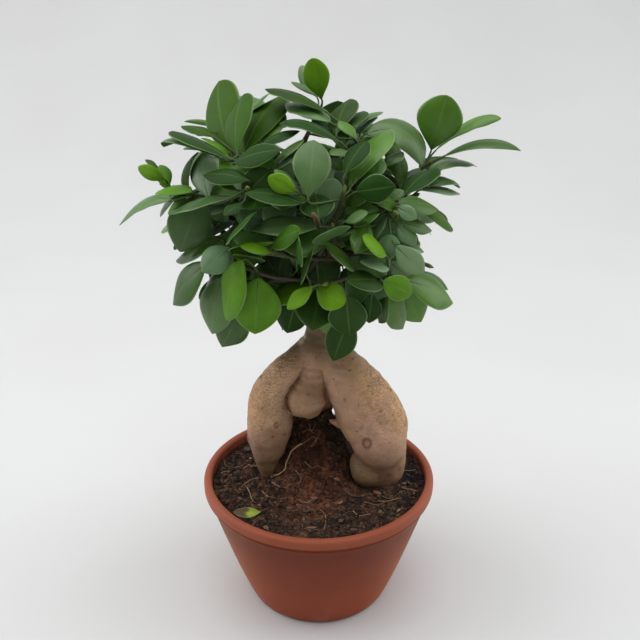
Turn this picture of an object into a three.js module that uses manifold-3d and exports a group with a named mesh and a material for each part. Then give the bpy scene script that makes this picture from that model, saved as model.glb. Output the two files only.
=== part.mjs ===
// Ficus ginseng bonsai in a terracotta-coloured bowl.
// Millimetres, +Z up. The origin is the centre of the bowl's underside, on the surface it stands on.
// -Y is the front of the plant, +X its right-hand side seen from the front.
import * as THREE from 'three';
import { mergeVertices } from 'three/addons/utils/BufferGeometryUtils.js';
import Module from 'manifold-3d';

const wasm = await Module();
wasm.setup();

// ---------------------------------------------------------------- driving dimensions
const POT_HEIGHT = 97; // underside to the top of the lip
const RIM_RADIUS = 85; // outside of the rolled lip
const BASE_RADIUS = 52.7; // wall where it meets the base
const WALL = 2.4; // moulded wall thickness
const LIP_INNER = 78.9; // inner edge of the lip
const SHOULDER_Z = 91; // wall height under the lip
const SHOULDER_RADIUS = 83.4; // wall radius under the lip
const WALL_POWER = 0.865; // the wall's slight outward bow
const FLOOR_Z = 5; // top of the floor inside
const DISC_RADIUS = 18; // central resting disc
const RECESS_DEPTH = 2.2; // shallow ring-shaped recess in the underside
const RECESS_OUTER = 44; // where the recess meets the foot ring
const DRAIN_RADIUS = 4; // drain holes
const DRAIN_CIRCLE = 32; // circle the drain holes lie on
const DRAIN_COUNT = 6;
const POT_SEGMENTS = 36;

const GAP = 0.35; // clearance between pieces that touch
const SOIL_RIM_Z = 91.5; // soil level at the wall, front
const MOUND_HEIGHT = 40; // peat mound between the roots
const MOUND_Y = 20; // its centre, behind the middle of the bowl
const MOUND_X = -3;
const MOUND_WIDTH = 29; // half-width at which it has dropped to about a third
const MOUND_DEPTH = 24; // the same from front to back

const TWIG_SIDES = 4;
const BRANCH_SIDES = 6;
const ROOT_SIDES = 10;
const PETIOLE_RADIUS = 0.75;
// where a leaf is shaped along its midrib, and the share of its full width there
const FULL_LEAF = { at: [0.14, 0.5, 0.85], spread: [0.52, 1.0, 0.66] };
const PLAIN_LEAF = { at: [0.27, 0.74], spread: [0.84, 0.88] }; // leaves inside and behind the crown

const SHOOTS = [
  { name: 'shoot_top_front_left', branch: 'branch_top', path: [[6,6,300],[-13.64,-7.03,308.85],[-33.28,-20.06,319.06],[-52.91,-33.09,330.65]], radius: [1.9,1.65,1.4,1.15], leaves: [
    [[-48,-29.84,327.63],[-51.06,-38.72,330.66],[-75.47,-22.29,343.33],[-88.57,-10.65,343.5],[0.326,0.003,0.945],25.42,2.54],
    [[-46.37,-28.75,326.64],[-48.45,-42.07,328.87],[-36.7,-49.94,336.85],[-20.71,-52.64,337.54],[-0.429,-0.522,0.737],17.18,1.72],
    [[-51.28,-32.01,329.63],[-48.12,-28.4,331.54],[-52.57,-14.04,352.09],[-46.37,7.59,364.01],[-0.686,-0.469,0.557],25.22,2.52],
    [[-43.1,-26.58,324.69],[-45.41,-14.57,330.87],[-37.83,-0.56,353.12],[-24.07,21.35,362.05],[-0.37,-0.474,0.799],28.04,2.80],
    [[-44.73,-27.66,325.66],[-61.2,-24.16,330.38],[-90.65,-6.08,346.84],[-97.19,0.26,332.61],[0.082,0.03,0.996],24.54,2.45],
    [[-41.46,-25.49,323.73],[-34.42,-34.51,337.49],[-23.8,-35.84,345.41],[-10.53,-34.94,345.99],[-0.326,-0.275,0.904],14.49,1.45],
    [[-36.55,-22.23,320.9],[-31.78,-16.56,332.92],[-31.47,-2.89,347.21],[-25.23,15.25,352.02],[-0.493,-0.371,0.787],19.40,1.94],
    [[-20.18,-11.38,312.1],[-14.64,-29.01,312.7],[-17.91,-47.73,315.24],[-20.92,-64.41,306.28],[-0.023,-0.175,0.984],22.57,2.26,1],
    [[-26.73,-15.72,315.51],[-27.52,-20.03,316.32],[-32.17,-29.28,328.9],[-37.56,-44.03,333.25],[0.074,0.554,0.829],24.93,2.49,1],
    [[-31.64,-18.98,318.16],[-37.11,-18.67,317.52],[-54.09,-21.6,317.03],[-68.26,-20.41,307.29],[-0.267,-0.392,0.88],25.92,2.59,1],
    [[-13.64,-7.03,308.85],[2.92,-23.17,304.76],[22.16,-25.27,307.04],[39.45,-23.72,298.18],[0.164,-0.308,0.937],26.52,2.65,1],
    [[-16.91,-9.2,310.55],[-19.11,-3.54,313.31],[-14.08,7.04,311.34],[-12.59,16.39,304.17],[0.553,0.191,0.811],15.46,1.55,1],
    [[-12,-5.94,308.11],[-8.44,-20.13,300.42],[-3.17,-23.7,311.45],[7.06,-24.03,319.01],[-0.723,-0.472,0.504],16.69,1.67,1],
    [[-7.09,-2.69,305.9],[2.55,-9.49,311.49],[11.48,-17.02,316.35],[19.83,-26.38,314.66],[0.085,0.268,0.96],14.87,1.49,1],
    [[-10.37,-4.86,307.38],[-1.52,-10.18,319.76],[5.12,-18.22,328.4],[15.08,-27.13,330.6],[-0.455,0.118,0.882],15.59,1.56,1],
  ] },
  { name: 'shoot_under_back_centre', branch: 'branch_back', path: [[-6,22,254],[-4.34,26.21,242.77],[-2.68,30.41,232.15],[-1.03,34.62,222.15]], radius: [1.9,1.65,1.4,1.15], leaves: [
    [[-2.27,31.46,229.6],[6.74,49.04,234.15],[14.55,63.5,248.76],[21.6,66.03,269.43],[0.057,0.89,-0.452],28.94,2.89,1],
    [[-3.65,27.96,238.27],[-2.26,37.54,227.35],[1.55,51.61,227.15],[1.97,63.68,218.98],[0.382,0.225,0.896],15.90,1.59,1],
    [[-4.2,26.56,241.86],[5.29,23.62,232.58],[4.12,32.42,217.27],[-6.69,36.83,203.98],[0.894,0.406,-0.187],23.61,2.36,1],
    [[-4.76,25.15,245.52],[12.58,22.76,242.5],[16.6,29.56,226.4],[10.44,32.44,209.81],[0.932,0.359,0.045],26.77,2.68,1],
    [[-2.68,30.41,232.15],[-9.38,20.49,221.92],[-24.98,33.46,216.22],[-29.73,50.78,205.21],[-0.845,-0.339,0.414],25.65,2.57,1],
    [[-2.13,31.81,228.82],[3.6,16.29,211.56],[7.15,24.74,200.44],[2.94,33.15,189.52],[1,0.006,-0.025],19.26,1.93,1],
    [[-4.89,24.81,246.51],[-1.92,25.79,255.01],[9.01,36.18,252.27],[18.56,42.83,242.3],[0.168,0.452,0.876],18.44,1.84,1],
    [[-3.92,27.26,240.12],[-16.17,39.17,238.64],[-25.49,43.67,247.95],[-38.15,42.51,253.62],[0.444,0.754,0.484],16.64,1.66,1],
    [[-2.96,29.71,233.92],[-14.18,15.08,221.69],[-23.43,0.46,221.4],[-24.45,-16.3,217.26],[-0.882,0.23,0.412],19.74,1.97,1],
  ] },
  { name: 'shoot_top_back_right', branch: 'branch_top', path: [[4.62,6.12,286],[11.86,15,298.87],[19.1,23.87,312.7],[26.33,32.74,327.49]], radius: [1.9,1.65,1.4,1.15], leaves: [
    [[13.07,16.48,301.11],[24.53,2.07,309.2],[31.77,-8.69,320.8],[39.96,-23.92,322.82],[-0.088,0.421,0.903],24.26,2.43,1],
    [[25.12,31.27,324.96],[8.7,37.33,335.62],[10.11,28.63,351.7],[12.2,12.26,359.68],[-0.061,0.687,0.724],21.87,2.19,1],
    [[24.52,30.53,323.71],[45.69,21.45,324.79],[54.92,26.9,317.32],[58.88,28.85,305.02],[0.663,0.439,0.606],20.25,2.02,1],
    [[23.32,29.05,321.21],[25.5,36.84,323.77],[16.24,55.92,325.25],[3.69,69.88,315.29],[0.254,0.395,0.883],23.88,2.39,1],
    [[16.08,20.17,306.82],[13.09,35.68,309.87],[25.78,48.26,320.1],[42.34,60.39,318.4],[-0.308,0.037,0.951],25.07,2.51,1],
    [[21.51,26.83,317.63],[25.94,15.35,322.37],[31.7,16.66,333.11],[38.37,23.68,340.63],[-0.136,-0.863,0.487],16.74,1.67,1],
    [[20.3,25.35,315.16],[10.13,23.51,321.46],[8.6,36.27,325.59],[5.99,49.15,322.53],[0.149,-0.017,0.989],15.61,1.56,1],
    [[11.86,15,298.87],[5.89,34.18,288.67],[2.59,50.78,288.53],[-0.85,64.77,279.65],[0.014,0.286,0.958],19.46,1.95,1],
    [[10.65,13.52,296.73],[8.31,31.45,288.18],[3.53,43.49,282.21],[-2.62,49.97,271.09],[0.177,0.722,0.669],18.38,1.84,1],
    [[26.33,32.74,327.49],[44.46,37.84,317.81],[43.54,27.06,305.24],[36.72,22.73,290.76],[0.659,-0.721,0.214],19.75,1.97,1],
    [[14.27,17.96,303.48],[11.5,29.01,296.88],[-0.58,34.43,295.38],[-10.13,38.9,287.22],[-0.353,0.132,0.926],15.13,1.51,1],
    [[10.05,12.78,295.65],[8.39,10.47,298.54],[8.71,13.15,313.01],[16.62,15.48,325.21],[-0.957,0.045,0.287],18.29,1.83,1],
  ] },
  { name: 'shoot_upper_front_right', branch: 'branch_top', path: [[6.19,6,314],[18.66,-13.46,308.96],[31.13,-32.92,305.17],[43.6,-52.37,302.63]], radius: [1.9,1.65,1.4,1.15], leaves: [
    [[41.52,-49.13,302.97],[45.52,-53.76,305.8],[50.21,-58.13,303.49],[56.02,-58.69,299.96],[-0.267,-0.918,0.294],7.94,0.40],
    [[32.17,-34.54,304.91],[50.7,-36.73,309.41],[61.12,-23.94,321.03],[74.51,-8.85,320.94],[-0.242,-0.187,0.952],19.89,1.99],
    [[26.97,-26.43,306.3],[47.55,-40.67,303.67],[41.07,-50.16,310.33],[29.74,-57.07,311.04],[0.598,-0.318,0.736],13.85,1.38],
    [[40.48,-47.51,303.15],[44.62,-59.5,284.41],[54.88,-59.93,274.34],[62.76,-51.99,265.3],[0.27,-0.955,-0.119],13.66,1.37],
    [[43.6,-52.37,302.63],[45.66,-51.72,307.69],[59.82,-47.72,308.6],[70.69,-40.43,301.83],[0.366,-0.367,0.855],15.45,1.54],
    [[36.32,-41.02,303.96],[48.1,-54.49,296.68],[58.43,-53.8,296.18],[66.37,-49.82,290.85],[0.378,-0.521,0.766],10.99,1.10],
    [[17.62,-11.84,309.33],[18.46,-34.13,334.6],[13.17,-41.75,337.2],[6.62,-48.13,334.2],[0.215,-0.209,0.954],9.89,0.99],
    [[33.21,-36.16,304.66],[28.01,-40.55,307.79],[32.51,-43.78,311.9],[38.12,-42.95,315.84],[-0.263,-0.964,0.043],6.96,0.35],
    [[34.25,-37.78,304.42],[38.89,-37.72,306.04],[44.01,-39.24,310.3],[50.47,-37.78,311.97],[-0.321,-0.716,0.62],7.63,0.38],
    [[30.09,-31.29,305.44],[39.87,-26.29,324.2],[45.32,-21.23,330.5],[51.7,-13.91,331.38],[-0.155,-0.381,0.912],9.66,0.97],
    [[39.44,-45.89,303.34],[28.58,-54.46,296.09],[25.26,-65.39,292.25],[20.54,-71.53,283.02],[0.189,-0.651,0.735],12.30,1.23],
    [[38.4,-44.27,303.54],[47.72,-52.12,284.25],[56.08,-51.84,283.4],[62.38,-49.82,278.19],[0.404,-0.34,0.849],8.99,0.90],
    [[25.93,-24.81,306.6],[18.81,-34.1,311.89],[15.2,-39.14,317.31],[10.28,-39.48,323.91],[0.264,-0.936,-0.232],8.71,0.87],
    [[14.5,-6.97,310.64],[15.67,2.47,315.58],[19.09,2.67,327.99],[21,9.45,338.77],[0.217,-0.947,0.236],16.81,1.68,1],
    [[15.54,-8.6,310.22],[21.64,1.43,303.01],[31.56,-5.66,299.53],[37.81,-11.79,290.36],[0.536,-0.141,0.832],15.93,1.59,1],
  ] },
  { name: 'shoot_lower_front_right', branch: 'branch_right', path: [[29.12,-4.31,251],[29.49,-15.55,249.36],[29.86,-26.79,248.33],[30.23,-38.03,247.9]], radius: [1.9,1.65,1.4,1.15], leaves: [
    [[30.2,-37.09,247.91],[19.46,-46.35,237.18],[13.02,-47.12,218.1],[9.4,-36.2,201.56],[-0.23,-0.951,-0.206],19.43,1.94],
    [[30.14,-35.22,247.95],[51.09,-32.58,252.75],[60.53,-31.88,236.02],[67.48,-20.17,222.44],[0.213,-0.939,-0.269],21.07,2.11],
    [[30.07,-33.34,248.01],[27.76,-29.77,237.3],[27.98,-15.11,223.48],[20.96,3.19,218.88],[0.59,-0.298,-0.751],25.52,2.55,1],
    [[29.62,-19.3,248.95],[46.52,-14.19,237.5],[59.65,-7.25,231.96],[69.25,-5.94,219.41],[0.366,0.583,0.726],25.71,2.57,1],
    [[29.43,-13.68,249.63],[32.03,-15.62,260.9],[40.51,-13.71,276.36],[47.32,-2.92,288.68],[0.175,-0.928,0.328],21.78,2.18,1],
    [[29.52,-16.49,249.27],[32.19,-17.9,243.55],[44.47,-10.91,241.5],[51.25,0.71,236.71],[0.715,-0.601,0.357],17.62,1.76,1],
    [[29.71,-22.11,248.76],[16.38,-31.05,236.54],[14.34,-41.62,243.82],[8.27,-53.01,245.42],[0.574,0.116,0.811],16.98,1.70,1],
  ] },
  { name: 'shoot_upper_back_left', branch: 'branch_back', path: [[-13.25,43.38,281],[-19.19,45.71,289.28],[-25.12,48.04,298.14],[-31.06,50.38,307.58]], radius: [1.9,1.65,1.4,1.15], leaves: [
    [[-29.08,49.6,304.37],[-18.15,46.62,320.05],[-31.59,51.59,331.91],[-49.88,54.33,333.76],[0.429,0.196,0.882],22.64,2.26,1],
    [[-22.65,47.07,294.37],[-32.2,37.51,301.04],[-45.21,43.57,316.19],[-65.15,47.59,320.86],[0.544,0.16,0.823],28.22,2.82,1],
    [[-25.62,48.24,298.9],[-22.75,50.17,305.33],[-26.72,65.01,313.53],[-32.18,81.4,311.34],[0.141,-0.146,0.979],23.62,2.37,1],
    [[-24.63,47.85,297.4],[-39.83,44.38,288.52],[-39.22,33.36,294.72],[-36.42,21.01,294.59],[-0.32,0.194,0.927],14.71,1.47,1],
    [[-21.66,46.68,292.97],[-24.48,24.94,297.03],[-25.91,25.06,309.51],[-21.03,22.98,320.89],[-0.932,0.326,0.162],15.00,1.50,1],
    [[-19.19,45.71,289.28],[-18.01,58.84,286.96],[-5.43,57.26,282],[2.81,56.52,271.18],[0.592,-0.116,0.798],16.62,1.66,1],
  ] },
  { name: 'shoot_top_left_b', branch: 'branch_back_left', path: [[-49.38,31.5,272.88],[-45.47,28.71,297.2],[-43.82,27.51,323.13],[-44.43,27.91,350.67]], radius: [1.9,1.65,1.4,1.15], leaves: [
    [[-43.9,27.55,339],[-30.53,7.48,349.6],[-26.31,21.16,360.48],[-16.91,36.42,361.84],[-0.473,-0.145,0.869],17.87,1.79],
    [[-44.17,27.74,345.97],[-41.45,31.24,349.19],[-48.26,42.12,359.26],[-55.57,56.68,360.1],[0.05,-0.37,0.928],23.91,2.39,1],
    [[-44.02,27.66,316.5],[-45.62,36.98,319.47],[-44.83,51.16,325.99],[-40.88,66.08,323.55],[-0.332,-0.078,0.94],20.33,2.03,1],
    [[-43.87,27.55,320.91],[-42.03,35.26,325.05],[-56.29,45.3,334.83],[-74.03,54.34,332.97],[0.285,0.082,0.955],25.51,2.55,1],
    [[-44.51,28.01,307.81],[-55.6,46.28,311.7],[-68.89,51.46,317.66],[-84.13,52.67,315.3],[0.206,0.421,0.883],18.27,1.83,1],
    [[-44.43,27.91,350.67],[-46.43,22.38,350.62],[-40.77,17.99,359.58],[-31.09,13.54,363.84],[-0.649,0.01,0.76],16.12,1.61,1],
  ] },
  { name: 'shoot_middle_front_right', branch: 'branch_front_right', path: [[37,-42,261],[38.99,-46.64,261.66],[40.99,-51.28,262.58],[42.98,-55.92,263.79]], radius: [1.27,1.23,1.19,1.15], leaves: [
    [[38.66,-45.87,261.53],[37.33,-64.88,265.07],[48.56,-62.94,259.33],[55.91,-54.26,253.53],[0.5,-0.866,0.008],14.92,1.49],
    [[39.99,-48.96,262.09],[42.63,-44.01,250.03],[52.13,-41.49,235.71],[54.43,-31.23,221.88],[0.68,-0.732,-0.047],18.82,1.88],
    [[42.48,-54.76,263.46],[39.09,-59.11,261.99],[29.64,-69.6,269.46],[15.51,-77.03,268.96],[0.481,-0.314,0.818],16.62,1.66],
    [[40.66,-50.51,262.41],[52.57,-44.65,259.22],[73.34,-40.29,253.03],[85.88,-28.9,238.82],[0.611,-0.521,0.596],23.13,2.31],
    [[41.65,-52.83,262.95],[39.67,-59.42,278.45],[35.34,-68.01,287.77],[24.63,-74.59,292.4],[0.781,-0.246,0.574],14.33,1.43],
    [[41.15,-51.67,262.67],[31.84,-56.61,254.33],[31.06,-55.66,241.99],[31.19,-47.75,232.44],[-0.121,-0.921,-0.369],13.56,1.36],
    [[41.65,-52.83,262.95],[41.57,-54.59,269.79],[34.61,-63.41,277.64],[23.45,-71.34,278.32],[0.504,-0.108,0.857],14.30,1.43],
  ] },
  { name: 'shoot_upper_front_centre_b', branch: 'branch_front_right', path: [[11,-34,276],[10.03,-41.82,281.86],[9.07,-49.63,288.27],[8.1,-57.45,295.21]], radius: [1.7,1.52,1.33,1.15], leaves: [
    [[8.18,-56.8,294.61],[-0.12,-72.51,298.63],[0.02,-77.41,305.7],[-4.86,-81.38,311.56],[0.957,-0.175,0.231],9.94,0.99],
    [[8.59,-53.54,291.67],[2.14,-52.81,295.7],[-17.7,-59.41,301.52],[-37.99,-62.64,294.55],[0.035,-0.254,0.967],23.54,2.35],
    [[8.43,-54.84,292.84],[14.48,-62.69,299.16],[19.48,-66.99,304.42],[27.37,-69.61,305.78],[-0.564,-0.325,0.759],9.50,0.95],
    [[9.23,-48.33,287.16],[4.87,-50.66,287.07],[-9.19,-57.34,290.13],[-24.2,-58.69,285.19],[0.099,-0.551,0.828],23.01,2.30,1],
    [[9.79,-43.77,283.41],[15.43,-37.14,302.75],[9.59,-39.2,316.54],[-0.85,-34.33,326.34],[0.498,-0.751,0.433],22.18,2.22,1],
    [[10.35,-39.21,279.91],[11.98,-37.31,282.67],[21.12,-43.77,292.44],[32.84,-52.54,294.99],[-0.321,0.289,0.902],18.99,1.90,1],
    [[10.11,-41.17,281.37],[15.57,-40.62,282.43],[26.15,-47.59,283.37],[35.53,-53.92,277.59],[0.175,-0.094,0.98],17.31,1.73,1],
    [[8.75,-52.24,290.58],[1.84,-63.15,285.78],[4.6,-74.43,298.09],[10.83,-89.43,302.83],[-0.38,0.409,0.83],20.39,2.04,1],
  ] },
  { name: 'shoot_top_front_right', branch: 'branch_top', path: [[6,6,328],[12.96,-8.47,328.13],[19.92,-22.95,329.12],[26.88,-37.42,330.97]], radius: [1.87,1.63,1.39,1.15], leaves: [
    [[19.92,-22.95,329.12],[12.43,-39.65,340.36],[-8.98,-30.69,356.69],[-22.77,-30.75,349.49],[0.219,-0.125,0.968],22.21,2.22],
    [[18.18,-19.33,328.8],[22.33,-35.79,341.03],[18.08,-32.48,348.1],[12.09,-26.49,350.79],[0.321,-0.495,0.808],9.23,0.92],
    [[11.8,-6.06,328.05],[9.54,-9.11,343.34],[3.16,-6.63,349.15],[-3.96,-1.3,350.34],[0.136,-0.521,0.843],9.43,0.94],
    [[15.28,-13.3,328.37],[16.62,-20.75,332.28],[13.7,-17,340.81],[11.98,-8.71,345.67],[-0.203,-0.762,0.615],9.77,0.98],
    [[14.12,-10.89,328.24],[23.05,-10.6,336.36],[30.18,-11.88,337.99],[37.19,-10.08,336.3],[0.028,-0.678,0.734],8.07,0.40],
    [[16.44,-15.71,328.52],[20.5,-9.28,345.73],[29.77,3.42,354.45],[41.4,17.01,352.5],[-0.215,-0.08,0.973],17.87,1.79],
    [[12.96,-8.47,328.13],[14.66,-7.15,337.01],[28.19,2.09,340.77],[38.8,13.78,335.02],[0.285,-0.24,0.928],20.87,2.08,1],
    [[10.64,-3.65,328.09],[0.23,0.02,332.75],[-6.99,-12.38,332.22],[-14.2,-22.05,324.44],[-0.002,-0.351,0.936],18.18,1.82,1],
    [[14.7,-12.09,328.38],[9.94,-14.27,332.65],[5.3,-23.57,338.43],[-0.82,-33.75,338.04],[0.231,0.139,0.963],16.65,1.66,1],
  ] },
  { name: 'shoot_middle_back_left_a', branch: 'branch_back_left', path: [[-56,32,280],[-61.26,35.64,282.67],[-66.51,39.28,285.72],[-71.77,42.91,289.14]], radius: [1.62,1.46,1.3,1.15], leaves: [
    [[-69.58,41.4,287.67],[-74.67,54.17,286.83],[-86.7,44.35,295.51],[-94.22,28.26,296.57],[-0.416,0.578,0.702],26.65,2.67,1],
    [[-68.26,40.49,286.82],[-57.11,58.65,297.91],[-56.25,62.77,310.02],[-52.71,59.55,321.9],[-0.344,0.938,0.028],20.26,2.02,1],
    [[-66.07,38.97,285.45],[-71.48,28.65,295.93],[-74.42,24.8,308.19],[-71.46,16.23,317.75],[-0.735,0.589,0.336],23.36,2.34,1],
    [[-59.94,34.73,281.97],[-59.75,39.86,273.66],[-64.51,39.15,262.98],[-62.53,36.11,251.85],[-0.944,0.324,0.065],17.94,1.80,1],
    [[-70.89,42.3,288.57],[-58.21,42.23,304.93],[-56.39,26.95,308.52],[-52.74,12.32,303.81],[-0.214,-0.076,0.974],18.91,1.89,1],
    [[-62.57,36.55,283.43],[-73.27,29.46,273.45],[-77.6,14.86,273.35],[-76.71,1.07,266.97],[-0.636,-0.098,0.766],20.06,2.01,1],
  ] },
  { name: 'shoot_upper_front_centre_c', branch: 'branch_front', path: [[-9,-28,256],[-6.82,-33.65,275.81],[-5.71,-43.27,294.81],[-5.66,-56.86,313]], radius: [1.9,1.65,1.4,1.15], leaves: [
    [[-5.62,-55.58,311.51],[-11.75,-62.77,316.05],[-18.67,-67.7,320.66],[-27.28,-66.99,325],[0.287,-0.957,0.046],10.33,1.03],
    [[-5.56,-48.45,302.49],[-1.31,-48.78,312.29],[-0.82,-61.57,311.13],[0.43,-71.28,302.81],[-0.097,-0.393,0.915],18.67,1.87],
    [[-5.62,-55.58,311.51],[-9.59,-63.1,309.99],[-23.77,-66.13,317.81],[-40.16,-66.5,316.2],[0.22,-0.264,0.939],18.10,1.81],
    [[-7.55,-31.77,269.21],[-4.58,-11.11,275.52],[1.47,-7.62,267.1],[1.95,-4.19,256.72],[0.944,0.01,0.331],14.97,1.50,1],
  ] },
  { name: 'shoot_middle_front_left_b', branch: 'branch_front', path: [[-12,-40,258],[-27.67,-46.06,261.91],[-43.23,-46.9,267.75],[-58.68,-42.52,275.53]], radius: [1.53,1.4,1.28,1.15], leaves: [
    [[-35.47,-47.13,264.59],[-44.1,-54.76,274.72],[-55.83,-55.22,255.18],[-57.01,-46.78,234.04],[-0.76,-0.64,0.115],25.32,2.53],
    [[-56.12,-43.61,274.1],[-52.65,-45.13,279.36],[-58.23,-56.07,276.34],[-67.38,-61.4,269.42],[0.462,-0.728,0.507],16.22,1.62],
    [[-39.35,-47.18,266.11],[-36.11,-50.02,262.19],[-37.72,-52.16,241.03],[-39.94,-41.61,222.62],[0.047,-0.976,-0.212],28.96,2.90],
    [[-57.4,-43.08,274.81],[-59.12,-31.6,280.77],[-79.43,-24.08,276.82],[-92.15,-13.62,262.21],[-0.566,-0.219,0.795],22.99,2.30],
    [[-54.83,-44.1,273.4],[-68.07,-41.73,269.08],[-85.18,-39.85,255.82],[-92.68,-30.11,237.9],[-0.725,-0.593,0.351],23.16,2.32],
    [[-53.54,-44.56,272.72],[-59.16,-39.66,258.92],[-67.33,-41.38,238.3],[-68.72,-31.39,218.47],[-0.5,-0.864,-0.059],24.51,2.45],
    [[-49.68,-45.71,270.76],[-59.76,-35.13,258.79],[-71.87,-28.42,250.2],[-75.4,-18.39,237.86],[-0.863,-0.334,0.378],17.27,1.73],
    [[-50.97,-45.36,271.4],[-51.4,-52.77,284.66],[-47.68,-62.78,298.41],[-36.06,-73.86,305.15],[-0.744,0.1,0.66],25.45,2.55,1],
    [[-23.75,-44.54,260.93],[-24.74,-32.1,275.65],[-37.13,-36.31,282.6],[-51.93,-36.14,283.31],[0.301,-0.549,0.78],18.89,1.89,1],
    [[-52.24,-44.34,272.29],[-55.12,-39.39,276.21],[-53.58,-29.14,284.96],[-49.97,-16.27,287.2],[-0.283,-0.36,0.889],19.24,1.92,1],
  ] },
  { name: 'shoot_middle_left', branch: 'branch_left', path: [[-56,-10,276],[-60.35,-8.71,279.2],[-64.69,-7.42,282.7],[-69.04,-6.12,286.51]], radius: [1.7,1.52,1.33,1.15], leaves: [
    [[-65.78,-7.09,283.62],[-62.63,-20.51,289.43],[-66.84,-23.01,290.73],[-71.37,-24.58,289.11],[0.106,-0.303,0.947],5.75,0.29],
    [[-67.95,-6.45,285.53],[-70.31,-19.31,289.16],[-74.02,-22.63,287.52],[-76.74,-24.27,283.35],[-0.31,-0.526,0.792],5.72,0.29],
    [[-61.43,-8.38,280.04],[-72.07,8.26,267.16],[-77.25,29.31,268.74],[-75.98,48.64,258.89],[-0.488,0.13,0.863],26.95,2.70,1],
    [[-59.62,-8.92,278.64],[-66.21,-11.82,272.06],[-75.91,-16.53,263.76],[-78.55,-20.84,251.13],[-0.851,-0.047,0.522],21.29,2.13,1],
    [[-68.68,-6.23,286.18],[-80.45,8.5,285.28],[-97.22,21.93,285.07],[-108.34,35.84,273.06],[-0.432,-0.037,0.901],26.56,2.66,1],
  ] },
  { name: 'shoot_middle_back_right', branch: 'branch_back_right', path: [[23.44,29.69,267],[30.88,35.47,269.13],[38.32,41.25,271.79],[45.76,47.04,274.96]], radius: [1.9,1.65,1.4,1.15], leaves: [
    [[37.7,40.77,271.55],[30.66,57.6,277.93],[36.67,73.64,270.3],[39.56,82.72,254.16],[0.272,0.609,0.745],26.42,2.64,1],
    [[40.8,43.18,272.79],[48.98,48.3,290.74],[52.38,67.15,292.7],[55.45,83.6,283.18],[0.028,0.205,0.978],26.05,2.60,1],
    [[42.66,44.63,273.58],[53,45.5,278],[60.44,60.74,281.32],[59.93,77.67,277.94],[0.754,-0.161,0.636],19.04,1.90,1],
    [[30.26,34.99,268.95],[40.78,15.16,271.72],[42.01,17.84,282.96],[41.48,25.83,291.39],[0.281,-0.848,0.45],15.28,1.53,1],
    [[36.46,39.8,271.12],[28.22,47.5,276.03],[16.65,55.01,284.64],[0.93,58.76,286.49],[0.472,0.428,0.771],18.47,1.85,1],
    [[32.12,36.43,269.57],[27.82,43.1,268.55],[18.6,46.6,278.97],[5.32,45.9,284.34],[0.526,0.544,0.653],18.63,1.86,1],
    [[33.36,37.4,270.02],[29.03,22.66,255.35],[39.07,12.95,256.47],[43.41,-0.12,253.95],[0.754,0.446,0.483],17.34,1.73,1],
  ] },
  { name: 'shoot_upper_right', branch: 'branch_upper_right', path: [[47.12,2.12,295.25],[51.09,-7.42,298.67],[55.06,-16.97,302.67],[59.03,-26.51,307.27]], radius: [1.9,1.65,1.4,1.15], leaves: [
    [[56.71,-20.94,304.52],[63.03,-15.62,308.48],[79.19,-5.11,310.91],[92.35,5.98,301.9],[0.253,-0.049,0.966],19.76,1.98],
    [[58.69,-25.72,306.87],[46.08,-52.68,294.5],[50.94,-57.22,289.75],[56.46,-56.98,283.74],[-0.134,-0.958,0.254],9.82,0.98],
    [[57.7,-23.33,305.67],[62.35,-41.55,300.28],[76.36,-33.66,296.57],[83.64,-23.57,285.72],[0.67,-0.218,0.71],17.34,1.73],
    [[54.73,-16.17,302.32],[53.88,-13.64,309.98],[57.95,-8.7,317.42],[63.75,-1.16,319.77],[-0.292,-0.437,0.851],9.74,0.97],
    [[54.07,-14.58,301.62],[50.97,-12.31,308.5],[52.81,-3.13,325.38],[47.35,12.37,335.52],[0.619,-0.537,0.573],19.81,1.98],
    [[49.77,-4.24,297.53],[34.22,6.97,296.99],[36.81,15.55,310.7],[31.09,25.9,322.02],[0.942,-0.201,0.27],19.00,1.90,1],
    [[50.1,-5.03,297.82],[45.42,-11.49,292.89],[43.16,-15.46,304.53],[35.59,-21.39,312.51],[0.788,0.291,0.542],14.70,1.47,1],
    [[52.74,-11.4,300.34],[47.28,-11.52,304.7],[49.97,-22.34,307.46],[50.62,-33.38,304.38],[0.329,0.036,0.944],14.38,1.44,1],
  ] },
  { name: 'shoot_middle_back_left_b', branch: 'branch_back_left', path: [[-42,30,266],[-41.33,40.08,266.57],[-40.67,50.15,267.69],[-40,60.23,269.34]], radius: [1.9,1.65,1.4,1.15], leaves: [
    [[-40.06,59.39,269.19],[-37.05,63.36,270.17],[-42.83,67.95,290.33],[-45.66,59.8,310],[-0.226,0.973,0.038],27.56,2.76,1],
    [[-40.28,56.03,268.59],[-28.54,59.51,276.37],[-27.49,67.86,289.32],[-21.68,80.77,295.52],[-0.504,-0.483,0.716],26.43,2.64,1],
    [[-41.5,37.56,266.38],[-29.34,47.08,257.31],[-34.11,65.53,263.38],[-35.78,84.63,257.68],[-0.255,-0.053,0.965],26.23,2.62,1],
    [[-40.67,50.15,267.69],[-44.9,52.58,271.27],[-58.43,62.01,274.16],[-71.6,69.5,267.04],[-0.035,0.191,0.981],25.79,2.57,1],
    [[-40.12,58.55,269.03],[-56.3,52.62,280.58],[-69.09,47.36,276.67],[-75.86,38.83,267.3],[-0.687,0.373,0.624],16.34,1.63,1],
    [[-40.5,52.67,268.1],[-45.73,49.21,280.09],[-53.07,46.53,290.43],[-61.58,38.67,296.23],[0.168,0.742,0.649],17.79,1.78,1],
    [[-41.33,40.08,266.57],[-39.92,38.23,274.92],[-37.29,47.83,284.96],[-29.39,58.59,289.62],[-0.691,-0.153,0.706],19.29,1.93,1],
    [[-40.78,48.47,267.5],[-47.53,49.26,273.66],[-55.95,43.12,262.31],[-56.58,37.22,248.09],[-0.938,-0.029,0.346],20.50,2.05,1],
  ] },
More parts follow.
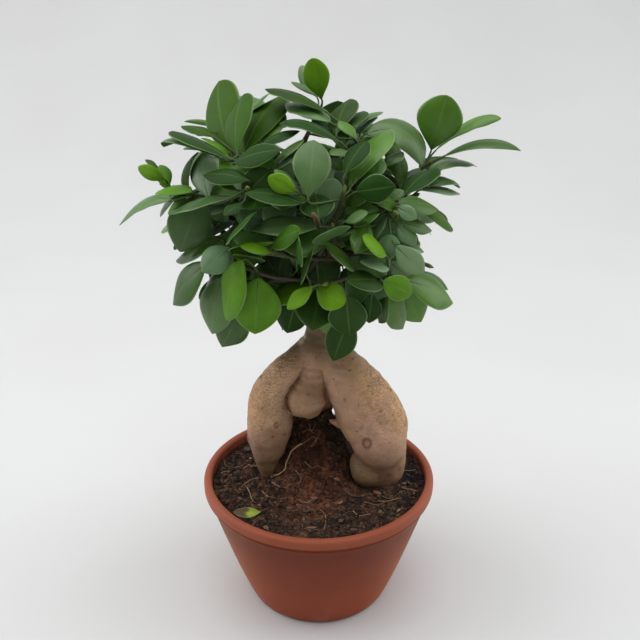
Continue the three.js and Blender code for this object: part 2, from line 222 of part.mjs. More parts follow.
  { name: 'shoot_upper_front_left_b', branch: 'branch_upper_left', path: [[-47,4,308],[-57.44,-6.84,304.03],[-67.56,-17.96,304.05],[-77.38,-29.35,308.05]], radius: [1.87,1.63,1.39,1.15], leaves: [
    [[-74.15,-25.52,306.28],[-75.93,-33.02,310.49],[-89.9,-22.57,313.67],[-101.3,-11.12,306.4],[-0.237,-0.094,0.967],17.48,1.75],
    [[-76.58,-28.39,307.57],[-87.41,-39.56,307],[-105.29,-32.22,312.23],[-120.32,-35.25,290.38],[-0.459,-0.109,0.882],22.02,2.20],
    [[-70.05,-20.78,304.68],[-71.85,-26.82,305.69],[-78.24,-33.93,289.38],[-85.84,-29.59,272.62],[0.104,-0.994,0.039],26.05,2.60],
    [[-74.96,-26.47,306.68],[-77.9,-33.13,307.53],[-86.61,-25.81,308.33],[-92.68,-17.94,302.71],[-0.379,-0.077,0.922],11.36,1.14],
    [[-72.51,-23.62,305.55],[-80.05,-25.64,304.24],[-89.69,-22.05,300.62],[-94.59,-14.98,293.91],[-0.714,-0.523,0.466],11.37,1.14],
    [[-63.38,-13.29,303.56],[-69.09,-10.11,306.65],[-83.89,-3.77,301.21],[-91.59,4.38,288.44],[-0.685,-0.175,0.707],18.82,1.88,1],
    [[-71.69,-22.67,305.23],[-82.6,-17.35,288.92],[-91.12,-5.35,280.89],[-90.96,5.02,267.71],[-0.849,0.16,0.503],22.77,2.28,1],
    [[-59.13,-8.69,304.03],[-52.85,-14.47,301.95],[-37.34,-19.13,294.39],[-26.15,-17.94,280.5],[0.448,-0.608,0.656],24.37,2.44,1],
  ] },
  { name: 'shoot_middle_right_a', branch: 'branch_front_right', path: [[7.38,-26.69,271.31],[20.77,-26.92,271.07],[34.17,-27.16,271.54],[47.57,-27.4,272.72]], radius: [1.9,1.65,1.4,1.15], leaves: [
    [[38.64,-27.24,271.85],[44.14,-34.29,267.55],[54.51,-34.02,258.66],[62.06,-25.96,250.6],[0.34,-0.935,-0.1],13.36,1.34],
    [[47.57,-27.4,272.72],[40.62,-51.06,272.43],[40.58,-57.95,280.36],[41.57,-59.03,290.76],[-0.161,-0.908,-0.386],12.58,1.26],
    [[34.17,-27.16,271.54],[40.59,-36.71,277.97],[33.63,-49.56,272.26],[25.54,-55.4,260.15],[0.118,-0.734,0.669],17.62,1.76,1],
    [[27.47,-27.04,271.3],[26.86,-24.01,282.73],[37.49,-32.8,291.26],[51.32,-41.25,291.66],[-0.367,-0.039,0.93],21.23,2.12,1],
    [[19.65,-26.9,271.09],[18.91,-38.99,263.35],[25.41,-46.34,254.88],[30.8,-47.61,243.16],[0.158,-0.871,0.465],15.52,1.55,1],
    [[29.7,-27.08,271.38],[27.31,-38.22,280.44],[30.81,-43.77,291.26],[40.11,-47.97,298.74],[-0.85,-0.197,0.489],15.59,1.56,1],
  ] },
  { name: 'shoot_top_centre_b', branch: 'branch_upper_left', path: [[-34,8,292],[-22.38,12.02,311.27],[-10.77,16.04,331.82],[0.85,20.06,353.64]], radius: [1.9,1.65,1.4,1.15], leaves: [
    [[-0.12,19.73,351.78],[2.24,8.77,360.36],[-0.57,2.16,371.93],[-3.87,3.68,385.04],[0.059,-0.98,-0.188],15.78,1.58],
    [[-1.09,19.39,349.92],[-0.33,31.18,359.62],[-3.36,26.7,370.89],[-11.83,27.11,380.07],[0.715,-0.642,0.275],15.16,1.52],
    [[-3.99,18.39,344.4],[1.62,16.99,361.08],[-6.28,14.65,368.66],[-17.27,15.05,370.81],[0.452,-0.401,0.797],12.60,1.26],
    [[-6.9,17.38,338.95],[8.92,17.21,337.54],[23.06,23.38,345.79],[38.59,31.13,343.59],[-0.131,-0.147,0.98],23.81,2.38,1],
    [[-4.96,18.05,342.57],[-19.03,35.78,344.52],[-34.28,44.3,347.2],[-49.43,49.4,339.66],[-0.01,0.317,0.948],26.60,2.66,1],
    [[-23.35,11.68,309.66],[-14.59,20.1,303.62],[-22.4,18.18,291.41],[-22.84,17.68,276.81],[-0.935,-0.181,0.304],19.02,1.90,1],
    [[-17.54,13.69,319.83],[-10.59,15.8,316.27],[-6.53,25.88,323.41],[0.59,36.73,324.29],[-0.436,-0.109,0.893],15.79,1.58,1],
    [[-22.38,12.02,311.27],[-29.64,24.02,307.36],[-34.31,22.13,320.85],[-36.49,13.27,331.99],[-0.32,0.898,0.303],17.98,1.80,1],
    [[-16.58,14.03,321.54],[-9.25,-2.13,321.5],[-20.97,-10.27,326.61],[-33.66,-17.99,323.62],[0.119,-0.051,0.992],17.45,1.74,1],
    [[-9.8,16.37,333.64],[0.85,17.91,328.85],[1.26,10.81,315.34],[-1.61,11.11,300.35],[0.399,-0.899,0.18],20.64,2.06,1],
    [[-14.64,14.7,324.97],[-22.32,23.98,327.95],[-32.64,30.31,331.89],[-44.07,35.24,329.2],[0.162,0.204,0.966],15.05,1.51,1],
    [[-19.48,13.02,316.41],[-33.85,12.92,323.66],[-39.22,2.09,326.83],[-43.56,-9.1,323.36],[-0.154,0.055,0.987],14.74,1.47,1],
    [[-8.83,16.71,335.46],[-5.83,35.67,329.78],[-4.19,49.73,330.49],[-1.54,61.97,323.85],[-0.131,0.238,0.962],16.83,1.68,1],
    [[-10.77,16.04,331.82],[-3.96,36.73,324.89],[-19.26,37.85,321.99],[-31.13,35.83,312.06],[-0.406,0.372,0.834],20.58,2.06,1],
  ] },
  { name: 'shoot_top_left_a', branch: 'branch_upper_left', path: [[-34,8,292],[-34.61,-2.7,301.73],[-37.98,-10,313.54],[-44.11,-13.9,327.42]], radius: [1.9,1.65,1.4,1.15], leaves: [
    [[-44.11,-13.9,327.42],[-46.51,-49.44,314.71],[-50.8,-51.28,317.71],[-56.34,-51.62,317.95],[0.367,-0.441,0.819],6.33,0.32],
    [[-42.9,-13.49,324.97],[-68.92,-8.31,331.26],[-77.39,3.57,335.3],[-85.54,15.24,330.12],[-0.035,0.024,0.999],14.84,1.48],
    [[-41.76,-12.98,322.57],[-56.98,-5.86,328.49],[-63.72,7.84,336.57],[-75.05,20.82,335.19],[0.435,0.069,0.898],16.61,1.66],
    [[-42.9,-13.49,324.97],[-66.94,10.75,337.58],[-77.83,15.32,344.47],[-89.75,21.91,343.34],[0.124,-0.243,0.962],13.83,1.38],
    [[-36.24,-7.37,308.37],[-39.38,1.41,318.56],[-57.5,0.99,325.57],[-76.2,4.14,321.29],[0.048,-0.301,0.952],26.22,2.62,1],
    [[-35.73,-5.13,305.67],[-32.1,-5.16,306.88],[-24.7,-0.69,316.38],[-13.64,4.69,320.07],[-0.529,-0.131,0.838],15.55,1.56,1],
  ] },
  { name: 'shoot_upper_left_a', branch: 'branch_upper_left', path: [[-25.12,8.5,280.62],[-25.29,-0.83,288.47],[-25.45,-10.16,296.99],[-25.62,-19.49,306.19]], radius: [1.9,1.65,1.4,1.15], leaves: [
    [[-25.6,-18.71,305.4],[-14.21,-38.81,318.59],[-17.26,-41.48,324.12],[-20.94,-40.01,329.7],[0.151,-0.988,-0.015],8.08,0.40],
    [[-25.3,-1.61,289.16],[-11.22,-23.16,292.16],[3.23,-31.65,293.95],[17.3,-36.58,286.1],[0.036,-0.346,0.937],21.31,2.13,1],
    [[-25.36,-4.72,291.94],[-20.15,-10.47,292.5],[-14.89,-22.81,300.49],[-8.89,-37.15,299.2],[-0.078,0.212,0.974],22.97,2.30,1],
    [[-25.48,-11.71,298.52],[-30.82,-24.67,286.04],[-36.23,-34.26,295.31],[-47.74,-39.93,301.84],[0.787,-0.506,0.354],17.73,1.77,1],
    [[-25.58,-17.16,303.89],[-28.84,-27.96,306.81],[-24.05,-41.45,303.36],[-17.96,-50.49,293.46],[-0.164,-0.56,0.812],19.03,1.90,1],
    [[-25.55,-15.6,302.36],[-11.8,-25.37,312.52],[-1.95,-37.33,309.79],[8.67,-44.11,300.38],[-0.091,-0.61,0.787],18.64,1.86,1],
    [[-25.28,-0.05,287.82],[-13.75,-9.82,276.64],[-16.09,-8.87,262.36],[-12.55,-3.01,249.59],[-0.753,-0.629,-0.192],17.76,1.78,1],
  ] },
  { name: 'shoot_lower_front_left', branch: 'branch_front', path: [[-10.5,-34.12,257.5],[-21.54,-37.13,257],[-32.57,-40.14,257.11],[-43.61,-43.15,257.82]], radius: [1.78,1.57,1.36,1.15], leaves: [
    [[-43.61,-43.15,257.82],[-47.23,-37.64,239.93],[-56.55,-37.75,222.07],[-63.52,-26.17,207.12],[-0.191,-0.952,-0.238],21.72,2.17],
    [[-32.57,-40.14,257.11],[-36.43,-36.58,267.24],[-40,-46.8,277.61],[-45.14,-60.71,279.78],[0.172,0.405,0.898],18.60,1.86,1],
    [[-25.22,-38.14,256.97],[-40.02,-45.69,257.24],[-45.1,-30.92,259.4],[-42.22,-15.76,256.19],[-0.828,-0.041,0.559],18.25,1.82,1],
    [[-23.38,-37.63,256.97],[-35.02,-27.57,269.33],[-51.18,-30.84,274.58],[-67.86,-26.97,272.09],[0.049,-0.678,0.734],26.13,2.62,1],
    [[-17.86,-36.13,257.17],[-13.2,-38.84,265.22],[-16.43,-43.11,276.78],[-12.95,-45.94,288.71],[-0.976,-0.21,-0.053],16.95,1.69,1],
  ] },
  { name: 'shoot_lower_back_left', branch: 'branch_back_left', path: [[-32.38,25.81,260],[-45.4,26.76,257.89],[-58.42,27.71,256.47],[-71.44,28.66,255.76]], radius: [1.9,1.65,1.4,1.15], leaves: [
    [[-66.01,28.27,255.97],[-69.1,33.91,259.89],[-71.96,41.41,243.91],[-67.11,41.3,226.7],[-0.708,0.698,0.113],26.95,2.69,1],
    [[-42.14,26.52,258.35],[-39.71,39.18,257.41],[-51.56,53.91,250.96],[-54.71,66.97,236.17],[-0.715,0.137,0.685],23.36,2.34,1],
    [[-44.32,26.68,258.07],[-43.18,23.59,253.11],[-51.52,26.98,247.15],[-55.08,32.02,238.3],[-0.82,-0.284,0.497],13.17,1.32,1],
    [[-46.48,26.84,257.77],[-47.5,15.24,271.11],[-38.94,24.7,276.96],[-28.06,33.47,275.65],[-0.307,0.092,0.947],17.01,1.70,1],
    [[-50.82,27.16,257.3],[-52.16,24.75,269.61],[-64.53,18.73,265.01],[-72.39,13.41,254.05],[-0.576,-0.088,0.813],18.98,1.90,1],
  ] },
  { name: 'shoot_middle_back_centre', branch: 'branch_back', path: [[-9.25,30.44,262.88],[-4.77,38.81,263.09],[-0.3,47.18,263.8],[4.18,55.55,265.03]], radius: [1.9,1.65,1.4,1.15], leaves: [
    [[0.45,48.57,263.97],[-2.78,58.7,272.17],[4.63,74.63,269.74],[12.37,85.3,257.87],[-0.031,0.487,0.873],25.52,2.55,1],
    [[3.8,54.85,264.91],[25.48,54.25,260.53],[45.01,46.69,262.04],[57.98,31.46,255.69],[0.512,0.6,0.614],26.31,2.64,1],
    [[-4.77,38.81,263.09],[-5.17,40.71,251.68],[-11.1,47.89,239.36],[-17.46,45.8,225.45],[0.046,0.984,0.169],23.46,2.35,1],
    [[-5.52,37.42,263.05],[-25.88,27.34,258],[-29.13,32.88,271.24],[-24.96,40.76,282.95],[-0.936,-0.295,0.193],17.44,1.74,1],
    [[-4.03,40.2,263.21],[-20.49,45.29,259.99],[-15,51.71,244.19],[-8.63,48.54,227.75],[-0.091,0.994,0.067],22.86,2.29,1],
    [[3.06,53.46,264.72],[-6.55,60.04,256.52],[-18.4,63.51,265.49],[-25.3,73.56,274.68],[-0.601,-0.799,-0.026],17.76,1.78,1],
    [[-1.79,44.39,263.56],[-8.47,48.65,257.94],[-11.23,64.11,255.8],[-13.89,76.15,245.83],[-0.012,0.401,0.916],19.21,1.92,1],
    [[-0.67,46.48,263.74],[-3.08,47.64,249.69],[-10.98,56.61,239.89],[-19.91,57.79,227.33],[0.124,0.935,0.331],18.25,1.83,1],
    [[1.57,50.67,264.31],[18.56,43.1,256.66],[30.58,39.16,255.26],[39.42,33.6,247.99],[0.462,0.235,0.855],16.06,1.61,1],
    [[-1.42,45.09,263.62],[10.77,41.48,275.2],[20.38,49.59,265.03],[25.79,51.83,249.95],[0.482,0.672,0.562],19.54,1.95,1],
  ] },
  { name: 'shoot_top_right', branch: 'branch_upper_right', path: [[38,4,286],[46.8,4.91,299.34],[57.64,3.79,311.55],[70.51,0.65,322.66]], radius: [1.9,1.65,1.4,1.15], leaves: [
    [[69.36,0.99,321.77],[79.11,-1.27,327.26],[103.68,-3.56,345.5],[122.64,-17.82,332.49],[-0.131,-0.031,0.991],29.00,2.90],
    [[67.1,1.62,319.99],[71.38,2.87,329.81],[73.64,-5.66,346.17],[78.28,-3.21,364],[-0.211,-0.969,-0.13],27.39,2.74],
    [[63.82,2.47,317.25],[73.95,6.81,328.67],[94.37,6.31,355.66],[111.6,-6.62,350.21],[-0.52,-0.097,0.849],29.24,2.92],
    [[57.64,3.79,311.55],[69.44,-13.4,310.56],[82.15,1.76,318.7],[91.96,8.68,305.32],[0.244,-0.018,0.97],18.16,1.82],
    [[62.76,2.73,316.32],[69.99,-6.57,318.73],[88.1,7.29,329.21],[103.6,12.95,318.25],[0.024,-0.016,1],21.56,2.16],
    [[61.7,2.97,315.38],[65.42,5.92,318.05],[80.39,17.83,325.53],[94.51,31.97,320.73],[0.069,-0.178,0.982],20.25,2.02],
    [[49.32,4.82,302.49],[58.77,18.49,304.28],[69.72,26.3,314.94],[84.35,35.24,315.88],[-0.352,-0.107,0.93],19.79,1.98,1],
    [[46.8,4.91,299.34],[47.94,14.74,295.67],[54.31,23.3,303.54],[59.8,35.26,305.18],[0.122,-0.474,0.872],15.51,1.55,1],
    [[48.61,4.72,301.38],[40.8,-1.14,302.94],[31.39,-5.25,312.02],[19.55,-11.68,314.53],[0.329,0.315,0.89],18.01,1.80,1],
  ] },
  { name: 'shoot_top_centre_a', branch: 'branch_upper_right', path: [[56,0,304],[42.74,-5.78,317.17],[29.47,-11.56,331.42],[16.21,-17.34,346.76]], radius: [1.87,1.63,1.39,1.15], leaves: [
    [[17.32,-16.86,345.44],[4,-10.63,355.21],[-16.5,0.76,368.95],[-33.09,6.16,367.04],[0.228,-0.171,0.959],23.93,2.39],
    [[20.63,-15.41,341.52],[6.98,-15.94,349.28],[-6.28,-4.01,359.96],[-20.46,11.12,358.41],[0.073,-0.252,0.965],21.36,2.14],
    [[22.84,-14.45,338.95],[10.5,-21.95,342.35],[12.88,-8.98,356.61],[19.76,8.64,360.97],[-0.381,-0.394,0.836],18.65,1.86],
    [[23.95,-13.97,337.68],[28.96,-12.11,341.88],[59.79,-6.42,353.16],[62.77,-16.48,323.32],[0.351,-0.538,0.766],26.83,2.68],
    [[21.74,-14.93,340.24],[17.11,-19.32,344.39],[21.52,-6.91,353.72],[28.63,7.58,353.83],[-0.275,-0.212,0.938],15.59,1.56],
    [[23.95,-13.97,337.68],[25.56,-7.57,341.4],[27.84,5.36,349.41],[34.58,19.18,349.23],[-0.475,-0.096,0.875],14.82,1.48],
    [[47.16,-3.85,312.78],[40.1,11.6,312.67],[47.03,15.53,300.56],[46.34,19.83,286.73],[0.974,-0.047,0.22],18.65,1.87,1],
    [[42.74,-5.78,317.17],[41.02,-4.93,319.39],[41.48,7.9,322.37],[38.45,20.32,319.17],[0.49,0.057,0.87],17.33,1.73,1],
    [[29.47,-11.56,331.42],[31.64,-17.51,332],[32.41,-28.73,327.79],[33.07,-36.13,318.35],[0.017,-0.59,0.807],14.50,1.45,1],
  ] },
  { name: 'shoot_under_left', branch: 'branch_left', path: [[-18,-4,248],[-19.52,0.74,238.25],[-21.05,5.49,229.05],[-22.57,10.23,220.42]], radius: [1.9,1.65,1.4,1.15], leaves: [
    [[-22.45,9.84,221.11],[-28.31,14.01,221.11],[-45.1,24.77,218.63],[-56.49,34.46,205.21],[-0.442,0.086,0.893],25.20,2.52,1],
    [[-20.03,2.32,235.18],[-18.08,7.2,237.38],[-14.65,19.59,244.28],[-15.39,34.15,244.88],[0.531,-0.276,0.802],19.95,1.99,1],
    [[-19.01,-0.84,241.5],[-20.95,0.38,244.91],[-34.2,1.23,245.26],[-45.71,2.02,238.66],[-0.244,0.009,0.97],17.87,1.79,1],
    [[-20.92,5.09,229.82],[-32.28,1.3,230.23],[-34.36,12.32,236.79],[-29.82,23.7,241.1],[-0.945,-0.052,0.322],15.01,1.50,1],
    [[-19.27,-0.05,239.88],[-32.03,-8.34,237.83],[-41.18,-19.29,233.84],[-44,-30.85,225.02],[-0.792,0.076,0.606],17.04,1.70,1],
    [[-20.41,3.51,232.88],[-9.55,-8.37,225.53],[-17.44,-18.43,237.79],[-22.73,-34.48,243.08],[-0.272,0.628,0.73],20.38,2.04,1],
  ] },
  { name: 'shoot_top_back_left', branch: 'branch_left', path: [[-47.12,-10.38,269],[-52.39,3.67,290.83],[-57.65,17.72,314.14],[-62.91,31.77,338.92]], radius: [1.9,1.65,1.4,1.15], leaves: [
    [[-58.96,21.23,320.19],[-55.86,10.06,325.71],[-68.07,25.11,352.4],[-67.75,52.99,370.01],[-0.623,-0.638,0.451],31.97,3.20],
    [[-51.07,0.16,285.23],[-53.11,-6.51,286.21],[-70.43,-5,284.07],[-83.14,-1.84,272.44],[-0.431,-0.155,0.889],18.77,1.88],
    [[-56.77,15.38,310.15],[-71.11,22.67,340.09],[-75.66,20.62,340.08],[-80.08,20.57,337.77],[-0.041,-0.656,0.753],5.48,0.27],
    [[-51.51,1.33,287.09],[-49.66,-7.78,288.55],[-43.87,-23.21,284.81],[-38.23,-33.14,272.35],[0.015,-0.533,0.846],26.61,2.67,1],
    [[-62.47,30.6,336.8],[-65.6,53.16,339.79],[-79.73,60.95,345.95],[-95.55,66.57,341.95],[0.162,0.205,0.965],25.30,2.53,1],
    [[-51.95,2.5,288.95],[-62.06,4.78,270.07],[-76.53,18.54,263.71],[-81.3,32.74,249.04],[-0.759,-0.034,0.65],25.23,2.53,1],
    [[-61.59,28.26,332.59],[-64.48,34.29,327.46],[-78.98,34.29,320.24],[-86.71,36.38,306.15],[-0.687,-0.212,0.695],17.71,1.77,1],
    [[-62.03,29.43,334.79],[-57.07,25.33,338.09],[-48.86,12.3,335.41],[-38.55,4.59,326.54],[-0.25,-0.632,0.734],20.27,2.03,1],
    [[-61.16,27.09,330.66],[-72.3,33.52,330.19],[-82.6,26.71,322.81],[-88.25,23.09,310.09],[-0.598,-0.411,0.688],16.98,1.70,1],
    [[-50.63,-1.01,283.55],[-51.52,8.45,265.44],[-60.99,13.48,258.73],[-65.96,16.23,247.43],[-0.66,0.334,0.673],15.34,1.53,1],
    [[-58.09,18.89,316.2],[-48.98,11.97,316.83],[-38.56,22.23,311],[-29.97,27.21,298.78],[0.216,0.622,0.752],18.07,1.81,1],
    [[-57.65,17.72,314.14],[-59.3,22.06,313.04],[-59.79,24.76,325.52],[-56.72,32.6,335.13],[-0.517,-0.747,0.417],16.35,1.63,1],
  ] },
  { name: 'shoot_lower_front_centre', branch: 'branch_front', path: [[-7.62,-21.12,251.62],[-6.46,-28.57,252.39],[-5.29,-36.02,253.55],[-4.12,-43.46,255.13]], radius: [1.9,1.65,1.4,1.15], leaves: [
    [[-6.26,-29.81,252.55],[-13.38,-36.83,244.95],[-17.95,-34.66,228.26],[-20.74,-22.86,215.72],[-0.167,-0.905,-0.391],19.09,1.91],
    [[-4.21,-42.84,254.98],[-7.7,-51.64,266.03],[-10.66,-64.14,274.27],[-4.73,-77.09,279.77],[-0.954,0.048,0.295],19.80,1.98,1],
  ] },
  { name: 'shoot_middle_front_centre', branch: 'branch_front_right', path: [[24,-41,263],[17.64,-50.34,262.93],[11.27,-59.68,263.47],[4.91,-69.03,264.6]], radius: [1.44,1.35,1.25,1.15], leaves: [
    [[5.44,-68.25,264.49],[-3.54,-73.72,264.34],[-11.86,-77.41,260.44],[-17.72,-77.42,252.45],[-0.41,-0.611,0.678],10.79,1.08],
    [[9.68,-62.02,263.69],[-0.75,-66.26,260.67],[5.96,-74.24,259.56],[15.12,-77.18,255.37],[-0.383,-0.789,0.481],15.83,1.58],
    [[12.86,-57.35,263.28],[16.33,-59.05,254.54],[18.16,-58.17,237.21],[19.63,-47.34,223.61],[0.034,-0.936,-0.351],23.00,2.30],
    [[19.23,-48.01,262.89],[41.64,-54.49,251.08],[36.37,-51.01,241.01],[37.65,-44.47,231.16],[-0.906,-0.423,-0.031],13.33,1.33],
    [[18.17,-49.56,262.91],[20.83,-48.89,270.78],[16.52,-60.24,281.27],[5.54,-71.48,284.59],[0.681,-0.013,0.732],23.14,2.31,1],
  ] },
  { name: 'shoot_lower_right_b', branch: 'branch_upper_right', path: [[18,6,264],[26.4,6.88,255.65],[34.8,7.75,247.92],[43.2,8.63,240.79]], radius: [1.9,1.65,1.4,1.15], leaves: [
    [[42.5,8.56,241.36],[48.29,3.71,230.02],[57.77,9.93,227.84],[62.07,18.66,221.6],[0.737,-0.355,0.575],18.40,1.83,1],
    [[41.1,8.41,242.52],[54.33,8.33,247.85],[68.37,10.67,247.62],[80.24,9.19,239.9],[0.25,0.439,0.863],23.85,2.38,1],
    [[23.6,6.59,258.43],[33.02,4.12,268.27],[47.17,5.26,274.34],[62.46,5.57,272.21],[-0.137,0.099,0.986],19.24,1.92,1],
    [[25,6.73,257.04],[29.15,16.85,263.18],[35.4,25.03,272.41],[37.63,37.77,277.32],[0.54,-0.61,0.58],16.52,1.65,1],
    [[39,8.19,244.36],[47.43,-1.68,253.39],[61.31,0.87,254.57],[73.75,3.32,248.26],[0.189,0.012,0.982],18.90,1.89,1],
  ] },
  { name: 'shoot_upper_left_c', branch: 'branch_upper_left', path: [[-16,8,268],[-35.85,8.42,279.4],[-55.71,8.83,292.05],[-75.56,9.25,305.95]], radius: [1.9,1.65,1.4,1.15], leaves: [
    [[-30.89,8.31,276.43],[-33.41,-1.63,264.91],[-28.87,-18.7,261.87],[-21.74,-29.99,249.92],[-0.238,-0.529,0.815],21.46,2.15],
    [[-73.91,9.22,304.75],[-90.23,-14.83,302.09],[-100.2,-6.05,298.3],[-103.42,4.29,289.72],[-0.802,-0.185,0.568],14.48,1.45],
    [[-63.98,9.01,297.69],[-79.01,-19.21,309.14],[-90.48,-7,319.84],[-76.73,4.6,328.96],[-0.856,-0.28,0.435],18.10,1.81],
    [[-47.44,8.66,286.78],[-62,19.55,276.88],[-67.57,17.49,286.5],[-72.12,9.96,293.61],[-0.166,0.896,0.413],14.44,1.44,1],
    [[-44.12,8.59,284.67],[-42.85,15.69,287.73],[-37.01,28.16,285.48],[-30.68,36.95,276.69],[-0.064,0.488,0.87],18.11,1.81,1],
  ], cutBranches: ['branch_left'] },
  { name: 'shoot_middle_right_c', branch: 'branch_upper_right', path: [[27.88,5.38,275.25],[41.1,12.38,278.61],[54.32,19.39,282.8],[67.55,26.39,287.82]], radius: [1.9,1.65,1.4,1.15], leaves: [
    [[56.53,20.55,283.58],[59.8,28.75,271.52],[60.27,47.64,264.61],[58.23,59.15,248.22],[0.204,0.602,0.772],26.77,2.68,1],
    [[58.73,21.72,284.39],[62.84,22.11,294.94],[78.43,27.46,289.81],[89.15,28.65,276.33],[0.463,0.395,0.793],26.71,2.67,1],
    [[64.24,24.64,286.49],[69.85,33.65,277.44],[75.23,49.1,277.58],[73.68,63.8,270.58],[0.694,0.075,0.716],24.46,2.45,1],
    [[60.94,22.89,285.21],[68.92,46.15,274.59],[65.35,59.26,271.09],[59.19,67.19,261.29],[0.304,0.605,0.736],15.32,1.53,1],
    [[57.63,21.14,284.06],[62.66,14.25,279.95],[64.93,1.35,292.64],[63.91,-16.25,297.34],[0.335,0.477,0.812],21.73,2.17,1],
    [[38.9,11.21,278.05],[39.12,15.59,267.07],[51.12,20.33,265.49],[60.82,23.54,257.46],[0.327,0.218,0.919],17.66,1.77,1],
    [[54.32,19.39,282.8],[50.26,30.6,284.58],[59.95,42.29,283.3],[63.42,55.7,276.94],[0.758,-0.21,0.618],17.38,1.74,1],
  ] },
  { name: 'shoot_lower_centre', branch: 'branch_front', path: [[-6,-14,246],[-8.75,-16.59,245.57],[-11.5,-19.17,245.34],[-14.25,-21.76,245.31]], radius: [1.9,1.65,1.4,1.15], leaves: [
    [[-11.5,-19.17,245.34],[0.98,-23.68,247.17],[-0.59,-43.87,244.96],[-3.83,-58.88,231.59],[0.135,-0.416,0.899],25.29,2.53],
    [[-12.42,-20.04,245.31],[-13.1,-22.02,267.31],[-14.91,-32.97,279.54],[-25.01,-38.21,291.5],[0.824,-0.567,0.026],21.94,2.19,1],
    [[-14.02,-21.55,245.3],[-29.77,-13.9,232.58],[-43.55,-9.85,227.34],[-51.12,-4.11,215.36],[-0.666,-0.18,0.724],22.94,2.30,1],
    [[-10.12,-17.88,245.46],[6.49,-27.32,236.44],[3.24,-23.06,222.13],[3.43,-12.2,211.38],[-0.417,-0.8,-0.432],17.98,1.80,1],
  ] },
  { name: 'shoot_upper_back_right', branch: 'branch_back_right', path: [[30,36,276],[29.66,34.94,284.97],[29.32,33.89,294.44],[28.98,32.83,304.43]], radius: [1.9,1.65,1.4,1.15], leaves: [
    [[29.04,33.01,302.73],[30.21,42.98,302.99],[20.85,62.38,301.8],[8.56,75.24,289.59],[0.222,0.497,0.839],27.71,2.77,1],
    [[29.35,33.98,293.64],[31.29,38.75,295.6],[41.01,50.47,303.66],[55.17,60.21,302.41],[-0.423,0.189,0.886],25.74,2.58,1],
    [[29.43,34.24,291.23],[42.46,30.42,291.53],[57.97,34.85,292.4],[70.81,39.53,283.8],[0.27,-0.026,0.962],20.93,2.09,1],
    [[29.52,34.5,288.85],[26.87,43.5,289.99],[33.08,60.73,285.96],[38.2,72.27,272.09],[0.096,0.498,0.862],26.10,2.62,1],
    [[29.12,33.27,300.27],[40.36,40.51,310.08],[46.45,50.53,317.3],[52.61,62.85,317.45],[-0.008,-0.309,0.951],18.78,1.88,1],
    [[29.74,35.2,282.73],[26.74,25.39,281.69],[31.05,24.29,299.15],[27.39,17.73,315.53],[0.82,0.562,0.111],21.15,2.12,1],
    [[29.66,34.94,284.97],[16.74,32.16,276.52],[14.19,42.27,264.24],[7.12,45.2,250.06],[0.521,0.826,0.218],18.40,1.84,1],
    [[29.24,33.62,296.94],[28.99,44.76,296.06],[14.42,47.76,302.93],[-1.92,47.46,301.81],[0.201,0.374,0.905],19.38,1.94,1],
  ] },
  { name: 'shoot_lower_left', branch: 'branch_left', path: [[-27.88,-7.38,254.88],[-39.7,-1,248.54],[-51.52,5.37,242.97],[-63.34,11.74,238.19]], radius: [1.9,1.65,1.4,1.15], leaves: [
    [[-46.59,2.71,245.2],[-53.35,-3.93,240.27],[-60.23,-7.18,226.38],[-57.61,-9.7,210.98],[-0.985,-0.075,0.158],23.18,2.32,1],
    [[-44.62,1.65,246.12],[-39.55,19.7,227.92],[-31.95,34,225.21],[-18.67,42.98,228.81],[-0.566,0.532,-0.629],25.42,2.54,1],
    [[-58.42,9.09,240.09],[-48.22,27.55,226.03],[-51.05,46.81,228.89],[-42.1,64.27,230.39],[-0.982,0.15,0.113],26.97,2.70,1],
    [[-51.52,5.37,242.97],[-49.71,24.79,234.99],[-63.14,29.82,227.3],[-69.09,35.07,213.08],[-0.754,-0.022,0.657],25.52,2.55,1],
    [[-53.49,6.43,242.12],[-55.64,19.69,239],[-73.84,19.41,231.93],[-84.66,21.46,215.8],[-0.619,-0.196,0.76],23.24,2.32,1],
    [[-55.46,7.49,241.29],[-57.87,5.5,237.73],[-68.58,10.83,224.27],[-69.02,15.69,206.94],[-0.935,0.043,0.353],22.14,2.21,1],
    [[-62.36,11.21,238.56],[-72.31,1.06,232.56],[-75.05,-14.44,233.47],[-68.62,-28.73,231.74],[-0.953,-0.126,0.275],25.56,2.55,1],
    [[-48.56,3.78,244.29],[-47.46,4.07,237.08],[-50.7,17.19,229.43],[-44.9,28.09,220.01],[-0.954,0.235,0.188],17.60,1.76,1],
    [[-49.55,4.31,243.85],[-68.7,5.77,247.33],[-76.41,8.82,236.7],[-78.01,7.04,223.44],[-0.742,0.588,0.321],21.85,2.18,1],
    [[-36.75,-2.6,250.12],[-39.43,-3.28,253.58],[-50.72,-12.84,259.49],[-63.75,-21.67,257.02],[0.203,-0.086,0.975],21.21,2.12,1],
    [[-35.76,-3.13,250.65],[-26.16,2.02,261.31],[-33.45,11.56,267.05],[-37.34,24.29,267.33],[-0.475,-0.444,0.76],18.81,1.88,1],
    [[-38.72,-1.53,249.07],[-41.5,6.76,265.16],[-44.56,13.46,275.27],[-47.14,13.77,287.5],[-0.071,0.946,-0.315],14.51,1.45,1],
    [[-42.66,0.59,247.15],[-48.68,-2.15,248.19],[-58.68,-11.82,246.99],[-66.67,-19.76,238.74],[-0.266,-0.23,0.936],19.15,1.91,1],
    [[-40.68,-0.47,248.08],[-40.31,4.08,251.38],[-41.06,22.18,251.83],[-38.41,38,243.41],[-0.349,0.233,0.908],23.25,2.32,1],
    [[-37.73,-2.06,249.6],[-43.48,-19.42,242.39],[-41.26,-31.79,243.17],[-35.11,-41.91,238.89],[-0.579,-0.331,0.745],14.72,1.47,1],
  ] },
  { name: 'shoot_upper_back_centre', branch: 'branch_back', path: [[-14,48,290],[-6.94,50.73,294.53],[0.12,53.46,299.55],[7.17,56.19,305.05]], radius: [1.7,1.52,1.33,1.15], leaves: [
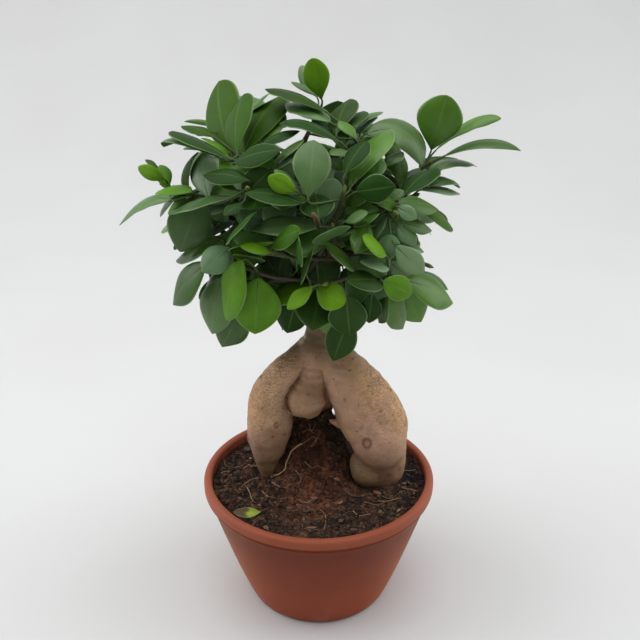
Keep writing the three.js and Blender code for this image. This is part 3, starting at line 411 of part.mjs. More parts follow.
    [[-4.59,51.64,296.15],[-2.89,66.22,292.07],[9.48,78.12,282.63],[21.52,79.66,267.25],[0.028,0.867,0.497],25.07,2.51,1],
    [[4.23,55.05,302.7],[6.79,55.36,305],[14.64,69.48,312.99],[27.86,81.64,311.6],[-0.489,0.178,0.854],23.74,2.37,1],
    [[0.12,53.46,299.55],[2.76,47.15,310.46],[-0.16,66.51,315.82],[-5.41,84.92,309.06],[0.188,0.077,0.979],22.60,2.26,1],
    [[-8.71,50.05,293.35],[-30.02,65.47,295.4],[-26.41,79.02,306.28],[-15.35,92.57,309.32],[-0.689,0.001,0.725],26.20,2.62,1],
    [[-7.53,50.5,294.14],[-8.58,52.24,298.31],[-10.18,61.85,306.68],[-13.06,74.31,307.87],[0.165,-0.364,0.917],15.85,1.59,1],
    [[-6.35,50.96,294.95],[-9,28.18,292.42],[-9.78,27.02,302.96],[-14.04,30.22,312.17],[0.607,-0.76,0.233],15.13,1.51,1],
    [[-3.41,52.1,297.04],[4.08,41.48,292.89],[5.01,37.16,307.04],[4.04,26.27,317.06],[0.239,0.822,0.518],17.96,1.80,1],
  ] },
  { name: 'shoot_under_right', branch: 'branch_right', path: [[20,-2,246],[19.84,4.92,240.85],[19.69,11.84,236.15],[19.53,18.76,231.89]], radius: [1.9,1.65,1.4,1.15], leaves: [
    [[19.53,18.76,231.89],[25.8,19.61,232.15],[44.04,23.26,240.75],[59.9,14.71,250.53],[0.191,0.977,-0.094],26.47,2.64,1],
    [[19.79,7.23,239.23],[23.95,9.21,228.81],[30.08,26.46,226.8],[33.23,39.94,214.65],[0.267,0.336,0.903],25.78,2.58,1],
    [[19.88,3.19,242.14],[21.88,3.55,240.47],[34.44,6.44,239.51],[45.71,4.83,233.39],[0.185,0.646,0.74],15.63,1.56,1],
    [[19.58,16.45,233.31],[15.76,26.77,249.85],[8.66,33.19,264.69],[-5.79,36.98,274.09],[0.773,0.277,0.571],20.98,2.10,1],
    [[19.62,14.72,234.38],[24.1,30.79,247.85],[31.92,45.05,244.61],[36.04,56.78,233.64],[0.414,0.283,0.865],20.72,2.07,1],
  ] },
  { name: 'shoot_middle_front_left_a', branch: 'branch_front_right', path: [[17.06,-38.44,270.5],[-0.89,-49.95,274.33],[-18.84,-61.46,279.32],[-36.79,-72.97,285.48]], radius: [1.57,1.43,1.29,1.15], leaves: [
    [[-21.83,-63.38,280.27],[-26.4,-70.32,286.14],[-20.95,-78.08,294.9],[-9.73,-82.62,299.39],[-0.733,-0.41,0.542],13.97,1.40],
    [[-24.82,-65.3,281.25],[-26.56,-68.99,283.47],[-33.72,-72.88,288.75],[-43.07,-75.5,288.68],[0.37,-0.215,0.904],10.92,1.09],
    [[-33.8,-71.05,284.38],[-41.37,-65.74,286.91],[-40.53,-50.44,286.65],[-38.03,-38.22,277.73],[-0.178,0.331,0.927],24.71,2.47,1],
    [[-18.84,-61.46,279.32],[-11.55,-72.02,279.61],[-13.57,-81.82,286.03],[-9.35,-90.34,293.17],[-0.973,-0.201,-0.114],15.69,1.57,1],
  ] },
  { name: 'shoot_upper_front_left_a', branch: 'branch_upper_left', path: [[-40.81,6.25,300.5],[-40.6,-13.24,304.62],[-40.38,-32.72,309.82],[-40.17,-52.21,316.09]], radius: [1.9,1.65,1.4,1.15], leaves: [
    [[-40.17,-52.21,316.09],[-51.12,-55.17,311.23],[-69.54,-43.37,311.39],[-89.85,-36.76,298.04],[-0.322,0.001,0.947],24.94,2.49],
    [[-40.19,-50.58,315.53],[-42.98,-58.03,308.96],[-47.73,-63.8,308.37],[-52.16,-67.61,303.67],[-0.072,-0.429,0.9],8.10,0.81],
    [[-40.26,-44.09,313.35],[-39.64,-52.98,321],[-53.53,-50.33,325.68],[-66.41,-43.67,322.28],[-0.111,-0.443,0.889],15.63,1.56],
    [[-40.31,-39.22,311.79],[-10.23,-57.29,316.71],[-15.53,-59.24,324.33],[-24.4,-59.72,327.63],[0.617,-0.254,0.745],10.75,1.08],
    [[-40.28,-42.46,312.82],[-26.79,-48.7,327.04],[-19.76,-46.74,337.86],[-8.08,-43.17,342.43],[-0.586,-0.202,0.785],14.22,1.42],
    [[-40.33,-37.59,311.29],[-45.5,-45.27,308.13],[-37.1,-51.57,316.79],[-27.32,-49.72,326.08],[-0.167,-0.983,-0.075],16.98,1.70],
    [[-40.54,-18.11,305.82],[-53.37,-21.09,299.61],[-62.83,-22.99,300.28],[-71.28,-22.68,295.58],[-0.172,-0.375,0.911],10.53,1.05],
    [[-40.35,-35.97,310.79],[-25.87,-46.47,323.87],[-19.65,-46.57,333.4],[-9.21,-45.02,337.67],[-0.607,-0.238,0.758],12.56,1.26],
    [[-40.38,-32.72,309.82],[-65.76,-31.2,305.34],[-71.84,-20.55,321.5],[-72.45,-2.05,329.83],[-0.443,-0.634,0.634],20.31,2.03],
    [[-40.51,-21.35,306.66],[-34.49,-28.82,305.83],[-35.95,-43.41,310.16],[-37.07,-57.81,305.17],[-0.038,-0.019,0.999],25.01,2.51,1],
    [[-40.65,-8.37,303.59],[-43.77,-3.93,296.42],[-56.98,-10.55,300.55],[-71.06,-15.24,296.68],[0.106,-0.233,0.967],17.93,1.79,1],
    [[-40.53,-19.73,306.35],[-45.78,-21.18,305.51],[-53.11,-7.71,315.9],[-57.11,10.25,318.01],[-0.333,-0.45,0.829],22.95,2.29,1],
  ] },
  { name: 'shoot_lower_right_a', branch: 'branch_right', path: [[54,-6,266],[60.23,-4.61,262.22],[66.47,-3.23,258.82],[72.7,-1.84,255.81]], radius: [1.62,1.46,1.3,1.15], leaves: [
    [[58.68,-4.96,263.13],[52.61,-11.78,281.77],[51.5,-20.32,296.99],[47.08,-35.47,304.53],[0.311,0.62,0.721],23.96,2.39,1],
    [[68.55,-2.77,257.77],[63.78,-15.14,259.62],[45.9,-21.93,263.64],[27.8,-24.22,256.63],[0.018,-0.377,0.926],24.28,2.43,1],
    [[72.7,-1.84,255.81],[67.46,15.81,251.09],[60.24,33.62,244.73],[46.09,42.55,233.35],[0.562,0.72,0.408],26.38,2.63,1],
    [[60.23,-4.61,262.22],[52.97,-16.28,246.44],[45,-28.45,247.33],[32.29,-35.22,245.04],[0.602,-0.688,0.405],17.81,1.78,1],
    [[62.31,-4.15,261.09],[62.59,-2.75,253.07],[75.16,-8.74,251.2],[85.13,-13.2,242.37],[0.342,-0.202,0.918],19.87,1.99,1],
    [[64.91,-3.58,259.67],[63.45,-1.17,276.64],[56.21,10.29,279.27],[46.88,19.58,275.1],[0.282,0.293,0.914],17.03,1.70,1],
  ] },
  { name: 'shoot_upper_left_b', branch: 'branch_back_left', path: [[-49.38,31.5,272.88],[-64.6,21.34,285.54],[-80.6,10.13,297.37],[-97.38,-2.15,308.36]], radius: [1.9,1.65,1.4,1.15], leaves: [
    [[-95.95,-1.08,307.48],[-96.32,-8.28,313.41],[-102.24,-12.21,319.62],[-111.3,-12.99,322.19],[0.544,-0.548,0.635],11.41,1.14],
    [[-93.11,1.02,305.69],[-94.52,-7.23,306.94],[-97.78,-4.4,315.79],[-101.28,3.19,321],[0.041,-0.793,0.607],10.23,1.02],
    [[-94.53,-0.03,306.59],[-101.78,4.25,317.67],[-104.85,2.61,322.32],[-110.21,1.67,324.36],[0.646,-0.198,0.738],7.10,0.35],
    [[-67.21,19.55,287.57],[-77.85,28.48,283.5],[-89.06,38.57,279.96],[-94.51,48.01,268.96],[-0.609,0.069,0.79],23.27,2.32,1],
    [[-77.88,12.07,295.45],[-82.73,6.58,290.47],[-93.39,4.15,286.37],[-99.53,1.61,276.78],[-0.634,0.015,0.773],17.57,1.76,1],
    [[-88.99,3.99,302.86],[-96.8,18.07,305.16],[-98.54,32.42,302.36],[-98.75,43.38,292.54],[-0.193,0.426,0.884],18.58,1.86,1],
    [[-65.93,20.41,286.53],[-63.69,26.26,295.78],[-51.08,19.43,300.17],[-37.44,14.24,296.72],[-0.128,-0.204,0.971],18.18,1.82,1],
  ] },
  { name: 'shoot_upper_front_centre_a', branch: 'branch_front', path: [[-9,-28,256],[1.19,-37.67,274.15],[9.01,-48.06,294.14],[14.45,-59.15,315.95]], radius: [1.9,1.65,1.4,1.15], leaves: [
    [[14.08,-58.19,314.07],[14.34,-57.63,324],[19.42,-52.35,335.84],[27.67,-42.52,341.25],[-0.373,-0.536,0.758],14.33,1.43],
    [[13.31,-56.31,310.33],[-5.63,-65.74,312.75],[-3.74,-62.63,330.22],[-2.36,-49.9,342.65],[0.046,-0.885,0.464],20.62,2.06],
    [[-1.13,-35.19,269.44],[-2.14,-34.58,251.43],[-17.64,-39.42,252.25],[-31.95,-39.38,244.52],[-0.121,-0.491,0.863],17.70,1.77],
    [[13.71,-57.25,312.19],[18.04,-51.67,315.69],[25.51,-36.84,336.98],[41.77,-16.96,345.31],[-0.535,-0.306,0.787],27.35,2.74],
    [[12.9,-55.37,308.48],[21.16,-57.98,315.16],[32.42,-61.05,317.45],[43.56,-57.01,318.34],[0.015,-0.981,0.193],15.69,1.57],
    [[6.67,-44.52,287.27],[3.33,-47.53,293.28],[5.97,-51.46,307.38],[9.01,-46.35,321.01],[-0.043,-0.998,0.051],17.19,1.72],
    [[7.87,-46.28,290.68],[16.01,-41.26,324.76],[11.94,-46.18,328.22],[6.08,-47.12,332.4],[0.405,-0.899,-0.163],7.36,0.37],
    [[9.46,-48.98,295.96],[25.7,-45.97,297.57],[25.62,-57.12,301.63],[28.52,-68.51,300.03],[-0.465,0.038,0.884],14.85,1.49,1],
    [[9.01,-48.06,294.14],[15.69,-40.29,302.84],[20.73,-46.15,312.65],[30.97,-49.7,318.85],[-0.772,-0.342,0.536],16.52,1.65,1],
  ] },
  { name: 'shoot_middle_right_b', branch: 'branch_top', path: [[3,6,272],[11.57,0.11,275.49],[20.14,-5.78,279.57],[28.71,-11.67,284.24]], radius: [1.9,1.65,1.4,1.15], leaves: [
    [[9.43,1.58,274.56],[2.27,-13.1,269.4],[3.48,-27.99,262.72],[5.35,-36.18,248.68],[-0.067,-0.671,0.738],19.95,2.00],
    [[18,-4.3,278.49],[20.37,-16.38,259.95],[22.47,-26.06,247.11],[18.87,-28.19,231.44],[0.576,-0.765,0.287],24.40,2.44,1],
    [[27.99,-11.17,283.83],[39.11,-13.59,285.39],[46.22,-26.59,283.68],[51.84,-36.13,273.71],[0.163,-0.38,0.911],20.72,2.07,1],
    [[22.28,-7.25,280.74],[19.11,-16.45,274.14],[26.07,-27.55,268.41],[30.72,-34.34,256.72],[0.3,-0.559,0.773],17.74,1.77,1],
    [[10.86,0.6,275.2],[-4.17,-2.01,281.88],[-7.41,7.26,288.86],[-10.12,18.95,289.84],[-0.081,-0.374,0.924],14.25,1.42,1],
    [[23.71,-8.23,281.52],[20.43,-16.81,276.33],[25.76,-22.97,288.92],[35.73,-31.98,295.54],[-0.575,0.354,0.738],17.92,1.79,1],
    [[25.14,-9.22,282.29],[26.06,-6.56,280.53],[30.5,-9.77,265.7],[26.47,-12.12,250.6],[0.994,-0.101,0.032],18.22,1.82,1],
    [[12.28,-0.38,275.83],[7.56,-12.04,266.81],[13.28,-18.75,274.87],[17.52,-19.97,285.97],[0.229,-0.851,-0.472],14.87,1.49,1],
  ], cutBranches: ['branch_front_right'] },
];
// where two shoots would touch, the first gives way to the named stem (0) or leaves (1, 2 ...) of the second
const GIVE_WAY = [
  ['shoot_upper_back_left', 'shoot_top_left_b', [0]],
  ['shoot_middle_right_a', 'shoot_upper_front_right', [4]],
  ['shoot_lower_back_left', 'shoot_middle_back_left_b', [3]],
  ['shoot_top_front_right', 'shoot_top_centre_a', [0]],
  ['shoot_top_back_left', 'shoot_middle_left', [0]],
  ['shoot_middle_back_right', 'shoot_middle_right_c', [4]],
  ['shoot_top_front_right', 'shoot_upper_front_centre_a', [4]],
  ['shoot_upper_front_centre_c', 'shoot_upper_front_centre_a', [0]],
  ['shoot_upper_front_centre_a', 'shoot_lower_front_centre', [0]],
];
const BRANCHES = {
  branch_left: { path: [[-2,2,236],[-9.75,-1,241.88],[-18,-4,248],[-27.88,-7.38,254.88],[-38,-10,262],[-47.12,-10.38,269],[-56,-10,276]], radius: [4.6,4.1,3.6,3.2,2.8,2.4,2] },
  branch_upper_left: { path: [[-1,4,242],[-8.31,6.25,255.12],[-16,8,268],[-25.12,8.5,280.62],[-34,8,292],[-40.81,6.25,300.5],[-47,4,308]], radius: [4.6,4.2,3.8,3.4,3,2.6,2.2] },
  branch_top: { path: [[1,4,244],[1.94,5.12,258],[3,6,272],[4.62,6.12,286],[6,6,300],[6.19,6,314],[6,6,328]], radius: [4.8,4.35,3.9,3.45,3,2.6,2.2] },
  branch_upper_right: { path: [[2,4,242],[9.75,5.25,253],[18,6,264],[27.88,5.38,275.25],[38,4,286],[47.12,2.12,295.25],[56,0,304]], radius: [4.6,4.2,3.8,3.4,3,2.6,2.2] },
  branch_front_right: { path: [[2,0,238],[3.31,-9.12,250.62],[5,-18,262],[7.38,-26.69,271.31],[11,-34,276],[17.06,-38.44,270.5],[24,-41,263],[30.5,-41.88,261.31],[37,-42,261]], radius: [4,3.5,3,2.5,2,1.85,1.7,1.6,1.5] },
  branch_front: { path: [[-1,0,234],[-3.62,-7,240.12],[-6,-14,246],[-7.62,-21.12,251.62],[-9,-28,256],[-10.5,-34.12,257.5],[-12,-40,258]], radius: [4,3.5,3,2.7,2.4,2.1,1.8] },
  branch_right: { path: [[2,3,236],[11,0.44,241],[20,-2,246],[29.12,-4.31,251],[38,-6,256],[46.12,-6.25,261],[54,-6,266]], radius: [4.2,3.8,3.4,3,2.6,2.25,1.9] },
  branch_back: { path: [[0,5,238],[-3,13.56,245.88],[-6,22,254],[-9.25,30.44,262.88],[-12,38,272],[-13.25,43.38,281],[-14,48,290]], radius: [4.4,4,3.6,3.2,2.8,2.4,2] },
  branch_back_right: { path: [[1,5,240],[8.56,13.69,249],[16,22,258],[23.44,29.69,267],[30,36,276],[34.38,39.5,285],[38,42,294]], radius: [4.2,3.8,3.4,3,2.6,2.25,1.9] },
  branch_back_left: { path: [[-2,5,240],[-12,12.81,247.12],[-22,20,254],[-32.38,25.81,260],[-42,30,266],[-49.38,31.5,272.88],[-56,32,280]], radius: [4.2,3.8,3.4,3,2.6,2.25,1.9] },
};
const TRUNK = { path: [[3,2,205],[1.5,3,222],[0,4,238],[1,4,249]], radius: [12.2,11.2,9.5,7.5] };
// x, y, z, radius, depth ratio of each station
const LOBES = {
  neck: [[3.04,3,229.67,10.28,1],[3.75,3,217.95,11.76,1],[4.12,3,207.52,12.96,1],[3.08,2,198.88,15.05,0.95],[1.69,1,191.69,18.26,0.82],[0.28,2,184.31,20.51,0.58],[-0.8,3,177.62,19.23,0.5],[-2.59,3,171.32,12.16,0.5]],
  left: [[-3.23,3,197.7,9.12,1],[-14.47,0,188.68,9.27,1],[-23.84,-3,179.64,11.18,1],[-31.84,-4,168.81,11.67,1],[-34.98,-4,162.11,12.65,1],[-36.52,-4,154.94,13.57,1],[-36.52,-3.5,148.23,14.66,0.95],[-35.94,-3,141.45,16.04,0.88],[-36.52,-2,130.17,15.47,0.85],[-37.27,-1,121.2,13.68,0.88],[-37.6,-1,114.42,12.12,0.92],[-38.14,0,107.82,9.37,1],[-37.85,0,101.77,7.62,1],[-37.49,0,93.04,5.56,1],[-38.34,0,83.32,4.08,1],[-38.73,0,68.94,3.05,1]],
  left_rear: [[-11.22,8,179.24,8.62,1],[-21.58,9,162.82,8.73,1],[-28.42,9,148.13,9.56,1],[-31.22,8,135.37,10,1],[-32.21,8,124.4,9.4,1],[-33.57,8,114.13,7.89,1],[-34.63,9,103.96,6.06,1],[-35.01,10,90.95,4.59,1]],
  centre: [[-2.91,2,183.54,9.2,1],[-4.09,-2,178.39,9.59,1],[-5.08,-4,172.34,9.74,1],[-7.07,-6,165.88,11.58,1],[-8.22,-7,159.29,13.46,1],[-7.55,-7,153.32,12.94,1],[-6.3,-7,148.51,9.28,1],[-6.17,-7,144.88,4.29,1]],
  right: [[3.79,2,196.6,10.52,1],[10.82,0,188.29,13.35,1],[17.91,-2,178.39,16.57,0.95],[25.06,-4,167.24,20.39,0.9],[31.92,-5,155.46,22.95,0.88],[37.88,-6,143.11,23.83,0.86],[41.71,-8,134.45,22.59,0.88],[43.45,-10,128.62,20.59,0.93],[44.68,-9.5,122.94,18.52,0.92],[46.32,-5,114.75,17.17,0.88],[47.36,-4,107.75,16.54,0.9],[47.58,-4,100.87,15.43,0.9],[47.64,-4,94.36,13.86,0.9],[47.87,-4,87.35,9.74,0.9],[47.72,-5,75.18,6.78,1],[48.15,-5,61.65,3.8,1]],
  right_foot: [[27.38,-6,112.83,4.4,1],[29.93,-8,108.57,8.5,1],[33.65,-9,103.24,11.6,1],[38.58,-9,97.22,10.91,1],[43.3,-8,89.61,7.42,1],[45.15,-7,80.14,3.74,1]],
  toe: [[38.49,-9,100.67,5.88,1],[42.93,-10,97.02,8.1,1],[47.49,-10,92.7,7.75,1],[50.11,-9,83.29,4.47,1]],
  knob: [[15.43,-5,136.84,3.03,1],[11.8,-5,138.89,2.45,1],[8.9,-5.5,140.39,1.87,1],[7.45,-6,141.16,1.01,1]],
  right_rear: [[8.19,12,185.32,10.08,1],[15.79,20,167.27,11.1,1],[22.97,26,147.73,12.51,1],[29.6,30,128.47,13.53,1],[35.59,32,107.88,12.98,1],[40.01,33,90.92,10.35,1],[42.79,33,76.08,7.24,1]],
  back: [[-0.46,14,186.02,10.12,1],[0.98,22,171.22,10,1],[2.5,29,154.67,10.62,1],[2.53,33,139.03,10.81,1],[-0.97,35,126.64,10.15,1],[-2.97,38,113.43,9.5,1],[-3.86,41,91.58,7.26,1],[-4.72,42,77.85,4.08,1]],
};const FALLEN_LEAF = [[-36.2,-46.2,91.9],[-39.7,-46.8,91.9],[-50.3,-48.6,93.4],[-58.9,-47.5,92.4],[0.05,-0.12,0.99],12.5,0.8];

// ---------------------------------------------------------------- helpers
const V = (a) => new THREE.Vector3(a[0], a[1], a[2]);

// closed triangle mesh from corner points and faces, turned to face outward
function closedGeometry(points, faces) {
  let volume = 0;
  for (const [a, b, c] of faces) {
    const p = points[a], q = points[b], r = points[c];
    volume += p.x * (q.y * r.z - q.z * r.y) + p.y * (q.z * r.x - q.x * r.z) + p.z * (q.x * r.y - q.y * r.x);
  }
  const index = [];
  for (const [a, b, c] of faces) volume < 0 ? index.push(a, c, b) : index.push(a, b, c);
  const position = new Float32Array(points.length * 3);
  points.forEach((p, i) => p.toArray(position, i * 3));
  const g = new THREE.BufferGeometry();
  g.setAttribute('position', new THREE.BufferAttribute(position, 3));
  g.setIndex(index);
  return g;
}

function solid(geometry) {
  let g = geometry.clone();
  g.deleteAttribute('normal');
  g.deleteAttribute('uv');
  g = mergeVertices(g, 1e-4);
  return new wasm.Manifold(
    new wasm.Mesh({
      numProp: 3,
      vertProperties: Float32Array.from(g.attributes.position.array),
      triVerts: Uint32Array.from(g.index.array),
    }),
  );
}

function geometryOf(manifold) {
  const mesh = manifold.getMesh();
  const g = new THREE.BufferGeometry();
  g.setAttribute('position', new THREE.BufferAttribute(Float32Array.from(mesh.vertProperties), 3));
  g.setIndex(new THREE.BufferAttribute(Uint32Array.from(mesh.triVerts), 1));
  g.computeVertexNormals();
  return g;
}

// the biggest connected body, where a cut leaves a sliver behind
function mainBody(manifold) {
  const parts = manifold.decompose();
  if (parts.length < 2) return manifold;
  return parts.reduce((a, b) => (a.volume() >= b.volume() ? a : b));
}

// closed tube of changing radius along a row of points
function tube(path, radius, sides, extra = 0) {
  const p = path.map(V), n = p.length;
  const ref = new THREE.Vector3(0.31, 0.52, 0.79);
  const points = [], faces = [];
  for (let i = 0; i < n; i++) {
    const d = new THREE.Vector3();
    if (i === 0) d.subVectors(p[1], p[0]);
    else if (i === n - 1) d.subVectors(p[n - 1], p[n - 2]);
    else d.subVectors(p[i + 1], p[i - 1]);
    d.normalize();
    const a = new THREE.Vector3().crossVectors(d, ref).normalize();
    const b = new THREE.Vector3().crossVectors(d, a);
    for (let k = 0; k < sides; k++) {
      const t = (2 * Math.PI * k) / sides, r = radius[i] + extra;
      points.push(p[i].clone().addScaledVector(a, r * Math.cos(t)).addScaledVector(b, r * Math.sin(t)));
    }
  }
  for (let i = 0; i < n - 1; i++) {
    for (let k = 0; k < sides; k++) {
      const k2 = (k + 1) % sides, o = i * sides;
      faces.push([o + k, o + k2, o + sides + k], [o + k2, o + sides + k2, o + sides + k]);
    }
  }
  const c0 = points.length;
  points.push(p[0].clone(), p[n - 1].clone());
  for (let k = 0; k < sides; k++) {
    const k2 = (k + 1) % sides;
    faces.push([c0, k2, k], [c0 + 1, (n - 1) * sides + k, (n - 1) * sides + k2]);
  }
  return closedGeometry(points, faces);
}

// swollen root: rings that may be flatter in depth (Y) than they are wide
function lobe(stations, sides, extra = 0) {
  const n = stations.length, points = [], faces = [];
  const c = stations.map(V);
  const tangents = c.map((q, i) => {
    const d = new THREE.Vector3();
    if (i === 0) d.subVectors(c[1], c[0]);
    else if (i === n - 1) d.subVectors(c[n - 1], c[n - 2]);
    else d.subVectors(c[i + 1], c[i - 1]);
    return d.normalize();
  });
  for (let i = 0; i < n; i++) {
    const d = tangents[i];
    const side = new THREE.Vector3().crossVectors(d, new THREE.Vector3(0, 1, 0)).normalize();
    const deep = new THREE.Vector3().crossVectors(side, d);
    for (let k = 0; k < sides; k++) {
      const t = (2 * Math.PI * k) / sides, r = stations[i][3] + extra;
      points.push(
        c[i].clone().addScaledVector(side, r * Math.cos(t)).addScaledVector(deep, (stations[i][3] * stations[i][4] + extra) * Math.sin(t)),
      );
    }
  }
  for (let i = 0; i < n - 1; i++) {
    for (let k = 0; k < sides; k++) {
      const k2 = (k + 1) % sides, o = i * sides;
      faces.push([o + k, o + k2, o + sides + k], [o + k2, o + sides + k2, o + sides + k]);
    }
  }
  const c0 = points.length;
  points.push(
    c[0].clone().addScaledVector(tangents[0], -(stations[0][3] * 0.45 + extra)),
    c[n - 1].clone().addScaledVector(tangents[n - 1], stations[n - 1][3] * 0.45 + extra),
  );
  for (let k = 0; k < sides; k++) {
    const k2 = (k + 1) % sides;
    faces.push([c0, k2, k], [c0 + 1, (n - 1) * sides + k, (n - 1) * sides + k2]);
  }
  return closedGeometry(points, faces);
}

// leaf with its stalk: three-cornered rings (left edge, right edge, ridge) from the stem to the tip
function leaf([J, B, K, T, N, width, camber, plain]) {
  const shape = plain ? PLAIN_LEAF : FULL_LEAF;

  const j = V(J), b = V(B), k = V(K), t = V(T), up = V(N);
  const curve = new THREE.QuadraticBezierCurve3(b, k, t);
  const points = [], faces = [];
  const frameAt = (d) => {
    const s = new THREE.Vector3().crossVectors(d, up).normalize();
    return [s, new THREE.Vector3().crossVectors(s, d)];
  };
  const slope = (x) =>
    new THREE.Vector3().subVectors(k, b).multiplyScalar(2 * (1 - x)).addScaledVector(new THREE.Vector3().subVectors(t, k), 2 * x).normalize();
  const ring = (l, r, top) => points.push(l, r, top);
  const at = (p, s, a, u, h) => p.clone().addScaledVector(s, a).addScaledVector(u, h);
  const pr = PETIOLE_RADIUS, low = -0.4 * PETIOLE_RADIUS;
  {
    const [s, u] = frameAt(new THREE.Vector3().subVectors(b, j).normalize());
    ring(at(j, s, -pr, u, low), at(j, s, pr, u, low), at(j, s, 0, u, pr));
  }
  {
    // the stalk bends into the blade here, half-way between the two directions
    const [s, u] = frameAt(new THREE.Vector3().subVectors(b, j).normalize().add(slope(0)).normalize());
    ring(at(b, s, -pr, u, low), at(b, s, pr, u, low), at(b, s, 0, u, pr));
  }
  shape.at.forEach((x, i) => {
    const p = curve.getPoint(x), [s, u] = frameAt(slope(x));
    const h = (width / 2) * shape.spread[i];
    const drop = -camber * shape.spread[i] - (camber < 0.6 ? 0.45 : 0.25);
    ring(at(p, s, -h, u, drop), at(p, s, h, u, drop), at(p, s, 0, u, 0.45));
  });
  points.push(t.clone());
  const n = 2 + shape.at.length;
  for (let i = 0; i < n - 1; i++) {
    for (let q = 0; q < 3; q++) {
      const q2 = (q + 1) % 3, o = 3 * i;
      faces.push([o + q, o + q2, o + 3 + q], [o + q2, o + 3 + q2, o + 3 + q]);
    }
  }
  faces.push([0, 2, 1]);
  for (let q = 0; q < 3; q++) faces.push([3 * (n - 1) + q, 3 * (n - 1) + ((q + 1) % 3), 3 * n]);
  return closedGeometry(points, faces);
}

// the room a leaf and its stalk need around them: five-cornered rings, clear of the leaf by the given gap
function leafRoom([J, B, K, T, N, width, camber, plain], gap) {
  const shape = plain ? PLAIN_LEAF : FULL_LEAF;
  const j = V(J), b = V(B), k = V(K), t = V(T), up = V(N);
  const curve = new THREE.QuadraticBezierCurve3(b, k, t);
  const points = [], faces = [];
  const slope = (x) =>
    new THREE.Vector3().subVectors(k, b).multiplyScalar(2 * (1 - x)).addScaledVector(new THREE.Vector3().subVectors(t, k), 2 * x).normalize();
  const ring = (p, d, h, drop, top) => {
    const s = new THREE.Vector3().crossVectors(d, up).normalize();
    const u = new THREE.Vector3().crossVectors(s, d);
    const at = (x, y) => points.push(p.clone().addScaledVector(s, x).addScaledVector(u, y));
    at(-h - gap, drop - gap);
    at(h + gap, drop - gap);
    at(h + gap, drop + gap);
    at(0, top + gap);
    at(-h - gap, drop + gap);
  };
  const stalk = new THREE.Vector3().subVectors(b, j).normalize();
  ring(j, stalk, PETIOLE_RADIUS, -0.4 * PETIOLE_RADIUS, PETIOLE_RADIUS);
  ring(b, stalk.clone().add(slope(0)).normalize(), PETIOLE_RADIUS, -0.4 * PETIOLE_RADIUS, PETIOLE_RADIUS);
  shape.at.forEach((x, i) => {
    ring(curve.getPoint(x), slope(x), (width / 2) * shape.spread[i], -camber * shape.spread[i] - (camber < 0.6 ? 0.45 : 0.25), 0.45);
  });
  ring(t.clone().addScaledVector(slope(1), gap), slope(1), 0, 0, 0);
  const n = points.length / 5;
  for (let i = 0; i < n - 1; i++) {
    for (let q = 0; q < 5; q++) {
      const q2 = (q + 1) % 5, o = 5 * i;
      faces.push([o + q, o + q2, o + 5 + q], [o + q2, o + 5 + q2, o + 5 + q]);
    }
  }
  const e = 5 * (n - 1);
  faces.push([0, 4, 3], [0, 3, 2], [0, 2, 1], [e, e + 1, e + 2], [e, e + 2, e + 3], [e, e + 3, e + 4]);
  return closedGeometry(points, faces);
}

// ---------------------------------------------------------------- materials
const paint = (color, roughness) => new THREE.MeshStandardMaterial({ color, roughness, metalness: 0 });
const TERRACOTTA = () => paint(0x9a5238, 0.55);
const PEAT = () => paint(0x3b2a20, 0.95);
const BARK = () => paint(0x8a6f55, 0.85);
const TWIG_BARK = () => paint(0x6e4a30, 0.8);
const LEAF_GREEN = () => paint(0x2f5a22, 0.35);
const DRY_LEAF = () => paint(0x7a7a32, 0.6);

const group = new THREE.Group();
group.name = 'ficus_ginseng_bonsai';
function add(name, geometry, material) {
  const mesh = new THREE.Mesh(geometry, material);
  mesh.name = name;
  group.add(mesh);
  return mesh;
}

// ---------------------------------------------------------------- bowl
const wallRadius = (z) => BASE_RADIUS + (SHOULDER_RADIUS - BASE_RADIUS) * Math.pow(Math.max(z, 0) / SHOULDER_Z, WALL_POWER);
const innerRadius = (z) => wallRadius(z) - WALL;
{
  const outline = [
    [0, 0],
    [DISC_RADIUS, 0],
    [DISC_RADIUS + 1.5, RECESS_DEPTH],
    [RECESS_OUTER, RECESS_DEPTH],
    [RECESS_OUTER + 1.5, 0],
    [BASE_RADIUS - 2.4, 0],
    [BASE_RADIUS - 0.2, 1.1],
    [wallRadius(4), 4],
    [wallRadius(16), 16],
    [wallRadius(54), 54],
    [wallRadius(88), 88],
    [RIM_RADIUS - 0.7, 88.8],
    [RIM_RADIUS, 91],
    [RIM_RADIUS, 94.2],
    [RIM_RADIUS - 1.2, 96.3],
    [RIM_RADIUS - 3, POT_HEIGHT],
    [LIP_INNER + 1.4, POT_HEIGHT - 0.4],
    [LIP_INNER, POT_HEIGHT - 2],
    [LIP_INNER, 84.5],
    [innerRadius(72), 72],
    [innerRadius(28), 28],
    [innerRadius(12), 12],
    [innerRadius(12) - 4.5, FLOOR_Z],
    [0, FLOOR_Z],
  ];
  let bowl = solid(new THREE.LatheGeometry(outline.map(([r, z]) => new THREE.Vector2(r, z)), POT_SEGMENTS).rotateX(Math.PI / 2));
  for (let i = 0; i < DRAIN_COUNT; i++) {
    const a = ((i + 0.5) / DRAIN_COUNT) * 2 * Math.PI;
    const hole = new THREE.CylinderGeometry(DRAIN_RADIUS, DRAIN_RADIUS, 20, 10).rotateX(Math.PI / 2);
    hole.translate(DRAIN_CIRCLE * Math.cos(a), DRAIN_CIRCLE * Math.sin(a), FLOOR_Z);
    bowl = bowl.subtract(solid(hole));
  }
  add('pot', geometryOf(bowl), TERRACOTTA());
}

// ---------------------------------------------------------------- swollen roots, neck and trunk: one grown piece
function caudex(extra = 0) {
  let body = solid(tube(TRUNK.path, TRUNK.radius, ROOT_SIDES, extra));
  for (const stations of Object.values(LOBES)) body = body.add(solid(lobe(stations, ROOT_SIDES, extra)));
  return body;
}
add('caudex', geometryOf(caudex()), BARK());

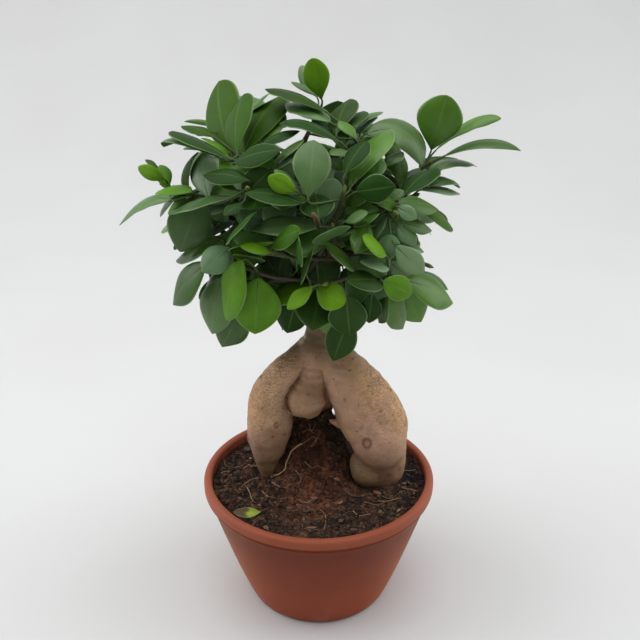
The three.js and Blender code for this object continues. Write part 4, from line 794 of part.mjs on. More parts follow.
// ---------------------------------------------------------------- soil
function soilHeight(x, y) {
  const r = Math.hypot(x, y);
  const dx = Math.abs(x - MOUND_X) / MOUND_WIDTH, dy = Math.abs(y - MOUND_Y) / MOUND_DEPTH;
  const mound = MOUND_HEIGHT * Math.exp(-Math.pow(dx, 5) - Math.pow(dy, 1.85));
  const crown = 1.6 * (1 - (r * r) / (LIP_INNER * LIP_INNER));
  const hollow = -4.5 * Math.exp(-((x - 66) ** 2 + (y + 4) ** 2) / 130);
  const sag = -1.6 * Math.max(0, -x / LIP_INNER) - 1.2 * Math.max(0, y / LIP_INNER);
  const bumps = 0.7 * Math.sin(x * 0.21 + 1.3) * Math.cos(y * 0.19) + 0.5 * Math.sin(x * 0.33 - y * 0.27);
  return SOIL_RIM_Z + mound + crown + hollow + sag + bumps;
}
{
  const rings = [0.15, 0.28, 0.42, 0.56, 0.72, 0.88, 1], seg = 24;
  const rTop = LIP_INNER - GAP;
  const points = [new THREE.Vector3(0, 0, soilHeight(0, 0))], faces = [];
  for (const f of rings) {
    for (let k = 0; k < seg; k++) {
      const a = (2 * Math.PI * k) / seg, x = rTop * f * Math.cos(a), y = rTop * f * Math.sin(a);
      points.push(new THREE.Vector3(x, y, soilHeight(x, y)));
    }
  }
  const sides = [
    [LIP_INNER - GAP, 84.5],
    [innerRadius(50) - GAP - 0.4, 50],
    [innerRadius(12) - GAP - 0.2, 12.3],
    [innerRadius(12) - 4.9 - GAP, FLOOR_Z + GAP],
  ];
  // the bowl is a many-sided turning, so the soil stays inside its flats
  const flat = Math.cos(Math.PI / POT_SEGMENTS);
  for (const [r, z] of sides) {
    for (let k = 0; k < seg; k++) {
      const a = (2 * Math.PI * k) / seg;
      points.push(new THREE.Vector3(r * flat * Math.cos(a), r * flat * Math.sin(a), z));
    }
  }
  for (let k = 0; k < seg; k++) {
    const i = 1 + (rings.length - 1) * seg + k;
    points[i].x *= flat;
    points[i].y *= flat;
  }
  const layers = rings.length + sides.length;
  for (let k = 0; k < seg; k++) faces.push([0, 1 + k, 1 + ((k + 1) % seg)]);
  for (let i = 0; i < layers - 1; i++) {
    for (let k = 0; k < seg; k++) {
      const k2 = (k + 1) % seg, o = 1 + i * seg;
      faces.push([o + k, o + seg + k, o + k2], [o + k2, o + seg + k, o + seg + k2]);
    }
  }
  const c = points.length;
  points.push(new THREE.Vector3(0, 0, FLOOR_Z + GAP));
  for (let k = 0; k < seg; k++) faces.push([c, 1 + (layers - 1) * seg + ((k + 1) % seg), 1 + (layers - 1) * seg + k]);
  const soil = solid(closedGeometry(points, faces)).subtract(caudex(GAP));
  add('soil', geometryOf(mainBody(soil)), PEAT());
}

// ---------------------------------------------------------------- branches, each butted on the trunk
{
  const stub = solid(tube(TRUNK.path, TRUNK.radius, ROOT_SIDES, GAP)).add(solid(lobe(LOBES.neck, ROOT_SIDES, GAP)));
  let taken = null;
  for (const [name, b] of Object.entries(BRANCHES)) {
    let body = solid(tube(b.path, b.radius, BRANCH_SIDES)).subtract(stub);
    if (taken) body = body.subtract(taken);
    add(name, geometryOf(mainBody(body)), TWIG_BARK());
    const fat = solid(tube(b.path, b.radius, BRANCH_SIDES, GAP));
    taken = taken ? taken.add(fat) : fat;
  }
}

// ---------------------------------------------------------------- leafy shoots
{
  const pieceOf = (s, i) => solid(i === 0 ? tube(s.path, s.radius, TWIG_SIDES) : leaf(s.leaves[i - 1]));
  const roomOf = (s, i) => solid(i === 0 ? tube(s.path, s.radius, TWIG_SIDES, GAP) : leafRoom(s.leaves[i - 1], GAP));
  const trunkStub = caudex(GAP);
  const bodies = {};
  for (const s of SHOOTS) {
    let body = pieceOf(s, 0);
    for (let i = 1; i <= s.leaves.length; i++) body = body.add(pieceOf(s, i));
    for (const b of [s.branch, ...(s.cutBranches ?? [])]) body = body.subtract(solid(tube(BRANCHES[b].path, BRANCHES[b].radius, BRANCH_SIDES, GAP)));
    bodies[s.name] = body.subtract(trunkStub);
  }
  for (const [a, b, list] of GIVE_WAY) {
    const s = SHOOTS.find((q) => q.name === b);
    for (const i of list) bodies[a] = bodies[a].subtract(roomOf(s, i));
    bodies[a] = mainBody(bodies[a]);
  }
  for (const s of SHOOTS) add(s.name, geometryOf(mainBody(bodies[s.name])), LEAF_GREEN());
}

// ---------------------------------------------------------------- fallen leaf on the soil
{
  const g = leaf(FALLEN_LEAF);
  add('fallen_leaf', geometryOf(solid(g)), DRY_LEAF());
}

export default group;
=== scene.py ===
import math

import bpy
import bmesh
import numpy as np
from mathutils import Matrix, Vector
from mathutils.bvhtree import BVHTree


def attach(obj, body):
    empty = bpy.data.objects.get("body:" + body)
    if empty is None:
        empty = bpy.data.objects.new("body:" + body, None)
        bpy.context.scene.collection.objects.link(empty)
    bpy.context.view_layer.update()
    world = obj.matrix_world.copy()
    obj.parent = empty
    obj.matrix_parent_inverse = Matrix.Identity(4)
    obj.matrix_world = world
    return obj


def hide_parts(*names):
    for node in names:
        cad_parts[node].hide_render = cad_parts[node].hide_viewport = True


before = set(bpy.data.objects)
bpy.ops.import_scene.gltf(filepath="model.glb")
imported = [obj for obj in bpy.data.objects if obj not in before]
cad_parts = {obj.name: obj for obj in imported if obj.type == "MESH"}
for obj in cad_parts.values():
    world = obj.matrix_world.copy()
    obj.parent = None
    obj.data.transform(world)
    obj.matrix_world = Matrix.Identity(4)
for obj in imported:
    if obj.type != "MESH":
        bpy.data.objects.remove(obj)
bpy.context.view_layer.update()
MM = 0.001

# ------------------------------------------------------------------ camera (mm, pixels of a 640 x 640 frame)
FOCAL = 700.0
CAM = np.array([0.984, -450.070, 388.453])
PITCH = math.radians(20.9505)
FWD = np.array([0.0, math.cos(PITCH), -math.sin(PITCH)])
RIGHT = np.array([1.0, 0.0, 0.0])
UP = np.array([0.0, math.sin(PITCH), math.cos(PITCH)])


def pixel_ray(u, v):
    d = FWD + (u - 320.0) / FOCAL * RIGHT + (320.0 - v) / FOCAL * UP
    return d / np.linalg.norm(d)


cam_data = bpy.data.cameras.new("camera")
cam_data.sensor_fit = "HORIZONTAL"
cam_data.sensor_width = 36.0
cam_data.lens = 36.0 * FOCAL / 640.0
cam_data.clip_start = 0.01
cam_data.clip_end = 20.0
camera = bpy.data.objects.new("camera", cam_data)
camera.location = Vector(CAM * MM)
camera.rotation_euler = (math.pi / 2 - PITCH, 0.0, 0.0)
bpy.context.scene.collection.objects.link(camera)
bpy.context.scene.camera = camera

# ------------------------------------------------------------------ tables (mm)
# shoot: name, stem path, stem radii, leaves (stalk start, blade base, bend point, tip, up, width, droop, colour, kind)
SHOOTS = [
    ('shoot_top_front_left', [(6, 6, 300), (-13.64, -7.03, 308.85), (-33.28, -20.06, 319.06), (-52.91, -33.09, 330.65)], (1.9, 1.65, 1.4, 1.15), [
        ((-48, -29.8, 327.6), (-51.1, -38.7, 330.7), (-75.5, -22.3, 343.3), (-88.6, -10.7, 343.5), (0.33, 0, 0.94), 25.4, 2.54, 'P', 'A'),
        ((-46.4, -28.8, 326.6), (-48.5, -42.1, 328.9), (-36.7, -49.9, 336.9), (-20.7, -52.6, 337.5), (-0.43, -0.52, 0.74), 17.2, 1.72, 'P', 'A'),
        ((-51.3, -32, 329.6), (-48.1, -28.4, 331.5), (-52.6, -14, 352.1), (-46.4, 7.6, 364), (-0.69, -0.47, 0.56), 25.2, 2.52, 'K', 'A'),
        ((-43.1, -26.6, 324.7), (-45.4, -14.6, 330.9), (-37.8, -0.6, 353.1), (-24.1, 21.4, 362.1), (-0.37, -0.47, 0.8), 28, 2.8, 'K', 'A'),
        ((-44.7, -27.7, 325.7), (-61.2, -24.2, 330.4), (-90.7, -6.1, 346.8), (-97.2, 0.3, 332.6), (0.08, 0.03, 1), 17.2, 2.45, 'G', 'A'),
        ((-41.5, -25.5, 323.7), (-34.4, -34.5, 337.5), (-23.8, -35.8, 345.4), (-10.5, -34.9, 346), (-0.33, -0.28, 0.9), 14.5, 1.45, 'P', 'T'),
        ((-36.5, -22.2, 320.9), (-31.8, -16.6, 332.9), (-31.5, -2.9, 347.2), (-25.2, 15.2, 352), (-0.49, -0.37, 0.79), 19.4, 1.94, 'M', 'A'),
        ((-20.2, -11.4, 312.1), (-14.6, -29, 312.7), (-17.9, -47.7, 315.2), (-20.9, -64.4, 306.3), (-0.02, -0.17, 0.98), 22.6, 2.26, 'D', 'F'),
        ((-26.7, -15.7, 315.5), (-27.5, -20, 316.3), (-32.2, -29.3, 328.9), (-37.6, -44, 333.2), (0.07, 0.55, 0.83), 24.9, 2.49, 'B', 'F'),
        ((-31.6, -19, 318.2), (-37.1, -18.7, 317.5), (-54.1, -21.6, 317), (-68.3, -20.4, 307.3), (-0.27, -0.39, 0.88), 25.9, 2.59, 'D', 'F'),
        ((-13.6, -7, 308.9), (2.9, -23.2, 304.8), (22.2, -25.3, 307), (39.5, -23.7, 298.2), (0.16, -0.31, 0.94), 26.5, 2.65, 'D', 'F'),
        ((-16.9, -9.2, 310.6), (-19.1, -3.5, 313.3), (-14.1, 7, 311.3), (-12.6, 16.4, 304.2), (0.55, 0.19, 0.81), 15.5, 1.55, 'D', 'F'),
        ((-12, -5.9, 308.1), (-8.4, -20.1, 300.4), (-3.2, -23.7, 311.4), (7.1, -24, 319), (-0.72, -0.47, 0.5), 16.7, 1.67, 'M', 'R'),
        ((-7.1, -2.7, 305.9), (2.5, -9.5, 311.5), (11.5, -17, 316.4), (19.8, -26.4, 314.7), (0.09, 0.27, 0.96), 14.9, 1.49, 'D', 'R'),
        ((-10.4, -4.9, 307.4), (-1.5, -10.2, 319.8), (5.1, -18.2, 328.4), (15.1, -27.1, 330.6), (-0.46, 0.12, 0.88), 15.6, 1.56, 'M', 'R'),
    ]),
    ('shoot_under_back_centre', [(-6, 22, 254), (-4.34, 26.21, 242.77), (-2.68, 30.41, 232.15), (-1.03, 34.62, 222.15)], (1.9, 1.65, 1.4, 1.15), [
        ((-2.3, 31.5, 229.6), (6.7, 49, 234.2), (14.6, 63.5, 248.8), (21.6, 66, 269.4), (0.06, 0.89, -0.45), 28.9, 2.89, 'D', 'R'),
        ((-3.6, 28, 238.3), (-2.3, 37.5, 227.3), (1.6, 51.6, 227.2), (2, 63.7, 219), (0.38, 0.23, 0.9), 15.9, 1.59, 'M', 'R'),
        ((-4.2, 26.6, 241.9), (5.3, 23.6, 232.6), (4.1, 32.4, 217.3), (-6.7, 36.8, 204), (0.89, 0.41, -0.19), 23.6, 2.36, 'G', 'R'),
        ((-4.8, 25.1, 245.5), (12.6, 22.8, 242.5), (16.6, 29.6, 226.4), (10.4, 32.4, 209.8), (0.93, 0.36, 0.04), 26.8, 2.68, 'M', 'R'),
        ((-2.7, 30.4, 232.2), (-9.4, 20.5, 221.9), (-25, 33.5, 216.2), (-29.7, 50.8, 205.2), (-0.84, -0.34, 0.41), 25.6, 2.57, 'D', 'R'),
        ((-2.1, 31.8, 228.8), (3.6, 16.3, 211.6), (7.2, 24.7, 200.4), (2.9, 33.1, 189.5), (1, 0.01, -0.03), 19.3, 1.93, 'D', 'F'),
        ((-4.9, 24.8, 246.5), (-1.9, 25.8, 255), (9, 36.2, 252.3), (18.6, 42.8, 242.3), (0.17, 0.45, 0.88), 18.4, 1.84, 'M', 'R'),
        ((-3.9, 27.3, 240.1), (-16.2, 39.2, 238.6), (-25.5, 43.7, 247.9), (-38.1, 42.5, 253.6), (0.44, 0.75, 0.48), 16.6, 1.66, 'D', 'R'),
        ((-3, 29.7, 233.9), (-14.2, 15.1, 221.7), (-23.4, 0.5, 221.4), (-24.4, -16.3, 217.3), (-0.88, 0.23, 0.41), 19.7, 1.97, 'M', 'R'),
    ]),
    ('shoot_top_back_right', [(4.62, 6.12, 286), (11.86, 15, 298.87), (19.1, 23.87, 312.7), (26.33, 32.74, 327.49)], (1.9, 1.65, 1.4, 1.15), [
        ((13.1, 16.5, 301.1), (24.5, 2.1, 309.2), (31.8, -8.7, 320.8), (40, -23.9, 322.8), (-0.09, 0.42, 0.9), 24.3, 2.43, 'G', 'F'),
        ((25.1, 31.3, 325), (8.7, 37.3, 335.6), (10.1, 28.6, 351.7), (12.2, 12.3, 359.7), (-0.06, 0.69, 0.72), 21.9, 2.19, 'S', 'F'),
        ((24.5, 30.5, 323.7), (45.7, 21.4, 324.8), (54.9, 26.9, 317.3), (58.9, 28.9, 305), (0.66, 0.44, 0.61), 20.2, 2.02, 'M', 'R'),
        ((23.3, 29.1, 321.2), (25.5, 36.8, 323.8), (16.2, 55.9, 325.2), (3.7, 69.9, 315.3), (0.25, 0.4, 0.88), 23.9, 2.39, 'M', 'R'),
        ((16.1, 20.2, 306.8), (13.1, 35.7, 309.9), (25.8, 48.3, 320.1), (42.3, 60.4, 318.4), (-0.31, 0.04, 0.95), 25.1, 2.51, 'D', 'R'),
        ((21.5, 26.8, 317.6), (25.9, 15.3, 322.4), (31.7, 16.7, 333.1), (38.4, 23.7, 340.6), (-0.14, -0.86, 0.49), 16.7, 1.67, 'D', 'F'),
        ((20.3, 25.4, 315.2), (10.1, 23.5, 321.5), (8.6, 36.3, 325.6), (6, 49.1, 322.5), (0.15, -0.02, 0.99), 15.6, 1.56, 'M', 'R'),
        ((11.9, 15, 298.9), (5.9, 34.2, 288.7), (2.6, 50.8, 288.5), (-0.8, 64.8, 279.6), (0.01, 0.29, 0.96), 19.5, 1.95, 'G', 'R'),
        ((10.7, 13.5, 296.7), (8.3, 31.4, 288.2), (3.5, 43.5, 282.2), (-2.6, 50, 271.1), (0.18, 0.72, 0.67), 18.4, 1.84, 'D', 'R'),
        ((26.3, 32.7, 327.5), (44.5, 37.8, 317.8), (43.5, 27.1, 305.2), (36.7, 22.7, 290.8), (0.66, -0.72, 0.21), 19.8, 1.97, 'D', 'R'),
        ((14.3, 18, 303.5), (11.5, 29, 296.9), (-0.6, 34.4, 295.4), (-10.1, 38.9, 287.2), (-0.35, 0.13, 0.93), 15.1, 1.51, 'G', 'R'),
        ((10.1, 12.8, 295.6), (8.4, 10.5, 298.5), (8.7, 13.2, 313), (16.6, 15.5, 325.2), (-0.96, 0.04, 0.29), 18.3, 1.83, 'D', 'R'),
    ]),
    ('shoot_upper_front_right', [(6.19, 6, 314), (18.66, -13.46, 308.96), (31.13, -32.92, 305.17), (43.6, -52.37, 302.63)], (1.9, 1.65, 1.4, 1.15), [
        ((41.5, -49.1, 303), (45.5, -53.8, 305.8), (50.2, -58.1, 303.5), (56, -58.7, 300), (-0.27, -0.92, 0.29), 7.9, 0.4, 'S', 'L'),
        ((32.2, -34.5, 304.9), (50.7, -36.7, 309.4), (61.1, -23.9, 321), (74.5, -8.8, 320.9), (-0.24, -0.19, 0.95), 19.9, 1.99, 'P', 'L'),
        ((27, -26.4, 306.3), (47.5, -40.7, 303.7), (41.1, -50.2, 310.3), (29.7, -57.1, 311), (0.6, -0.32, 0.74), 13.8, 1.38, 'K', 'T'),
        ((40.5, -47.5, 303.1), (44.6, -59.5, 284.4), (54.9, -59.9, 274.3), (62.8, -52, 265.3), (0.27, -0.95, -0.12), 13.7, 1.37, 'S', 'L'),
        ((43.6, -52.4, 302.6), (45.7, -51.7, 307.7), (59.8, -47.7, 308.6), (70.7, -40.4, 301.8), (0.37, -0.37, 0.85), 15.4, 1.54, 'D', 'L'),
        ((36.3, -41, 304), (48.1, -54.5, 296.7), (58.4, -53.8, 296.2), (66.4, -49.8, 290.9), (0.38, -0.52, 0.77), 11, 1.1, 'D', 'L'),
        ((17.6, -11.8, 309.3), (18.5, -34.1, 334.6), (13.2, -41.8, 337.2), (6.6, -48.1, 334.2), (0.21, -0.21, 0.95), 9.9, 0.99, 'G', 'T'),
        ((33.2, -36.2, 304.7), (28, -40.5, 307.8), (32.5, -43.8, 311.9), (38.1, -43, 315.8), (-0.26, -0.96, 0.04), 7, 0.35, 'D', 'T'),
        ((34.2, -37.8, 304.4), (38.9, -37.7, 306), (44, -39.2, 310.3), (50.5, -37.8, 312), (-0.32, -0.72, 0.62), 7.6, 0.38, 'G', 'T'),
        ((30.1, -31.3, 305.4), (39.9, -26.3, 324.2), (45.3, -21.2, 330.5), (51.7, -13.9, 331.4), (-0.15, -0.38, 0.91), 9.7, 0.97, 'D', 'T'),
        ((39.4, -45.9, 303.3), (28.6, -54.5, 296.1), (25.3, -65.4, 292.2), (20.5, -71.5, 283), (0.19, -0.65, 0.73), 12.3, 1.23, 'M', 'T'),
        ((38.4, -44.3, 303.5), (47.7, -52.1, 284.2), (56.1, -51.8, 283.4), (62.4, -49.8, 278.2), (0.4, -0.34, 0.85), 9, 0.9, 'S', 'L'),
        ((25.9, -24.8, 306.6), (18.8, -34.1, 311.9), (15.2, -39.1, 317.3), (10.3, -39.5, 323.9), (0.26, -0.94, -0.23), 8.7, 0.87, 'S', 'T'),
        ((14.5, -7, 310.6), (15.7, 2.5, 315.6), (19.1, 2.7, 328), (21, 9.4, 338.8), (0.22, -0.95, 0.24), 16.8, 1.68, 'B', 'F'),
        ((15.5, -8.6, 310.2), (21.6, 1.4, 303), (31.6, -5.7, 299.5), (37.8, -11.8, 290.4), (0.54, -0.14, 0.83), 15.9, 1.59, 'D', 'R'),
    ]),
    ('shoot_lower_front_right', [(29.12, -4.31, 251), (29.49, -15.55, 249.36), (29.86, -26.79, 248.33), (30.23, -38.03, 247.9)], (1.9, 1.65, 1.4, 1.15), [
        ((30.2, -37.1, 247.9), (19.5, -46.4, 237.2), (13, -47.1, 218.1), (9.4, -36.2, 201.6), (-0.23, -0.95, -0.21), 19.4, 1.94, 'Q', 'L'),
        ((30.1, -35.2, 247.9), (51.1, -32.6, 252.8), (60.5, -31.9, 236), (67.5, -20.2, 222.4), (0.21, -0.94, -0.27), 21.1, 2.11, 'M', 'L'),
        ((30.1, -33.3, 248), (27.8, -29.8, 237.3), (28, -15.1, 223.5), (21, 3.2, 218.9), (0.59, -0.3, -0.75), 25.5, 2.55, 'M', 'R'),
        ((29.6, -19.3, 248.9), (46.5, -14.2, 237.5), (59.6, -7.2, 232), (69.2, -5.9, 219.4), (0.37, 0.58, 0.73), 25.7, 2.57, 'M', 'R'),
        ((29.4, -13.7, 249.6), (32, -15.6, 260.9), (40.5, -13.7, 276.4), (47.3, -2.9, 288.7), (0.17, -0.93, 0.33), 21.8, 2.18, 'G', 'R'),
        ((29.5, -16.5, 249.3), (32.2, -17.9, 243.6), (44.5, -10.9, 241.5), (51.2, 0.7, 236.7), (0.71, -0.6, 0.36), 17.6, 1.76, 'D', 'R'),
        ((29.7, -22.1, 248.8), (16.4, -31.1, 236.5), (14.3, -41.6, 243.8), (8.3, -53, 245.4), (0.57, 0.12, 0.81), 17, 1.7, 'D', 'R'),
    ]),
    ('shoot_upper_back_left', [(-13.25, 43.38, 281), (-19.19, 45.71, 289.28), (-25.12, 48.04, 298.14), (-31.06, 50.38, 307.58)], (1.9, 1.65, 1.4, 1.15), [
        ((-29.1, 49.6, 304.4), (-18.1, 46.6, 320.1), (-31.6, 51.6, 331.9), (-49.9, 54.3, 333.8), (0.43, 0.2, 0.88), 22.6, 2.26, 'M', 'R'),
        ((-22.6, 47.1, 294.4), (-32.2, 37.5, 301), (-45.2, 43.6, 316.2), (-65.2, 47.6, 320.9), (0.54, 0.16, 0.82), 28.2, 2.82, 'M', 'R'),
        ((-25.6, 48.2, 298.9), (-22.8, 50.2, 305.3), (-26.7, 65, 313.5), (-32.2, 81.4, 311.3), (0.14, -0.15, 0.98), 23.6, 2.37, 'M', 'R'),
        ((-24.6, 47.9, 297.4), (-39.8, 44.4, 288.5), (-39.2, 33.4, 294.7), (-36.4, 21, 294.6), (-0.32, 0.19, 0.93), 14.7, 1.47, 'D', 'R'),
        ((-21.7, 46.7, 293), (-24.5, 24.9, 297), (-25.9, 25.1, 309.5), (-21, 23, 320.9), (-0.93, 0.33, 0.16), 15, 1.5, 'G', 'R'),
        ((-19.2, 45.7, 289.3), (-18, 58.8, 287), (-5.4, 57.3, 282), (2.8, 56.5, 271.2), (0.59, -0.12, 0.8), 16.6, 1.66, 'G', 'R'),
    ]),
    ('shoot_top_left_b', [(-49.38, 31.5, 272.88), (-45.47, 28.71, 297.2), (-43.82, 27.51, 323.13), (-44.43, 27.91, 350.67)], (1.9, 1.65, 1.4, 1.15), [
        ((-43.9, 27.6, 339), (-30.5, 7.5, 349.6), (-26.3, 21.2, 360.5), (-16.9, 36.4, 361.8), (-0.47, -0.14, 0.87), 17.9, 1.79, 'G', 'A'),
        ((-44.2, 27.7, 346), (-41.5, 31.2, 349.2), (-48.3, 42.1, 359.3), (-55.6, 56.7, 360.1), (0.05, -0.37, 0.93), 23.9, 2.39, 'D', 'F'),
        ((-44, 27.7, 316.5), (-45.6, 37, 319.5), (-44.8, 51.2, 326), (-40.9, 66.1, 323.6), (-0.33, -0.08, 0.94), 20.3, 2.03, 'M', 'R'),
        ((-43.9, 27.6, 320.9), (-42, 35.3, 325.1), (-56.3, 45.3, 334.8), (-74, 54.3, 333), (0.28, 0.08, 0.95), 25.5, 2.55, 'G', 'R'),
        ((-44.5, 28, 307.8), (-55.6, 46.3, 311.7), (-68.9, 51.5, 317.7), (-84.1, 52.7, 315.3), (0.21, 0.42, 0.88), 18.3, 1.83, 'D', 'R'),
        ((-44.4, 27.9, 350.7), (-46.4, 22.4, 350.6), (-40.8, 18, 359.6), (-31.1, 13.5, 363.8), (-0.65, 0.01, 0.76), 16.1, 1.61, 'D', 'F'),
    ]),
    ('shoot_middle_front_right', [(37, -42, 261), (38.99, -46.64, 261.66), (40.99, -51.28, 262.58), (42.98, -55.92, 263.79)], (1.27, 1.23, 1.19, 1.15), [
        ((38.7, -45.9, 261.5), (37.3, -64.9, 265.1), (48.6, -62.9, 259.3), (55.9, -54.3, 253.5), (0.5, -0.87, 0.01), 14.9, 1.49, 'B', 'L'),
        ((40, -49, 262.1), (42.6, -44, 250), (52.1, -41.5, 235.7), (54.4, -31.2, 221.9), (0.68, -0.73, -0.05), 18.8, 1.88, 'M', 'L'),
        ((42.5, -54.8, 263.5), (39.1, -59.1, 262), (29.6, -69.6, 269.5), (15.5, -77, 269), (0.48, -0.31, 0.82), 16.6, 1.66, 'Q', 'L'),
        ((40.7, -50.5, 262.4), (52.6, -44.6, 259.2), (73.3, -40.3, 253), (85.9, -28.9, 238.8), (0.61, -0.52, 0.6), 23.1, 2.31, 'M', 'L'),
        ((41.6, -52.8, 262.9), (39.7, -59.4, 278.4), (35.3, -68, 287.8), (24.6, -74.6, 292.4), (0.78, -0.25, 0.57), 14.3, 1.43, 'Y', 'L'),
        ((41.1, -51.7, 262.7), (31.8, -56.6, 254.3), (31.1, -55.7, 242), (31.2, -47.8, 232.4), (-0.12, -0.92, -0.37), 13.6, 1.36, 'P', 'L'),
        ((41.6, -52.8, 262.9), (41.6, -54.6, 269.8), (34.6, -63.4, 277.6), (23.4, -71.3, 278.3), (0.5, -0.11, 0.86), 14.3, 1.43, 'S', 'L'),
    ]),
    ('shoot_upper_front_centre_b', [(11, -34, 276), (10.03, -41.82, 281.86), (9.07, -49.63, 288.27), (8.1, -57.45, 295.21)], (1.7, 1.52, 1.33, 1.15), [
        ((8.2, -56.8, 294.6), (-0.1, -72.5, 298.6), (0, -77.4, 305.7), (-4.9, -81.4, 311.6), (0.96, -0.17, 0.23), 9.9, 0.99, 'U', 'B'),
        ((8.6, -53.5, 291.7), (2.1, -52.8, 295.7), (-17.7, -59.4, 301.5), (-38, -62.6, 294.6), (0.04, -0.25, 0.97), 23.5, 2.35, 'G', 'T'),
        ((8.4, -54.8, 292.8), (14.5, -62.7, 299.2), (19.5, -67, 304.4), (27.4, -69.6, 305.8), (-0.56, -0.33, 0.76), 9.5, 0.95, 'G', 'T'),
        ((9.2, -48.3, 287.2), (4.9, -50.7, 287.1), (-9.2, -57.3, 290.1), (-24.2, -58.7, 285.2), (0.1, -0.55, 0.83), 23, 2.3, 'D', 'F'),
        ((9.8, -43.8, 283.4), (15.4, -37.1, 302.8), (9.6, -39.2, 316.5), (-0.8, -34.3, 326.3), (0.5, -0.75, 0.43), 22.2, 2.22, 'G', 'F'),
        ((10.3, -39.2, 279.9), (12, -37.3, 282.7), (21.1, -43.8, 292.4), (32.8, -52.5, 295), (-0.32, 0.29, 0.9), 19, 1.9, 'G', 'R'),
        ((10.1, -41.2, 281.4), (15.6, -40.6, 282.4), (26.1, -47.6, 283.4), (35.5, -53.9, 277.6), (0.17, -0.09, 0.98), 17.3, 1.73, 'D', 'R'),
        ((8.8, -52.2, 290.6), (1.8, -63.1, 285.8), (4.6, -74.4, 298.1), (10.8, -89.4, 302.8), (-0.38, 0.41, 0.83), 20.4, 2.04, 'P', 'F'),
    ]),
    ('shoot_top_front_right', [(6, 6, 328), (12.96, -8.47, 328.13), (19.92, -22.95, 329.12), (26.88, -37.42, 330.97)], (1.87, 1.63, 1.39, 1.15), [
        ((19.9, -22.9, 329.1), (12.4, -39.6, 340.4), (-9, -30.7, 356.7), (-22.8, -30.8, 349.5), (0.22, -0.12, 0.97), 22.2, 2.22, 'P', 'T'),
        ((18.2, -19.3, 328.8), (22.3, -35.8, 341), (18.1, -32.5, 348.1), (12.1, -26.5, 350.8), (0.32, -0.49, 0.81), 9.2, 0.92, 'M', 'T'),
        ((11.8, -6.1, 328.1), (9.5, -9.1, 343.3), (3.2, -6.6, 349.1), (-4, -1.3, 350.3), (0.14, -0.52, 0.84), 9.4, 0.94, 'S', 'T'),
        ((15.3, -13.3, 328.4), (16.6, -20.8, 332.3), (13.7, -17, 340.8), (12, -8.7, 345.7), (-0.2, -0.76, 0.61), 9.8, 0.98, 'D', 'T'),
        ((14.1, -10.9, 328.2), (23.1, -10.6, 336.4), (30.2, -11.9, 338), (37.2, -10.1, 336.3), (0.03, -0.68, 0.73), 8.1, 0.4, 'B', 'T'),
        ((16.4, -15.7, 328.5), (20.5, -9.3, 345.7), (29.8, 3.4, 354.4), (41.4, 17, 352.5), (-0.21, -0.08, 0.97), 10.7, 1.79, 'G', 'T'),
        ((13, -8.5, 328.1), (14.7, -7.2, 337), (28.2, 2.1, 340.8), (38.8, 13.8, 335), (0.28, -0.24, 0.93), 20.9, 2.08, 'S', 'F'),
        ((10.6, -3.6, 328.1), (0.2, 0, 332.8), (-7, -12.4, 332.2), (-14.2, -22.1, 324.4), (0, -0.35, 0.94), 18.2, 1.82, 'M', 'R'),
        ((14.7, -12.1, 328.4), (9.9, -14.3, 332.6), (5.3, -23.6, 338.4), (-0.8, -33.8, 338), (0.23, 0.14, 0.96), 16.6, 1.66, 'M', 'F'),
    ]),
    ('shoot_middle_back_left_a', [(-56, 32, 280), (-61.26, 35.64, 282.67), (-66.51, 39.28, 285.72), (-71.77, 42.91, 289.14)], (1.62, 1.46, 1.3, 1.15), [
        ((-69.6, 41.4, 287.7), (-74.7, 54.2, 286.8), (-86.7, 44.4, 295.5), (-94.2, 28.3, 296.6), (-0.42, 0.58, 0.7), 26.6, 2.67, 'S', 'R'),
        ((-68.3, 40.5, 286.8), (-57.1, 58.6, 297.9), (-56.2, 62.8, 310), (-52.7, 59.5, 321.9), (-0.34, 0.94, 0.03), 20.3, 2.02, 'G', 'R'),
        ((-66.1, 39, 285.4), (-71.5, 28.6, 295.9), (-74.4, 24.8, 308.2), (-71.5, 16.2, 317.8), (-0.73, 0.59, 0.34), 23.4, 2.34, 'M', 'R'),
        ((-59.9, 34.7, 282), (-59.8, 39.9, 273.7), (-64.5, 39.1, 263), (-62.5, 36.1, 251.8), (-0.94, 0.32, 0.07), 17.9, 1.8, 'G', 'R'),
        ((-70.9, 42.3, 288.6), (-58.2, 42.2, 304.9), (-56.4, 26.9, 308.5), (-52.7, 12.3, 303.8), (-0.21, -0.08, 0.97), 18.9, 1.89, 'M', 'R'),
        ((-62.6, 36.5, 283.4), (-73.3, 29.5, 273.4), (-77.6, 14.9, 273.4), (-76.7, 1.1, 267), (-0.64, -0.1, 0.77), 20.1, 2.01, 'D', 'R'),
    ]),
    ('shoot_upper_front_centre_c', [(-9, -28, 256), (-6.82, -33.65, 275.81), (-5.71, -43.27, 294.81), (-5.66, -56.86, 313)], (1.9, 1.65, 1.4, 1.15), [
        ((-5.6, -55.6, 311.5), (-11.8, -62.8, 316.1), (-18.7, -67.7, 320.7), (-27.3, -67, 325), (0.29, -0.96, 0.05), 10.3, 1.03, 'Y', 'T'),
        ((-5.6, -48.5, 302.5), (-1.3, -48.8, 312.3), (-0.8, -61.6, 311.1), (0.4, -71.3, 302.8), (-0.1, -0.39, 0.92), 18.7, 1.87, 'P', 'T'),
        ((-5.6, -55.6, 311.5), (-9.6, -63.1, 310), (-23.8, -66.1, 317.8), (-40.2, -66.5, 316.2), (0.22, -0.26, 0.94), 18.1, 1.81, 'P', 'T'),
        ((-7.5, -31.8, 269.2), (-4.6, -11.1, 275.5), (1.5, -7.6, 267.1), (1.9, -4.2, 256.7), (0.94, 0.01, 0.33), 15, 1.5, 'D', 'F'),
    ]),
    ('shoot_middle_front_left_b', [(-12, -40, 258), (-27.67, -46.06, 261.91), (-43.23, -46.9, 267.75), (-58.68, -42.52, 275.53)], (1.53, 1.4, 1.28, 1.15), [
